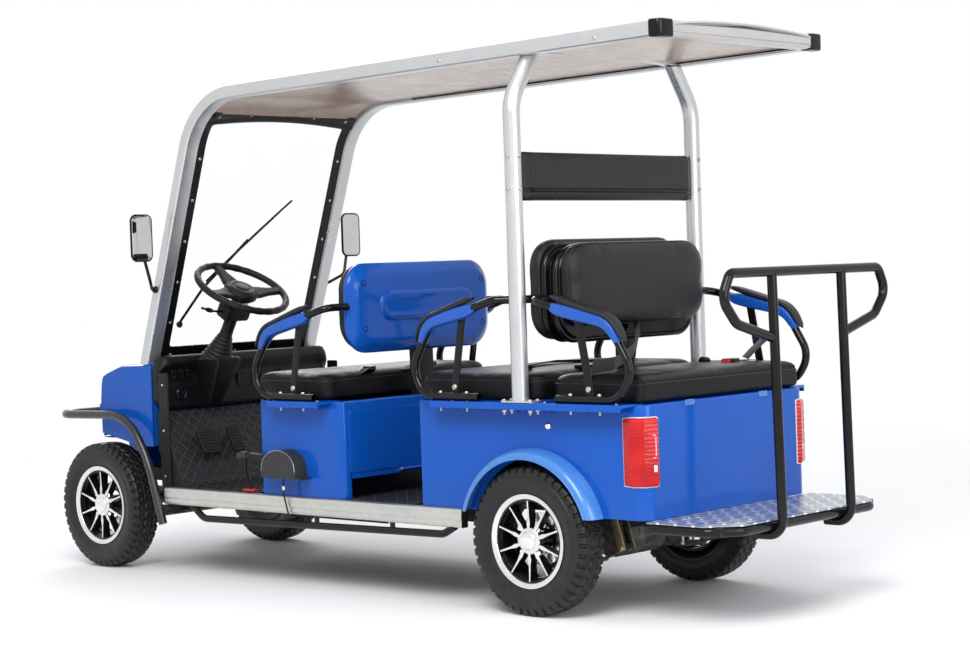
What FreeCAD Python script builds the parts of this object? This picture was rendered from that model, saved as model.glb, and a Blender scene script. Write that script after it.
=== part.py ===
import FreeCAD, Part
import math
import os

# A six-seat electric golf cart: two rows facing forward, one row facing back.
# Lengths are millimetres. X points to the cart's left side, Y to its rear, Z up.
# The pieces are drawn with the rear axle at Y = 0 and the ground at Z = 0, then
# moved along Y so that the origin lies on the ground under the middle of the cart.
# Bars and rings are drawn with flat sides; pins and their bores are truly round.

# Driving sizes
wheelbase = 2178.0
body_half_width = 430.0
track_inset = 10.0
half_track = body_half_width - track_inset
tyre_radius = 237.5
tyre_width = 118.0
panel_wall = 4.0
seating_gap = 0.3
running_gap = 0.05
loose_gap = 1.0
overrun = 40.0
axle_height = tyre_radius
front_axle_y = -wheelbase
front_reach = 2456.0
rear_reach = 785.0
middle_y = (rear_reach - front_reach) / 2
tube_sides = 8
bore_sides = 16
tube_turn = 34.0
panel_turn = 22.5
eye_sides = 6
arm_sides = 6

# Floor and frame
floor_top = 320.0
floor_thickness = 9.0
floor_rear_y = -466.0
toe_foot_y = -1720.0
toe_head_y = -1858.0
toe_bend_radius = 40.0
rail_width = 40.0
rail_depth = 50.0
rail_inset = 130.0
rail_x = body_half_width - rail_inset
front_rail_x = 170.0
front_rail_lift = 45.0
front_rail_front_y = -2360.0
front_rail_rear_run = 378.0
main_rail_front_y = front_axle_y + front_rail_rear_run
rear_rail_lift = 45.0
rear_rail_depth = 40.0
kick_start_y = -360.0
kick_run = 70.0
cross_size = 40.0
cross_seat_y = -1080.0
cross_body_y = -510.0
cross_rear_y = 400.0
rail_top = floor_top - floor_thickness
rail_bottom = rail_top - rail_depth
front_rail_bottom = rail_bottom + front_rail_lift
front_rail_top = front_rail_bottom + rail_depth
rear_rail_top = rail_top + rear_rail_lift
rear_rail_bottom = rear_rail_top - rear_rail_depth

# Sills and the bars under them
sill_front_y = -1800.0
sill_rear_y = -290.0
sill_width = 30.0
sill_bottom = 260.0
sill_top = 321.0
sill_groove = 4.0
groove_shares = (0.22, 0.30, 0.62, 0.70)
side_bar_diameter = 25.0
side_bar_drop = 44.0
side_bar_rise = 18.0
side_bar_front_y = -1665.0
side_bar_rear_y = -314.0
side_bar_run = 72.0
side_bar_bend = 60.0

# Front seat box, its shelves and its rear door
seat_box_front_y = -1281.0
seat_box_foot_recess = 12.0
seat_box_rear_y = -866.0
seat_box_top = 655.0
seat_box_corner = 30.0
deck_rim = 42.0
deck_hole_corner = 20.0
toe_gap = 68.0
door_side_margin = 40.0
door_top_margin = 38.0
door_low_margin = 26.0
door_lap = 6.0
door_wall = 3.0
hinge_barrel_radius = 5.0
hinge_pin_radius = 3.0
hinge_half_length = 150.0
hinge_lug = 10.0
hinge_gap = 2.5
flange_out = 62.0
flange_wall = 3.0
flange_lip = 22.0
flange_seat = 35.0
seat_flange_front_y = -1190.0
seat_flange_rear_y = -905.0

# Rear body
body_front_y = -493.0
body_bulge = 12.0
body_foot_recess = 20.0
body_bulge_z = 505.0
body_rear_y = 449.0
body_bottom = floor_top + seating_gap
body_top = 671.0
body_corner = 50.0
deck_beam_y = 38.0
deck_beam_width = 60.0
body_flange_front_y = -398.0
body_flange_rear_y = 417.0
arch_gap = 20.0
arch_radius = tyre_radius + arch_gap
arch_sides = 24
flare_out = 60.0
flare_band = 34.0
flare_wall = 4.0
flare_shoulder_share = 0.9
flare_middle_share = 0.5
liner_wall = 3.0
liner_depth = 92.0

# Cushions
cushion_half_width = body_half_width
cushion_corner = 60.0
cushion_small_corner = 20.0
cushion_edge = 18.0
front_cushion_front_y = -1306.0
front_cushion_rear_y = -942.0
front_cushion_top = 745.0
middle_cushion_front_y = -490.0
middle_cushion_rear_y = 28.0
middle_cushion_top = 757.0
rear_cushion_front_y = 58.0
rear_cushion_rear_y = 438.0
rear_cushion_top = 752.0
front_cushion_bottom = seat_box_top + flange_wall + seating_gap
rear_cushion_bottom = body_top + flange_wall + seating_gap

# Backrests
front_back_inset = 70.0
backrest_half_width = body_half_width - front_back_inset
front_pad_front_y = -950.0
front_shell_front_y = -912.0
front_back_bottom = 815.0
front_back_top = 1128.0
front_back_corner = 95.0
front_pad_lift = 8.0
shell_bevel = 26.0
boss_inset = 120.0
boss_half_length = backrest_half_width - boss_inset
boss_half_height = 53.0
boss_middle_z = 978.0
boss_out = 10.0
boss_bevel = 8.0
rear_back_inset = 64.0
rear_pad_half_width = body_half_width - rear_back_inset
rear_pad_bottom = 858.0
rear_pad_top = 1186.0
rear_pad_corner = 90.0
rear_pad_inset = 14.0
rear_pad_lift = 42.0
middle_pad_front_y = -60.0
middle_pad_rear_y = -8.0
rear_pad_front_y = 62.0
rear_pad_rear_y = 114.0
core_inset = 20.0
core_lift = 6.0
pad_edge = 12.0
bracket_half_width = 45.0
bracket_wall = 8.0
bracket_setback = 8.0
bracket_foot_run = 40.0
bracket_head_run = 30.0
bracket_knee_drop = 90.0

# Armrests: runs are measured along the cart from the foot's inner end,
# rises from the foot's middle line
arm_outset = 40.0
arm_x = body_half_width + arm_outset
arm_tube_diameter = 26.0
arm_heel_run = 242.0
arm_knee_run = 295.0
arm_knee_rise = 88.0
arm_head_run = 210.0
arm_head_rise = 231.0
arm_wrist_rise = 308.0
arm_heel_radius = 78.0
arm_head_radius = 90.0
arm_wrist_radius = 45.0
arm_pad_width = 50.0
arm_pad_depth = 36.0
arm_pad_start_share = 0.68
arm_pad_end_share = 0.86
arm_pad_tip = 34.0
flat_bar_foot_run = 122.0
flat_bar_head_run = 78.0
flat_bar_width = 30.0
flat_bar_wall = 6.0
front_arm_y = -956.0
front_arm_wrist_run = -66.0
front_arm_reach_share = 1.06
front_arm_rise_share = 0.96
middle_arm_y = -183.0
middle_arm_wrist_run = -68.0
middle_arm_elbow_inset = 25.0
middle_arm_elbow_x = body_half_width - middle_arm_elbow_inset
middle_arm_end_y = -34.0
rear_arm_y = 141.0
rear_arm_wrist_run = -99.0
rear_arm_reach_share = 1.02

# Roof, pillars and posts
pillar_foot_y = -1962.0
pillar_foot_z = 776.0
roof_knee_y = -1617.0
roof_knee_z = 1778.0
roof_rear_y = 552.0
roof_rear_z = 1818.0
roof_bend_radius = 300.0
rail_section_depth = 47.0
rail_outer_x = body_half_width
rail_section_width = 62.0
roof_panel_wall = 5.0
roof_panel_inset = 10.0
roof_crown = 22.0
roof_strips = 4
roof_panel_start_share = 0.87
post_outset = 36.0
post_x = body_half_width + post_outset
post_y = -12.0
post_diameter = 54.0
post_bend_z = 1620.0
post_bend_in = 98.0
post_bend_rise = 180.0
post_bend_radius = 150.0
post_plate_length = 130.0
post_plate_wall = 5.0
post_plate_inner = 3.0
post_plate_outer = 66.0
roof_beam_width = 44.0
headrest_lift = 117.0
headrest_height = 157.0
headrest_bottom = rear_pad_top + headrest_lift
headrest_top = headrest_bottom + headrest_height
headrest_depth = 38.0
headrest_low_corner = 6.0
headrest_top_corner = 16.0

# Windshield, wiper and mirrors
screen_setback = 37.0
screen_frame_wall = 8.0
screen_strip = 38.0
screen_head_strip = 48.0
screen_glass_wall = 4.0
screen_glass_margin = 10.0
screen_corner = 22.0
screen_head_z = 1655.0
screen_foot_lift = 22.0
wiper_pivot_inset = 140.0
wiper_pivot_x = body_half_width - wiper_pivot_inset
wiper_pivot_rise = 150.0
wiper_knee_inset = 230.0
wiper_knee_x = body_half_width - wiper_knee_inset
wiper_knee_rise = 290.0
wiper_hold_x = 20.0
wiper_hold_rise = 480.0
wiper_tip_x = -160.0
wiper_tip_rise = 640.0
wiper_spindle_radius = 12.0
wiper_spindle_length = 22.0
wiper_arm_diameter = 9.0
wiper_arm_out = 17.0
wiper_blade_size = 12.0
wiper_blade_out = 9.0
mirror_outset = 52.0
mirror_inner_x = rail_outer_x + mirror_outset
mirror_width = 100.0
mirror_bottom = 1160.0
mirror_height = 175.0
mirror_front_y = -1800.0
mirror_depth = 18.0
mirror_corner = 26.0
mirror_arm_diameter = 12.0
mirror_arm_head = 40.0
mirror_arm_bend = 26.0
mirror_arm_knee_out = 12.0
mirror_clamp_out = 18.0
mirror_arm_knee_z = 1090.0
mirror_clamp_y = -1842.0
mirror_clamp_z = 1056.0

# Cowl, dashboard and steering
cowl_rear_y = -1888.0
cowl_top = pillar_foot_z
cowl_break_y = -2080.0
cowl_lip_y = -2262.0
cowl_lip_z = 716.0
cowl_nose_y = -2368.0
cowl_nose_z = 610.0
cowl_nose_recess = 14.0
cowl_round = 60.0
cowl_corner_y = -2190.0
cowl_nose_steps = 10
cowl_low_z = front_rail_top + seating_gap
cowl_arch_z = 486.0
cowl_arch_depth = 208.0
cowl_arch_x = body_half_width - cowl_arch_depth
cowl_step_y = -2206.0
cowl_step_z = 530.0
dash_rear_y = -1830.0
dash_top = 806.0
dash_bottom = 600.0
dash_foot_run = 10.0
dash_foot_rise = 40.0
dash_brow = 18.0
dash_step = 8.0
dash_round = 12.0
pedestal_half_width = 62.0
pedestal_low_z = 634.0
pedestal_reach = 152.0
pedestal_face_z = 770.0
pedestal_top_z = 792.0
pedestal_round = 20.0
trim_front_y = -1844.0
trim_rear_y = -1787.0
trim_foot_run = 14.0
trim_top = 745.0
trim_shoulder = 30.0
trim_wall = 5.0
steering_x = 200.0
column_lean = 30.7
column_foot_y = -1775.0
column_foot_z = 790.0
boot_radius = 58.0
boot_length = 105.0
boot_neck = 12.0
boot_sides = 12
steering_wheel_z = 1050.0
steering_wheel_radius = 172.0
steering_grip_radius = 13.0
steering_shaft_radius = 12.0
steering_boss_radius = 42.0
steering_boss_depth = 34.0
steering_boss_drop = 30.0
steering_shaft_start = 42.0
steering_spoke_width = 26.0
steering_spoke_wall = 7.0
steering_spoke_drop = 12.0
steering_sides = 16
bore_lead = 2.0

# Bumper bar
bumper_diameter = 32.0
bumper_outset = 44.0
bumper_x = body_half_width + bumper_outset
bumper_front_y = bumper_diameter / 2 - front_reach
bumper_z = 580.0
bumper_seat_inset = 120.0
bumper_seat_x = body_half_width - bumper_seat_inset
bumper_seat_y = -1780.0
bumper_toe_inset = 30.0
bumper_toe_x = body_half_width - bumper_toe_inset
bumper_foot_y = -1805.0
bumper_foot_z = 205.0
bumper_back_y = -1873.0
bumper_back_z = 425.0
bumper_shoulder_y = -1985.0
bumper_shoulder_z = 588.0
bumper_foot_bend = 34.0
bumper_back_bend = 150.0
bumper_shoulder_bend = 90.0
bumper_nose_bend = 110.0

# Rear step, handrail and lamps
step_outset = 10.0
step_half_width = body_half_width + step_outset
step_front_y = body_rear_y + seating_gap
step_rear_y = 747.0
step_cut_y = 660.0
step_cut = 90.0
step_cut_x = step_half_width - step_cut
step_wall = 4.0
step_tube = 30.0
step_frame_reach = 107.0
step_frame_setback = 40.0
step_cross_run = 40.0
hitch_setback = 70.0
hitch_hole_radius = 5.5
hitch_spacing = 120.0
handrail_diameter = 30.0
handrail_y = rear_reach - handrail_diameter / 2
handrail_post_x = 187.0
handrail_top_z = 1060.0
handrail_lean = 14.0
handrail_foot_run = 95.0
handrail_foot_bend = 50.0
handrail_join_z = 861.0
handrail_low_inset = 68.0
handrail_low_x = step_half_width - handrail_low_inset
handrail_low_z = 911.0
handrail_wide_out = 1.0
handrail_wide_x = step_half_width + handrail_wide_out
handrail_wide_z = 985.0
handrail_top_inset = 40.0
handrail_top_x = step_half_width - handrail_top_inset
handrail_low_bend = 60.0
handrail_bend = 40.0
lamp_out = 14.0
lamp_bottom = 420.0
lamp_top = 635.0
lamp_wrap = 48.0
lamp_reach = 83.0
lamp_inner_x = body_half_width - lamp_wrap
lamp_front_y = body_rear_y - lamp_reach
head_lamp_half_width = 52.0
head_lamp_half_height = 34.0
head_lamp_corner = 28.0
head_lamp_out = 20.0
head_lamp_sink = 12.0
head_lamp_inset = 100.0
head_lamp_x = body_half_width - head_lamp_inset
head_lamp_y = -2246.0
head_lamp_z = 664.0
head_lamp_turn = 17.0

# Pedals, parking brake and battery
pedal_lift = 26.0
pedal_wall = 9.0
pedal_stem_radius = 9.0
accelerator_x = 110.0
accelerator_width = 60.0
accelerator_low = 90.0
accelerator_high = 230.0
brake_pedal_x = 230.0
brake_pedal_width = 84.0
brake_pedal_low = 130.0
brake_pedal_high = 210.0
park_cover_out = 62.0
park_cover_front_y = -1222.0
park_cover_rear_y = -1048.0
park_cover_bottom = 386.0
park_cover_top = 486.0
park_cover_head_run = 30.0
park_cover_foot_run = 50.0
park_cover_round = 46.0
park_lever_inner = 18.0
park_lever_outer = 44.0
park_lever_root_y = -1190.0
park_lever_low_z = 440.0
park_lever_high_z = 462.0
park_lever_under_z = 454.0
park_lever_knee_y = -1345.0
park_lever_knee_z = 470.0
park_lever_tip_y = -1372.0
park_lever_tip_z = 448.0
cable_diameter = 6.0
cable_out = 8.0
cable_drop = 60.0
cable_hang = 14.0
cable_start_y = -1130.0
cable_sill_y = -1105.0
cable_turn_y = -1075.0
cable_end_y = -640.0
cable_bend = 18.0
cable_sides = 6
battery_inset = 110.0
battery_half_width = body_half_width - battery_inset
battery_front_y = -1240.0
battery_rear_y = -930.0
battery_top = 590.0

# Wheels
wheel_sides = 20
rim_seat_radius = 127.0
rim_lip_radius = 149.0
rim_half_width = 52.0
rim_wall = 5.0
bead_half_width = 46.0
bead_gap = 3.0
tyre_bulge_radius = 186.0
tread_inset = 12.0
spoke_count = 10
spoke_width = 13.0
spoke_depth = 14.0
spoke_inner = 26.0
hub_radius = 42.0
hub_inner = 18.0
hub_outer = 44.0
hub_sides = 10
nose_radius = 28.0
nose_outer = 50.0
carrier_radius = 34.0
carrier_inner = 38.0
disc_radius = 84.0
disc_inner = 22.0
disc_outer = 16.0
disc_sides = 12

# Axles and steering linkage
spindle_radius = 10.0
spindle_reach = 34.0
kingpin_inset = 98.0
kingpin_x = half_track - kingpin_inset
kingpin_radius = 10.0
axle_eye_radius = 20.0
axle_eye_height = 50.0
beam_radius = 22.0
beam_pad = 30.0
beam_pad_rise = 3.0
fork_wall = 12.0
fork_web = 10.0
fork_clearance = 3.0
steering_arm = 110.0
steering_arm_width = 22.0
tie_rod_radius = 8.0
tie_rod_drop = 13.0
tie_eye_radius = 13.0
tie_eye_height = 20.0
tie_pin_radius = 6.0
tie_pin_length = 30.0
rear_tube_radius = 30.0
rear_tube_inset = 70.0
rear_tube_end = half_track - rear_tube_inset
rear_tube_sides = 10
case_radius = 92.0
case_half_width = 90.0
case_x = -20.0
case_flat = 20.0
case_neck_share = 0.65
motor_radius = 76.0
motor_length = 205.0
motor_x = 10.0
motor_y = 128.0
motor_z = 243.0

# Springs
spring_width = 30.0
hanger_wall = 5.0
hanger_half_width = 14.0
leaf_wall = 6.0
leaf_steps = 3
rear_spring_half_length = 263.0
rear_spring_top = 150.0
rear_spring_eye_z = 216.0
front_spring_half_length = 215.0
front_spring_sag = 12.0
shackle_lean = 27.0
eye_radius = 13.0
axle_seat_half_length = 28.0

X_AXIS = FreeCAD.Vector(1, 0, 0)
Y_AXIS = FreeCAD.Vector(0, 1, 0)
Z_AXIS = FreeCAD.Vector(0, 0, 1)


def vec(x, y, z):
    return FreeCAD.Vector(x, y, z)


def block(low, high):
    """A box between two opposite corners."""
    size = high.sub(low)
    return Part.makeBox(size.x, size.y, size.z, low)


def even(radii, count):
    """One radius for every corner, or the list of radii as given."""
    if isinstance(radii, (int, float)):
        return [radii] * count
    return radii


def rounded_line(points, radii, closed, turn):
    """The line with its corners rounded by tangent flat steps of about the given turn."""
    count = len(points)
    result = []
    for index, point in enumerate(points):
        radius = radii[index]
        if radius <= 0 or (not closed and index in (0, count - 1)):
            result.append(point)
            continue
        back = points[index - 1].sub(point).normalize()
        ahead = points[(index + 1) % count].sub(point).normalize()
        corner = back.getAngle(ahead)
        sweep = math.pi - corner
        start = point + back * (radius / math.tan(corner / 2))
        centre = point + back.add(ahead).normalize() * (radius / math.sin(corner / 2))
        arm = start - centre
        steps = max(1, round(math.degrees(sweep) / turn))
        for step in range(steps + 1):
            angle = sweep * step / steps
            result.append(centre + arm * math.cos(angle) - back * (radius * math.sin(angle)))
    return result


def prism(corners, radii, run, turn=panel_turn):
    """A flat outline with rounded corners carried along the run."""
    line = rounded_line(corners, even(radii, len(corners)), True, turn)
    return Part.Face(Part.makePolygon(line + [line[0]])).extrude(run)


def side_shape(points, x_low, x_high, radii=0, turn=panel_turn):
    """An outline of (y, z) points carried across from x_low to x_high."""
    return prism([vec(x_low, y, z) for y, z in points], radii, vec(x_high - x_low, 0, 0), turn)


def front_shape(points, y_low, y_high, radii=0, turn=panel_turn):
    """An outline of (x, z) points carried back from y_low to y_high."""
    return prism([vec(x, y_low, z) for x, z in points], radii, vec(0, y_high - y_low, 0), turn)


def plan_shape(points, z_low, z_high, radii=0, turn=panel_turn):
    """An outline of (x, y) points carried up from z_low to z_high."""
    return prism([vec(x, y, z_low) for x, y in points], radii, vec(0, 0, z_high - z_low), turn)


def skinned(rings, closed):
    """A solid through rings of the same number of points, capped unless it closes on itself."""
    faces = []
    count = len(rings[0])
    last = len(rings) if closed else len(rings) - 1
    for index in range(last):
        here = rings[index]
        onward = rings[(index + 1) % len(rings)]
        for step in range(count):
            after = (step + 1) % count
            loop = [here[step], onward[step], onward[after], here[after], here[step]]
            faces.append(Part.Face(Part.makePolygon(loop)))
    if not closed:
        for ring in (rings[0], rings[-1]):
            faces.append(Part.Face(Part.makePolygon(ring + [ring[0]])))
    solid = Part.Solid(Part.Shell(faces))
    if solid.Volume < 0:
        solid.reverse()
    return solid


def flat_sided(centre, heading, radius, sides):
    """Corners of a regular outline square to the heading, one flat facing up.

    The radius reaches the middles of its flats.
    """
    ahead = vec(heading.x, heading.y, heading.z).normalize()
    beside = Z_AXIS if abs(ahead.x) > math.cos(math.pi / 4) else X_AXIS
    across = (beside - ahead * beside.dot(ahead)).normalize()
    upward = ahead.cross(across)
    reach = radius / math.cos(math.pi / sides)
    start = 0 if sides // 2 % 2 else math.pi / sides
    corners = []
    for index in range(sides):
        angle = start + 2 * math.pi * index / sides
        corners.append(centre + across * (reach * math.cos(angle)) + upward * (reach * math.sin(angle)))
    return corners


def tube(points, radii, diameter, sides=tube_sides, turn=tube_turn):
    """A flat-sided bar mitred along a line whose corners are rounded in flat steps."""
    line = rounded_line(points, even(radii, len(points)), False, turn)
    headings = [after.sub(before).normalize() for before, after in zip(line, line[1:])]
    rings = [flat_sided(line[0], headings[0], diameter / 2, sides)]
    for index, heading in enumerate(headings):
        onward = headings[min(index + 1, len(headings) - 1)]
        mitre = heading + onward
        ring = []
        for corner in rings[-1]:
            distance = (line[index + 1] - corner).dot(mitre) / heading.dot(mitre)
            ring.append(corner + heading * distance)
        rings.append(ring)
    return skinned(rings, False)


def rod(start, end, radius, sides=0):
    """A straight bar between two points: round, or with flat sides where a count is given."""
    run = end.sub(start)
    if sides == 0:
        return Part.makeCylinder(radius, run.Length, start, run)
    return prism(flat_sided(start, run, radius, sides), 0, run)


def faceted_ring(points, centre, sides):
    """A closed (radius, offset) outline turned about X in flat steps, one side facing down."""
    stretch = 1 / math.cos(math.pi / sides)
    rings = []
    for index in range(sides):
        angle = 2 * math.pi * (index + 0.5) / sides
        y = math.sin(angle) * stretch
        z = -math.cos(angle) * stretch
        rings.append([vec(centre.x + along, centre.y + y * radius, centre.z + z * radius)
                      for radius, along in points])
    return skinned(rings, True)


def faceted_drum(radius, x_low, x_high, centre, sides):
    """A flat-sided drum along X, one side facing down."""
    stretch = radius / math.cos(math.pi / sides)
    corners = []
    for index in range(sides):
        angle = 2 * math.pi * (index + 0.5) / sides
        corners.append(vec(centre.x + x_low, centre.y + math.sin(angle) * stretch,
                           centre.z - math.cos(angle) * stretch))
    return prism(corners, 0, vec(x_high - x_low, 0, 0))


def mirrored(shape):
    return shape.mirror(vec(0, 0, 0), X_AXIS)


def pair(shape):
    """The shape and its mirror image on the cart's right side."""
    return [shape, mirrored(shape)]


def joined(shapes):
    """One solid of all the shapes, with leftover seams removed."""
    whole = shapes[0].multiFuse(shapes[1:])
    return whole.removeSplitter()


def offset_line(points, distance):
    """The (y, z) line moved sideways by the distance, to the right of its heading."""
    moved = []
    for (y0, z0), (y1, z1) in zip(points, points[1:]):
        length = math.hypot(y1 - y0, z1 - z0)
        shift_y = (z1 - z0) / length * distance
        shift_z = -(y1 - y0) / length * distance
        moved.append(((y0 + shift_y, z0 + shift_z), (y1 + shift_y, z1 + shift_z)))
    result = [moved[0][0]]
    for (a, b), (c, d) in zip(moved, moved[1:]):
        run_1 = (b[0] - a[0], b[1] - a[1])
        run_2 = (d[0] - c[0], d[1] - c[1])
        cross = run_1[0] * run_2[1] - run_1[1] * run_2[0]
        share = ((c[0] - a[0]) * run_2[1] - (c[1] - a[1]) * run_2[0]) / cross
        result.append((a[0] + run_1[0] * share, a[1] + run_1[1] * share))
    result.append(moved[-1][1])
    return result


def bevelled(solid, size, edges):
    """The solid with a flat bevel along the given edges."""
    return solid.makeChamfer(size, edges)


def save(name, shapes):
    """Write one node's solids, moved so that the origin is under the cart's middle."""
    if not isinstance(shapes, list):
        shapes = [shapes]
    moved = []
    for shape in shapes:
        for solid in shape.Solids:
            copy = solid.copy()
            copy.translate(vec(0, -middle_y, 0))
            moved.append(copy)
    whole = moved[0] if len(moved) == 1 else Part.makeCompound(moved)
    whole.exportStep("parts/" + name + ".step")
    print(name, len(moved), round(whole.Volume / 1e6, 3), whole.isValid())


# Frame and floor

def frame_rails():
    """The kicked-up main rails and the narrow front rails."""
    inner = rail_x - rail_width / 2
    outer = rail_x + rail_width / 2
    rear_end = body_rear_y - panel_wall - seating_gap
    kick_end = kick_start_y + kick_run
    main = side_shape([
        (main_rail_front_y, rail_bottom), (kick_start_y, rail_bottom), (kick_end, rear_rail_bottom),
        (rear_end, rear_rail_bottom), (rear_end, rear_rail_top), (kick_end, rear_rail_top),
        (kick_start_y, rail_top), (main_rail_front_y, rail_top),
    ], inner, outer)
    front = block(vec(front_rail_x - rail_width / 2, front_rail_front_y, front_rail_bottom),
                  vec(front_rail_x + rail_width / 2, main_rail_front_y, front_rail_top))
    return pair(main) + pair(front)


def cross_members():
    """The bars between the rails and the outriggers beside them, butted against the rails."""
    inner = rail_x - rail_width / 2
    outer = rail_x + rail_width / 2
    shapes = []
    for y in (main_rail_front_y, cross_seat_y, cross_body_y):
        shapes.append(block(vec(-inner, y, rail_bottom), vec(inner, y + cross_size, rail_top)))
        shapes += pair(block(vec(outer, y, rail_bottom), vec(body_half_width, y + cross_size, rail_top)))
    shapes.append(block(vec(-inner, cross_rear_y, rear_rail_bottom),
                        vec(inner, cross_rear_y + cross_size, rear_rail_top)))
    front_half = front_rail_x - rail_width / 2
    shapes.append(block(vec(-front_half, front_rail_front_y, front_rail_bottom),
                        vec(front_half, front_rail_front_y + cross_size, front_rail_top)))
    return shapes


def toe_line():
    """The floor's upper face from the rear body to the head of the toe board."""
    return [(floor_rear_y, floor_top), (toe_foot_y, floor_top), (toe_head_y, dash_bottom - seating_gap)]


def floor_deck():
    """The flat floor bent up into the sloping toe board."""
    line = toe_line()
    lower = offset_line(line, -floor_thickness)
    return side_shape(line + lower[::-1], -body_half_width, body_half_width,
                      [0, toe_bend_radius, 0, 0, toe_bend_radius, 0])


def sill():
    """An aluminium side sill with two long grooves."""
    inner = body_half_width + seating_gap
    outer = body_half_width + sill_width
    deep = outer - sill_groove
    height = sill_top - sill_bottom
    levels = [sill_bottom + height * share for share in groove_shares]
    points = [
        (inner, sill_bottom), (outer, sill_bottom), (outer, levels[0]), (deep, levels[0]),
        (deep, levels[1]), (outer, levels[1]), (outer, levels[2]), (deep, levels[2]),
        (deep, levels[3]), (outer, levels[3]), (outer, sill_top), (inner, sill_top),
    ]
    return front_shape(points, sill_front_y, sill_rear_y)


def side_bar():
    """The bent round bar hung under the sill."""
    x = body_half_width + sill_width / 2
    low = sill_bottom - side_bar_drop
    bar = tube([
        vec(x, side_bar_front_y - side_bar_diameter, sill_bottom + side_bar_diameter),
        vec(x, side_bar_front_y + side_bar_run, low),
        vec(x, side_bar_rear_y - side_bar_run, low + side_bar_rise),
        vec(x, side_bar_rear_y + side_bar_diameter, sill_bottom + side_bar_diameter),
    ], side_bar_bend, side_bar_diameter)
    return bar.cut(block(vec(0, sill_front_y, sill_bottom),
                         vec(2 * x, sill_rear_y + overrun, sill_bottom + 2 * overrun)))


# Seat box, rear body and shelves

def side_shelf(front_y, rear_y, level):
    """The folded shelf along a side that carries armrests and posts."""
    inner = body_half_width - flange_seat
    outer = body_half_width + flange_out
    lip = level - flange_lip + flange_wall
    points = [
        (inner, level), (outer - flange_wall, level), (outer - flange_wall, lip),
        (outer, lip), (outer, level + flange_wall), (inner, level + flange_wall),
    ]
    return front_shape(points, front_y, rear_y)


def seat_box_solid(inset, low, high):
    """The front seat box's outer form, drawn in by the inset; its front leans back."""
    half = body_half_width - inset
    height = seat_box_top - floor_top
    front_low = seat_box_front_y + inset - seat_box_foot_recess * (seat_box_top - low) / height
    front_high = seat_box_front_y + inset - seat_box_foot_recess * (seat_box_top - high) / height
    rear = seat_box_rear_y - inset
    radius = seat_box_corner - inset
    plan = plan_shape([
        (-half, front_low - overrun), (half, front_low - overrun), (half, rear), (-half, rear),
    ], low, high, [0, 0, radius, radius])
    side = side_shape([
        (front_low, low), (rear + overrun, low), (rear + overrun, high), (front_high, high),
    ], -half - overrun, half + overrun)
    return plan.common(side)


def door_opening():
    """Half width, lower and upper edge of the hole in the seat box's rear face."""
    half = body_half_width - door_side_margin
    return half, floor_top + toe_gap + door_low_margin, seat_box_top - door_top_margin


def hinge_axis():
    """Where the rear door's hinge pin lies, as (y, z)."""
    half, low, high = door_opening()
    reach = hinge_barrel_radius / math.cos(math.pi / tube_sides)
    return seat_box_rear_y + reach + seating_gap, low - door_lap - hinge_gap - hinge_barrel_radius


def front_seat_box():
    """An open-topped box with a rear door opening, its hinge pin, a toe gap and side shelves."""
    shell = seat_box_solid(0, floor_top + seating_gap, seat_box_top)
    hollow = seat_box_solid(panel_wall, floor_top - overrun, seat_box_top - panel_wall)
    side = body_half_width - deck_rim
    top_hole = plan_shape([
        (-side, seat_box_front_y + deck_rim), (side, seat_box_front_y + deck_rim),
        (side, seat_box_rear_y - deck_rim), (-side, seat_box_rear_y - deck_rim),
    ], seat_box_top - overrun, seat_box_top + overrun, deck_hole_corner)
    rear_inner = seat_box_rear_y - 2 * panel_wall
    toe_side = body_half_width - seat_box_corner
    toe = block(vec(-toe_side, rear_inner, floor_top - overrun),
                vec(toe_side, seat_box_rear_y + overrun, floor_top + toe_gap))
    half, low, high = door_opening()
    opening = block(vec(-half, rear_inner, low), vec(half, seat_box_rear_y + overrun, high))
    shell = shell.cut(hollow).cut(top_hole).cut(toe).cut(opening)
    shapes = [shell] + pair(side_shelf(seat_flange_front_y, seat_flange_rear_y, seat_box_top))
    y, z = hinge_axis()
    end = hinge_half_length + hinge_lug
    shapes.append(rod(vec(-end, y, z), vec(end, y, z), hinge_pin_radius))
    shapes += pair(block(vec(hinge_half_length, seat_box_rear_y, z - hinge_barrel_radius),
                         vec(end, y + hinge_barrel_radius, z + hinge_barrel_radius)))
    return joined(shapes)


def seat_box_door():
    """The locked flap over the opening, with the hinge barrel along its lower edge."""
    half, low, high = door_opening()
    inner = seat_box_rear_y + seating_gap
    outer = inner + door_wall
    y, z = hinge_axis()
    barrel_end = hinge_half_length - loose_gap
    flap = block(vec(-half - door_lap, inner, low - door_lap), vec(half + door_lap, outer, high + door_lap))
    barrel = rod(vec(-barrel_end, y, z), vec(barrel_end, y, z), hinge_barrel_radius, tube_sides)
    strap = block(vec(-barrel_end, inner, z), vec(barrel_end, outer, low))
    bore = rod(vec(-half, y, z), vec(half, y, z), hinge_pin_radius + running_gap, tube_sides)
    return joined([flap, barrel, strap]).cut(bore)


def body_solid(inset, low, high):
    """The rear body's outer form: bulged front edge, round rear corners."""
    half = body_half_width - inset
    rear = body_rear_y - inset
    front = body_front_y + inset
    radius = body_corner - inset
    plan = plan_shape([
        (-half, front - body_bulge - overrun), (half, front - body_bulge - overrun),
        (half, rear), (-half, rear),
    ], low, high, [0, 0, radius, radius])
    side = side_shape([
        (front + body_foot_recess, body_bottom), (front + body_foot_recess, low - overrun),
        (rear + overrun, low - overrun), (rear + overrun, high + overrun), (front, high + overrun),
        (front, body_top), (front - body_bulge, body_bulge_z),
    ], -half - overrun, half + overrun)
    return plan.common(side)


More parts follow.
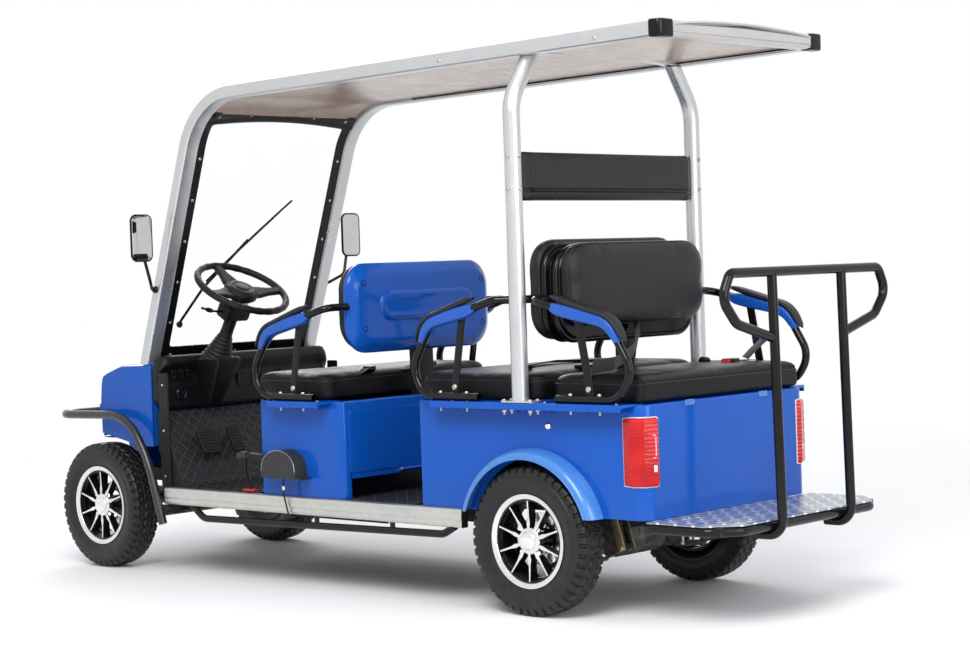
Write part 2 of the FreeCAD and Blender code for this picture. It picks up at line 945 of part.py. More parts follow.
def wheel_flare():
    """A curled lip round the rear arch, standing out over the tyre."""
    r = arch_radius
    band = flare_band
    wall = flare_wall
    shoulder = r + band * flare_shoulder_share
    middle = flare_out * flare_middle_share
    ring = faceted_ring([
        (r + band, -panel_wall), (shoulder, middle), (r + wall / 2, flare_out),
        (r, flare_out - wall / 2), (shoulder - wall, middle - wall / 2), (r + band - 2 * wall, -panel_wall),
    ], vec(body_half_width, 0, axle_height), arch_sides)
    reach = 2 * (r + band)
    return ring.cut(block(vec(0, -reach, -reach), vec(2 * body_half_width, reach, body_bottom)))


def rear_body():
    """An open-bottomed shell with arches, flares, a seat deck and side shelves."""
    shell = body_solid(0, body_bottom, body_top)
    hollow = body_solid(panel_wall, body_bottom - overrun, body_top - panel_wall)
    shell = shell.cut(hollow)
    half = body_half_width - deck_rim
    holes = [
        (body_front_y + deck_rim, deck_beam_y - deck_beam_width / 2),
        (deck_beam_y + deck_beam_width / 2, body_rear_y - deck_rim),
    ]
    for y_low, y_high in holes:
        hole = plan_shape([(-half, y_low), (half, y_low), (half, y_high), (-half, y_high)],
                          body_top - overrun, body_top + overrun, deck_hole_corner)
        shell = shell.cut(hole)
    arch = faceted_drum(arch_radius, -2 * body_half_width, 2 * body_half_width, vec(0, 0, axle_height),
                        arch_sides)
    shelf = side_shelf(body_flange_front_y, body_flange_rear_y, body_top)
    return joined([shell.cut(arch)] + pair(shelf) + pair(wheel_flare()))


def wheel_liner():
    """The black inner arch over a rear wheel, closed on its inner side."""
    outer_x = body_half_width - panel_wall - seating_gap
    inner_x = outer_x - liner_depth
    centre = vec(0, 0, axle_height)
    outer = faceted_drum(arch_radius + liner_wall, inner_x - liner_wall, outer_x, centre, arch_sides)
    inner = faceted_drum(arch_radius, inner_x, outer_x + overrun, centre, arch_sides)
    reach = 2 * arch_radius
    low = block(vec(0, -reach, -reach), vec(2 * body_half_width, reach, body_bottom))
    return outer.cut(inner).cut(low)


# Cushions and backrests

def cushion(front_y, rear_y, low, high, corners):
    """A seat cushion with round corners in plan and a bevelled top edge."""
    half = cushion_half_width
    solid = plan_shape([(-half, front_y), (half, front_y), (half, rear_y), (-half, rear_y)],
                       low, high, corners)
    rim = [edge for edge in solid.Edges if edge.BoundBox.ZMin > (low + high) / 2]
    return bevelled(solid, cushion_edge, rim)


def rounded_panel(half_width, low, high, corner, y_low, y_high):
    """An upright panel with round corners."""
    return front_shape([(-half_width, low), (half_width, low), (half_width, high), (-half_width, high)],
                       y_low, y_high, corner)


def front_backrest_shell():
    """The moulded back shell: a wide bevel round it and a long raised boss."""
    rear = seat_box_rear_y
    shell = rounded_panel(backrest_half_width, front_back_bottom, front_back_top, front_back_corner,
                          front_shell_front_y, rear)
    rim = [edge for edge in shell.Edges if edge.BoundBox.YMin > (front_shell_front_y + rear) / 2]
    shell = bevelled(shell, shell_bevel, rim)
    boss = rounded_panel(boss_half_length, boss_middle_z - boss_half_height,
                         boss_middle_z + boss_half_height, boss_half_height - loose_gap,
                         rear, rear + boss_out)
    lip = [edge for edge in boss.Edges if edge.BoundBox.YMin > rear + boss_out / 2]
    return joined([shell, bevelled(boss, boss_bevel, lip)])


def front_backrest_pad():
    rear = front_shell_front_y - seating_gap
    pad = rounded_panel(backrest_half_width, front_back_bottom + front_pad_lift, front_back_top,
                        front_back_corner, front_pad_front_y, rear)
    rim = [edge for edge in pad.Edges if edge.BoundBox.YMax < (front_pad_front_y + rear) / 2]
    return bevelled(pad, pad_edge, rim)


def middle_backrest():
    pad = rounded_panel(rear_pad_half_width, rear_pad_bottom, rear_pad_top, rear_pad_corner,
                        middle_pad_front_y, middle_pad_rear_y)
    rim = [edge for edge in pad.Edges if edge.BoundBox.YMax < (middle_pad_front_y + middle_pad_rear_y) / 2]
    return bevelled(pad, pad_edge, rim)


def rear_backrest():
    pad = rounded_panel(rear_pad_half_width - rear_pad_inset, rear_pad_bottom + rear_pad_lift,
                        rear_pad_top - rear_pad_inset, rear_pad_corner, rear_pad_front_y, rear_pad_rear_y)
    rim = [edge for edge in pad.Edges if edge.BoundBox.YMin > (rear_pad_front_y + rear_pad_rear_y) / 2]
    return bevelled(pad, pad_edge, rim)


def backrest_core_rear_y():
    return rear_pad_front_y - seating_gap


def backrest_frames():
    """The shared back shell between the two pads, on its foot plate."""
    front = middle_pad_rear_y + seating_gap
    core = rounded_panel(rear_pad_half_width - core_inset, rear_pad_bottom + core_lift,
                         rear_pad_top - core_inset, rear_pad_corner, front, backrest_core_rear_y())
    foot = block(vec(-bracket_half_width, deck_beam_y - bracket_wall / 2, body_top),
                 vec(bracket_half_width, deck_beam_y + bracket_wall / 2, rear_pad_bottom + overrun))
    return joined([core, foot])


def front_back_bracket():
    """The post between the front seat box and its backrest."""
    rear = seat_box_rear_y - bracket_setback
    head = rear - bracket_head_run
    return side_shape([
        (rear - bracket_foot_run, seat_box_top), (rear, seat_box_top), (rear, front_back_bottom),
        (head, front_back_bottom), (head, front_back_bottom - bracket_knee_drop),
    ], -bracket_half_width, bracket_half_width)


# Armrests

def arm_line(inner_y, facing, level, reach_share, rise_share):
    """Middle line of an armrest's tube as (y, z): foot, heel, knee and head."""
    def at(run, rise):
        return (inner_y + facing * run * reach_share, level + rise * rise_share)
    return [at(0, 0), at(arm_heel_run, 0), at(arm_knee_run, arm_knee_rise), at(arm_head_run, arm_head_rise)]


def between(start, end, share):
    return tuple(a + (b - a) * share for a, b in zip(start, end))


def arm_pad(knee, head, wrist, facing):
    """The padded grip along the top of the tube, its lower side on the tube's flats."""
    start = between(knee, head, arm_pad_start_share)
    end = between(head, wrist, arm_pad_end_share)
    corners = [vec(0, y, z) for y, z in (start, head, end)]
    line = [(point.y, point.z)
            for point in rounded_line(corners, [0, arm_head_radius, 0], False, tube_turn)]
    near = facing * (arm_tube_diameter / 2 + seating_gap)
    far = near + facing * arm_pad_depth
    lower = offset_line(line, near)
    upper = offset_line(line, far)
    last = math.hypot(upper[-1][0] - upper[-2][0], upper[-1][1] - upper[-2][1])
    upper[-1] = between(upper[-1], upper[-2], arm_pad_tip / last)
    return side_shape(lower + upper[::-1], arm_x - arm_pad_width / 2, arm_x + arm_pad_width / 2)


def armrest(line, wrist, end_points, facing, level):
    """The bent tube from the shelf to the backrest, its flat bar, and the pad."""
    (foot, heel, knee, head) = line
    points = [vec(arm_x, y, z) for y, z in (foot, heel, knee, head)]
    points.append(vec(arm_x, wrist[0], wrist[1]))
    points += end_points
    radii = [0, arm_heel_radius, arm_heel_radius, arm_head_radius]
    radii += [arm_wrist_radius] * len(end_points) + [0]
    bar_foot = foot[0] + facing * flat_bar_foot_run
    bar_head = foot[0] + facing * flat_bar_head_run
    share = (bar_head - head[0]) / (wrist[0] - head[0])
    head_z = between(head, wrist, share)[1]
    half = flat_bar_width / 2
    bar_x = arm_x - arm_tube_diameter / 2
    base = level - arm_tube_diameter / 2
    bar = side_shape([(bar_foot - half, base), (bar_foot + half, base), (bar_head + half, head_z),
                      (bar_head - half, head_z)], bar_x - flat_bar_wall, bar_x)
    frame = joined([tube(points, radii, arm_tube_diameter, arm_sides), bar])
    return frame, arm_pad(knee, head, wrist, facing)


def front_armrest():
    """Its tube ends against the front back shell's side."""
    level = seat_box_top + flange_wall + arm_tube_diameter / 2
    line = arm_line(front_arm_y, -1, level, front_arm_reach_share, front_arm_rise_share)
    wrist = (front_arm_y - front_arm_wrist_run, level + arm_wrist_rise)
    ends = [vec(backrest_half_width + seating_gap, wrist[0], wrist[1])]
    return armrest(line, wrist, ends, -1, level)


def middle_armrest():
    """Its tube passes inside the roof post and ends against the middle backrest's side."""
    level = body_top + flange_wall + arm_tube_diameter / 2
    line = arm_line(middle_arm_y, -1, level, 1, 1)
    wrist = (middle_arm_y - middle_arm_wrist_run, level + arm_wrist_rise)
    ends = [vec(middle_arm_elbow_x, middle_arm_end_y, wrist[1]),
            vec(rear_pad_half_width + seating_gap, middle_arm_end_y, wrist[1])]
    return armrest(line, wrist, ends, -1, level)


def rear_armrest():
    """Its tube ends against the shared back shell's side."""
    level = body_top + flange_wall + arm_tube_diameter / 2
    line = arm_line(rear_arm_y, 1, level, rear_arm_reach_share, 1)
    wrist = (rear_arm_y + rear_arm_wrist_run, level + arm_wrist_rise)
    ends = [vec(rear_pad_half_width - core_inset + seating_gap, wrist[0], wrist[1])]
    return armrest(line, wrist, ends, 1, level)


# Roof

def roof_line():
    return [(pillar_foot_y, pillar_foot_z), (roof_knee_y, roof_knee_z), (roof_rear_y, roof_rear_z)]


def roof_bend(radius, drop):
    """The roof's side line, dropped below the outer line, with its knee in flat steps."""
    corners = [vec(0, y, z) for y, z in offset_line(roof_line(), drop)]
    line = rounded_line(corners, [0, radius, 0], False, panel_turn / 2)
    return [(point.y, point.z) for point in line]


def roof_side():
    """One bent profile: windshield pillar and roof rail in a single run."""
    outer = roof_bend(roof_bend_radius, 0)
    inner = offset_line(outer, rail_section_depth)
    foot_share = (inner[0][1] - pillar_foot_z) / (inner[1][1] - inner[0][1])
    inner[0] = between(inner[0], inner[1], -foot_share)
    return side_shape(outer + inner[::-1], rail_outer_x - rail_section_width, rail_outer_x)


def roof_level(y, drop):
    """Height of the line that lies the given drop below the roof rails' upper face."""
    (y0, z0), (y1, z1) = offset_line(roof_line(), drop)[1:]
    return z0 + (z1 - z0) * (y - y0) / (y1 - y0)


def roof_panel():
    """A thin crowned sheet between the rails, bent down at the front as they are."""
    line = offset_line(roof_bend(roof_bend_radius, 0), roof_panel_inset)
    line[0] = between(line[0], line[1], roof_panel_start_share)
    half = rail_outer_x - rail_section_width - seating_gap
    upper = []
    for step in range(roof_strips + 1):
        across = 2 * step / roof_strips - 1
        upper.append((half * across, roof_crown * (1 - across ** 2)))
    section = upper + [(x, rise - roof_panel_wall) for x, rise in upper[::-1]]
    lines = [(x, offset_line(line, -rise)) for x, rise in section]
    rings = [[vec(x, lifted[index][0], lifted[index][1]) for x, lifted in lines]
             for index in range(len(line))]
    return skinned(rings, False)


def roof_beam(y):
    """A cross member under the roof panel, between the rails."""
    half = rail_outer_x - rail_section_width
    front = y - roof_beam_width / 2
    rear = y + roof_beam_width / 2
    top_drop = roof_panel_inset + roof_panel_wall + seating_gap
    return side_shape([
        (front, roof_level(front, rail_section_depth)), (rear, roof_level(rear, rail_section_depth)),
        (rear, roof_level(rear, top_drop)), (front, roof_level(front, top_drop)),
    ], -half, half)


def roof_post():
    """A round post on a foot plate, bent inward at its head to meet the rail."""
    plate_low = body_top + flange_wall
    foot = plate_low + post_plate_wall
    bar = tube([
        vec(post_x, post_y, foot), vec(post_x, post_y, post_bend_z),
        vec(post_x - post_bend_in, post_y, post_bend_z + post_bend_rise),
    ], [0, post_bend_radius, 0], post_diameter, tube_sides, tube_turn / 2)
    low_front = roof_level(post_y - post_diameter, rail_section_depth)
    low_rear = roof_level(post_y + post_diameter, rail_section_depth)
    above = side_shape([
        (post_y - post_diameter, low_front), (post_y + post_diameter, low_rear),
        (post_y + post_diameter, low_rear + post_bend_rise),
        (post_y - post_diameter, low_front + post_bend_rise),
    ], 0, 2 * post_x)
    plate = block(vec(body_half_width + post_plate_inner, post_y - post_plate_length / 2, plate_low),
                  vec(body_half_width + post_plate_outer, post_y + post_plate_length / 2, foot))
    return joined([bar.cut(above), plate])


def headrest_bar():
    half = post_x - post_diameter / 2 - seating_gap
    front = post_y - headrest_depth / 2
    rear = post_y + headrest_depth / 2
    return side_shape([
        (front, headrest_bottom), (rear, headrest_bottom), (rear, headrest_top), (front, headrest_top),
    ], -half, half, [headrest_low_corner, headrest_low_corner, headrest_top_corner, headrest_top_corner],
        tube_turn)


# Windshield, wiper and mirrors

def on_screen(x, rise, depth):
    """A point of the windshield: across, up its slope and behind the pillars' front line."""
    run = roof_knee_y - pillar_foot_y
    height = roof_knee_z - pillar_foot_z
    length = math.hypot(run, height)
    along_y = run / length
    along_z = height / length
    return vec(x, pillar_foot_y + along_y * rise + along_z * depth,
               pillar_foot_z + along_z * rise - along_y * depth)


def screen_sheet(half, low, high, front, rear, radii=0):
    """A flat piece in the windshield's plane."""
    corners = [on_screen(-half, low, front), on_screen(half, low, front),
               on_screen(half, high, front), on_screen(-half, high, front)]
    return prism(corners, radii, on_screen(0, low, rear).sub(on_screen(0, low, front)), tube_turn)


def screen_extent():
    """Half width, foot and head of the windshield along its slope."""
    run = roof_knee_y - pillar_foot_y
    height = roof_knee_z - pillar_foot_z
    head = (screen_head_z - pillar_foot_z) * math.hypot(run, height) / height
    return rail_outer_x - rail_section_width - seating_gap, screen_foot_lift, head


def windshield_frame():
    half, foot, head = screen_extent()
    front = screen_setback - screen_frame_wall
    outer = screen_sheet(half, foot, head, front, screen_setback)
    inner = screen_sheet(half - screen_strip, foot + screen_strip, head - screen_head_strip,
                         front - screen_frame_wall, screen_setback + screen_frame_wall, screen_corner)
    return outer.cut(inner)


def glass_front():
    return screen_setback - screen_frame_wall - seating_gap - screen_glass_wall


def windshield_glass():
    half, foot, head = screen_extent()
    margin = screen_glass_margin
    return screen_sheet(half - margin, foot + margin, head - margin, glass_front(),
                        glass_front() + screen_glass_wall, screen_corner / 2)


def wiper():
    """The wiper's spindle, arm and blade in front of the glass."""
    face = glass_front()
    arm_depth = face - wiper_arm_out
    blade_depth = face - wiper_blade_out
    spindle = rod(on_screen(wiper_pivot_x, wiper_pivot_rise, face - seating_gap),
                  on_screen(wiper_pivot_x, wiper_pivot_rise, face - wiper_spindle_length),
                  wiper_spindle_radius, tube_sides)
    arm = tube([on_screen(wiper_pivot_x, wiper_pivot_rise, arm_depth),
                on_screen(wiper_knee_x, wiper_knee_rise, arm_depth),
                on_screen(wiper_hold_x, wiper_hold_rise, arm_depth)],
               wiper_arm_diameter, wiper_arm_diameter, 6)
    blade = tube([on_screen(wiper_knee_x, wiper_knee_rise, blade_depth),
                  on_screen(wiper_tip_x, wiper_tip_rise, blade_depth)], 0, wiper_blade_size, 4)
    return joined([spindle, arm, blade])


def mirror_set():
    """One outside mirror: its arm from the pillar and its oblong head."""
    outer_x = mirror_inner_x + mirror_width
    top = mirror_bottom + mirror_height
    rear = mirror_front_y + mirror_depth
    head = front_shape([(mirror_inner_x, mirror_bottom), (outer_x, mirror_bottom), (outer_x, top),
                        (mirror_inner_x, top)], mirror_front_y, rear, mirror_corner, tube_turn)
    middle_y_of_head = (mirror_front_y + rear) / 2
    arm = tube([
        vec(mirror_inner_x + mirror_arm_head, middle_y_of_head, mirror_bottom + mirror_arm_head),
        vec(mirror_inner_x + mirror_arm_knee_out, middle_y_of_head, mirror_arm_knee_z),
        vec(rail_outer_x + mirror_clamp_out, mirror_clamp_y, mirror_clamp_z),
        vec(rail_outer_x + seating_gap, mirror_clamp_y, mirror_clamp_z),
    ], mirror_arm_bend, mirror_arm_diameter, 6)
    return joined([head, arm])


# Cowl, dashboard and bumper

def cowl_form(inset, low):
    """The front cowl's outer form: side outline crossed with a rounded nose in plan."""
    top = cowl_top - inset
    nose = cowl_nose_y + inset
    side = side_shape([
        (cowl_rear_y, low), (cowl_rear_y, top), (cowl_break_y, top), (cowl_lip_y + inset, cowl_lip_z - inset),
        (nose, cowl_nose_z), (nose + cowl_nose_recess, low),
    ], -body_half_width - overrun, body_half_width + overrun, [0, 0, cowl_round, cowl_round, cowl_round, 0])
    half = body_half_width - inset
    corner = cowl_corner_y + inset
    rise = corner - nose
    radius = (half ** 2 + rise ** 2) / (2 * rise)
    spread = math.asin(half / radius)
    plan = [(half, cowl_rear_y), (-half, cowl_rear_y)]
    for step in range(cowl_nose_steps + 1):
        angle = spread * (2 * step / cowl_nose_steps - 1)
        plan.append((radius * math.sin(angle), nose + radius * (1 - math.cos(angle))))
    return side.common(plan_shape(plan, low, cowl_top + overrun))


def front_cowl():
    """A thin nose shell, open below and behind, with the wheel arches cut away."""
    outer = cowl_form(0, cowl_low_z)
    inner = cowl_form(panel_wall, cowl_low_z - overrun)
    inner_side = body_half_width - panel_wall
    back = block(vec(-inner_side, cowl_rear_y - 2 * panel_wall, 0),
                 vec(inner_side, cowl_rear_y + overrun, cowl_top - panel_wall))
    shell = outer.cut(inner).cut(back)
    arch = block(vec(cowl_arch_x, cowl_nose_y - overrun, 0),
                 vec(body_half_width + overrun, cowl_rear_y + overrun, cowl_arch_z))
    front = block(vec(cowl_arch_x, cowl_nose_y - overrun, 0),
                  vec(body_half_width + overrun, cowl_step_y, cowl_step_z))
    for cutter in pair(arch) + pair(front):
        shell = shell.cut(cutter)
    return shell


def column_point(distance):
    """A point on the steering column's line, measured up from its foot."""
    lean = math.radians(column_lean)
    foot = vec(steering_x, column_foot_y, column_foot_z)
    return foot + vec(0, math.sin(lean), math.cos(lean)) * distance


def dashboard():
    """The dash beam, the steering pedestal that bulges from it and the boot."""
    front = cowl_rear_y + seating_gap
    beam = side_shape([
        (front, dash_bottom), (dash_rear_y - dash_foot_run, dash_bottom),
        (dash_rear_y, dash_bottom + dash_foot_rise), (dash_rear_y, dash_top - dash_round),
        (dash_rear_y - dash_brow, dash_top), (front, cowl_top + dash_step),
    ], -body_half_width, body_half_width, [0, dash_round, 0, dash_round, dash_round, 0], tube_turn)
    inside = dash_rear_y - dash_brow
    reach = dash_rear_y + pedestal_reach
    pedestal = side_shape([
        (inside, pedestal_low_z), (dash_rear_y + pedestal_half_width, pedestal_low_z),
        (reach, pedestal_face_z), (reach, pedestal_top_z), (inside, pedestal_top_z),
    ], steering_x - pedestal_half_width, steering_x + pedestal_half_width,
        [0, pedestal_round, pedestal_round, 0, 0], tube_turn)
    heading = column_point(1).sub(column_point(0))
    wide = flat_sided(column_point(0), heading, boot_radius, boot_sides)
    narrow = flat_sided(column_point(boot_length), heading, steering_shaft_radius + boot_neck, boot_sides)
    body = joined([beam, pedestal, skinned([wide, narrow], False)])
    bore = rod(column_point(steering_shaft_start - bore_lead), column_point(boot_length + overrun),
               steering_shaft_radius + running_gap, bore_sides)
    return body.cut(bore)


def steering_wheel():
    """A round grip on three spokes, with its boss and the shaft into the boot."""
    heading = column_point(1).sub(column_point(0))
    rise = (steering_wheel_z - column_foot_z) / math.cos(math.radians(column_lean))
    centre = column_point(rise)
    wide = steering_wheel_radius + steering_grip_radius
    narrow = steering_wheel_radius - steering_grip_radius
    half = steering_grip_radius / 2
    middle = steering_wheel_radius
    grip = faceted_ring([(wide, -half), (wide, half), (middle, steering_grip_radius), (narrow, half),
                         (narrow, -half), (middle, -steering_grip_radius)], vec(0, 0, 0), steering_sides)
    grip.rotate(vec(0, 0, 0), Y_AXIS, -90)
    shapes = [grip]
    for angle in (0, 180, 90):
        spoke = Part.makeBox(narrow + half, steering_spoke_width, steering_spoke_wall,
                             vec(0, -steering_spoke_width / 2, -steering_spoke_drop))
        spoke.rotate(vec(0, 0, 0), Z_AXIS, angle)
        shapes.append(spoke)
    for shape in shapes:
        shape.rotate(vec(0, 0, 0), X_AXIS, -column_lean)
        shape.translate(centre)
    boss_low = centre - heading * steering_boss_drop
    shapes.append(rod(boss_low, boss_low + heading * steering_boss_depth, steering_boss_radius, boot_sides))
    shapes.append(rod(column_point(steering_shaft_start), boss_low + heading * bore_lead,
                      steering_shaft_radius))
    return joined(shapes)


def side_trim():
    """The dark upright strip where the cowl meets the step-in."""
    foot = sill_top + seating_gap
    return side_shape([
        (trim_front_y, foot), (trim_rear_y - trim_foot_run, foot), (trim_rear_y, trim_top - trim_shoulder),
        (trim_rear_y, trim_top), (trim_front_y, trim_top),
    ], body_half_width + seating_gap, body_half_width + trim_wall)


def bumper_bar():
    """The round guard that wraps the nose and drops behind each front wheel."""
    seat_z = rail_bottom - bumper_diameter / 2 - seating_gap
    half = [
        vec(bumper_seat_x, bumper_seat_y, seat_z), vec(bumper_toe_x, bumper_seat_y, seat_z),
        vec(bumper_x, bumper_foot_y, bumper_foot_z), vec(bumper_x, bumper_back_y, bumper_back_z),
        vec(bumper_x, bumper_shoulder_y, bumper_shoulder_z), vec(bumper_x, bumper_front_y, bumper_z),
    ]
    points = half + [vec(-point.x, point.y, point.z) for point in half[::-1]]
    bends = [0, bumper_foot_bend, bumper_foot_bend, bumper_back_bend, bumper_shoulder_bend, bumper_nose_bend]
    return tube(points, bends + bends[::-1], bumper_diameter)


# Rear step, handrail and lamps

def rear_step():
    """The chequer plate on its square-tube frame, with two holes for a hitch."""
    half = step_half_width
    outline = [
        (-half, step_front_y), (half, step_front_y), (half, step_cut_y), (step_cut_x, step_rear_y),
        (-step_cut_x, step_rear_y), (-half, step_cut_y),
    ]
    low = floor_top - step_wall
    under = low - step_tube
    shapes = [plan_shape(outline, low, floor_top)]
    inner = rail_x - step_tube / 2
    outer = rail_x + step_tube / 2
    shapes += pair(block(vec(inner, step_front_y - step_frame_reach, under),
                         vec(outer, step_rear_y - step_frame_setback, low)))
    hitch_y = step_rear_y - hitch_setback
    for y in (step_front_y + step_cross_run, hitch_y):
        shapes.append(block(vec(-inner, y, under), vec(inner, y + step_tube, low)))
    whole = joined(shapes)
    for x in (-hitch_spacing / 2, hitch_spacing / 2):
        whole = whole.cut(Part.makeCylinder(hitch_hole_radius, step_tube,
                                            vec(x, hitch_y + step_tube / 2, under)))
    return whole


def rear_handrail():
    """The grab rail: two posts and a wide rounded loop."""
    x = handrail_post_x
    low = floor_top - step_wall - step_tube - handrail_diameter / 2 - seating_gap
    top_y = handrail_y - handrail_lean
    post = tube([vec(x, handrail_y - handrail_foot_run, low), vec(x, handrail_y, low),
                 vec(x, top_y, handrail_top_z)], handrail_foot_bend, handrail_diameter)
    half = [
        vec(x, top_y, handrail_join_z), vec(handrail_low_x, top_y, handrail_low_z),
        vec(handrail_wide_x, top_y, handrail_wide_z), vec(handrail_top_x, top_y, handrail_top_z),
    ]
    points = half + [vec(-point.x, point.y, point.z) for point in half[::-1]]
    bends = [0, handrail_low_bend, handrail_bend, handrail_bend]
    return joined(pair(post) + [tube(points, bends + bends[::-1], handrail_diameter)])


def tail_lamp():
    """A lamp that wraps the rear corner of the body."""
    outer = body_solid(-lamp_out, lamp_bottom, lamp_top)
    inner = body_solid(-seating_gap, lamp_bottom - overrun, lamp_top + overrun)
    corner = block(vec(lamp_inner_x, lamp_front_y, lamp_bottom),
                   vec(body_half_width + overrun, body_rear_y + overrun, lamp_top))
    return outer.common(corner).cut(inner)


def head_lamp():
    """A round-cornered lamp set into the nose."""
    lens = rounded_panel(head_lamp_half_width, -head_lamp_half_height, head_lamp_half_height,
                         head_lamp_corner, -head_lamp_out, head_lamp_sink)
    lens.rotate(vec(0, 0, 0), Z_AXIS, -head_lamp_turn)
    lens.translate(vec(head_lamp_x, head_lamp_y, head_lamp_z))
    return lens.cut(cowl_form(-seating_gap, cowl_low_z))


# Pedals, brake and battery

def pedal(x, width, low, high):
    """A pad held off the toe board by a stem."""
    (foot_y, foot_z), (head_y, head_z) = toe_line()[1:]
    along = vec(0, head_y - foot_y, head_z - foot_z).normalize()
    away = along.cross(X_AXIS)
    if away.z < 0:
        away = away * -1
    foot = vec(x, foot_y, foot_z) + away * pedal_lift
    corners = [foot + along * low, foot + vec(width, 0, 0) + along * low,
               foot + vec(width, 0, 0) + along * high, foot + along * high]
    pad = prism(corners, 0, away * pedal_wall)
    middle = foot + vec(width / 2, 0, 0) + along * ((low + high) / 2)
    stem = rod(middle - away * (pedal_lift - seating_gap), middle, pedal_stem_radius, 6)
    return joined([pad, stem])


def pedals():
    return [pedal(accelerator_x, accelerator_width, accelerator_low, accelerator_high),
            pedal(brake_pedal_x, brake_pedal_width, brake_pedal_low, brake_pedal_high)]


def parking_brake():
    """The half-round housing on the seat box's side with its forward lever."""
    x_low = body_half_width + seating_gap
    cover = side_shape([
        (park_cover_front_y, park_cover_bottom), (park_cover_rear_y, park_cover_bottom),
        (park_cover_rear_y - park_cover_head_run, park_cover_top),
        (park_cover_front_y + park_cover_foot_run, park_cover_top),
    ], x_low, body_half_width + park_cover_out, [0, 0, park_cover_round, park_cover_round])
    lever = side_shape([
        (park_lever_root_y, park_lever_low_z), (park_lever_root_y, park_lever_high_z),
        (park_lever_knee_y, park_lever_knee_z), (park_lever_tip_y, park_lever_tip_z),
        (park_lever_knee_y, park_lever_under_z),
    ], x_low + park_lever_inner, x_low + park_lever_outer)
    return joined([cover, lever])


def brake_cable():
    """The parking brake's cable, down over the sill and back under it."""
    outside = body_half_width + sill_width + cable_out
    middle = body_half_width + sill_width / 2
    reach = cable_diameter / 2 / math.cos(math.pi / cable_sides)
    under = sill_bottom - reach - seating_gap
    return tube([
        vec(outside, cable_start_y, park_cover_bottom - seating_gap),
        vec(outside, cable_start_y, park_cover_bottom - cable_drop),
        vec(outside, cable_sill_y, sill_bottom - cable_hang),
        vec(middle, cable_turn_y, under), vec(middle, cable_end_y, under),
    ], [0, cable_bend, cable_bend, cable_bend, 0], cable_diameter, cable_sides)


def battery_block():
    """The battery pack inside the front seat box."""
    return block(vec(-battery_half_width, battery_front_y, floor_top + seating_gap),
                 vec(battery_half_width, battery_rear_y, battery_top))


# Wheels, axles and springs

def tyre(x, y):
    """A tyre of the right outer size, its bead resting on the rim."""
    half = tyre_width / 2
    bead = rim_lip_radius + bead_gap
    side = [(bead, bead_half_width), (tyre_bulge_radius, half), (tyre_radius, half - tread_inset)]
    points = [(rim_seat_radius, -bead_half_width), (rim_seat_radius, bead_half_width)] + side
    points += [(radius, -along) for radius, along in side[::-1]]
    return faceted_ring(points, vec(x, y, axle_height), wheel_sides)


def rim(side, y):
    """A ten-spoke rim with its hub, brake disc and running bore."""
    seat = rim_seat_radius - seating_gap
    inner = seat - rim_wall
    edge = rim_half_width
    lip = bead_half_width + seating_gap
    middle = vec(0, 0, 0)
    barrel = faceted_ring([
        (inner, -edge), (rim_lip_radius, -edge), (seat, -lip), (seat, lip), (rim_lip_radius, edge),
        (inner, edge),
    ], middle, wheel_sides)
    shapes = [
        barrel,
        faceted_drum(hub_radius, hub_inner, hub_outer, middle, hub_sides),
        faceted_drum(nose_radius, hub_outer, nose_outer, middle, hub_sides),
        faceted_drum(carrier_radius, -carrier_inner, hub_inner, middle, hub_sides),
        faceted_drum(disc_radius, -disc_inner, -disc_outer, middle, disc_sides),
    ]
    for index in range(spoke_count // 2):
        spoke = block(vec(spoke_inner, -spoke_width / 2, -inner - rim_wall / 2),
                      vec(spoke_inner + spoke_depth, spoke_width / 2, inner + rim_wall / 2))
        spoke.rotate(middle, X_AXIS, 360.0 / spoke_count * index)
        shapes.append(spoke)
    whole = joined(shapes)
    whole = whole.cut(rod(vec(-carrier_inner, 0, 0), vec(carrier_inner, 0, 0), spindle_radius + running_gap,
                          bore_sides))
    if side < 0:
        whole = mirrored(whole)
    whole.translate(vec(side * half_track, y, axle_height))
    return whole


def knuckle(side):
    """A fork round the axle eye with its kingpin, spindle and steering arm."""
    y = front_axle_y
    z = axle_height
    half = axle_eye_height / 2 + seating_gap
    end = half + fork_wall
    king = rod(vec(kingpin_x, y, z - end), vec(kingpin_x, y, z + end), kingpin_radius)
    web_x = kingpin_x + axle_eye_radius + fork_clearance
    web_end = web_x + fork_web
    cheek = block(vec(kingpin_x - steering_arm_width / 2, y - axle_eye_radius, z + half),
                  vec(web_end, y + axle_eye_radius, z + end))
    low_cheek = block(vec(kingpin_x - steering_arm_width / 2, y - axle_eye_radius, z - end),
                      vec(web_end, y + axle_eye_radius, z - half))
    web = block(vec(web_x, y - axle_eye_radius, z - end), vec(web_end, y + axle_eye_radius, z + end))
    spindle = rod(vec(web_end, y, z), vec(half_track + spindle_reach, y, z), spindle_radius)
    arm = block(vec(kingpin_x - steering_arm_width / 2, y, z - end),
                vec(kingpin_x + steering_arm_width / 2, y + steering_arm + steering_arm_width / 2, z - half))
    tie_pin = rod(vec(kingpin_x, y + steering_arm, z - end - tie_pin_length),
                  vec(kingpin_x, y + steering_arm, z - end), tie_pin_radius)
    whole = joined([king, cheek, low_cheek, web, spindle, arm, tie_pin])
    return whole if side > 0 else mirrored(whole)


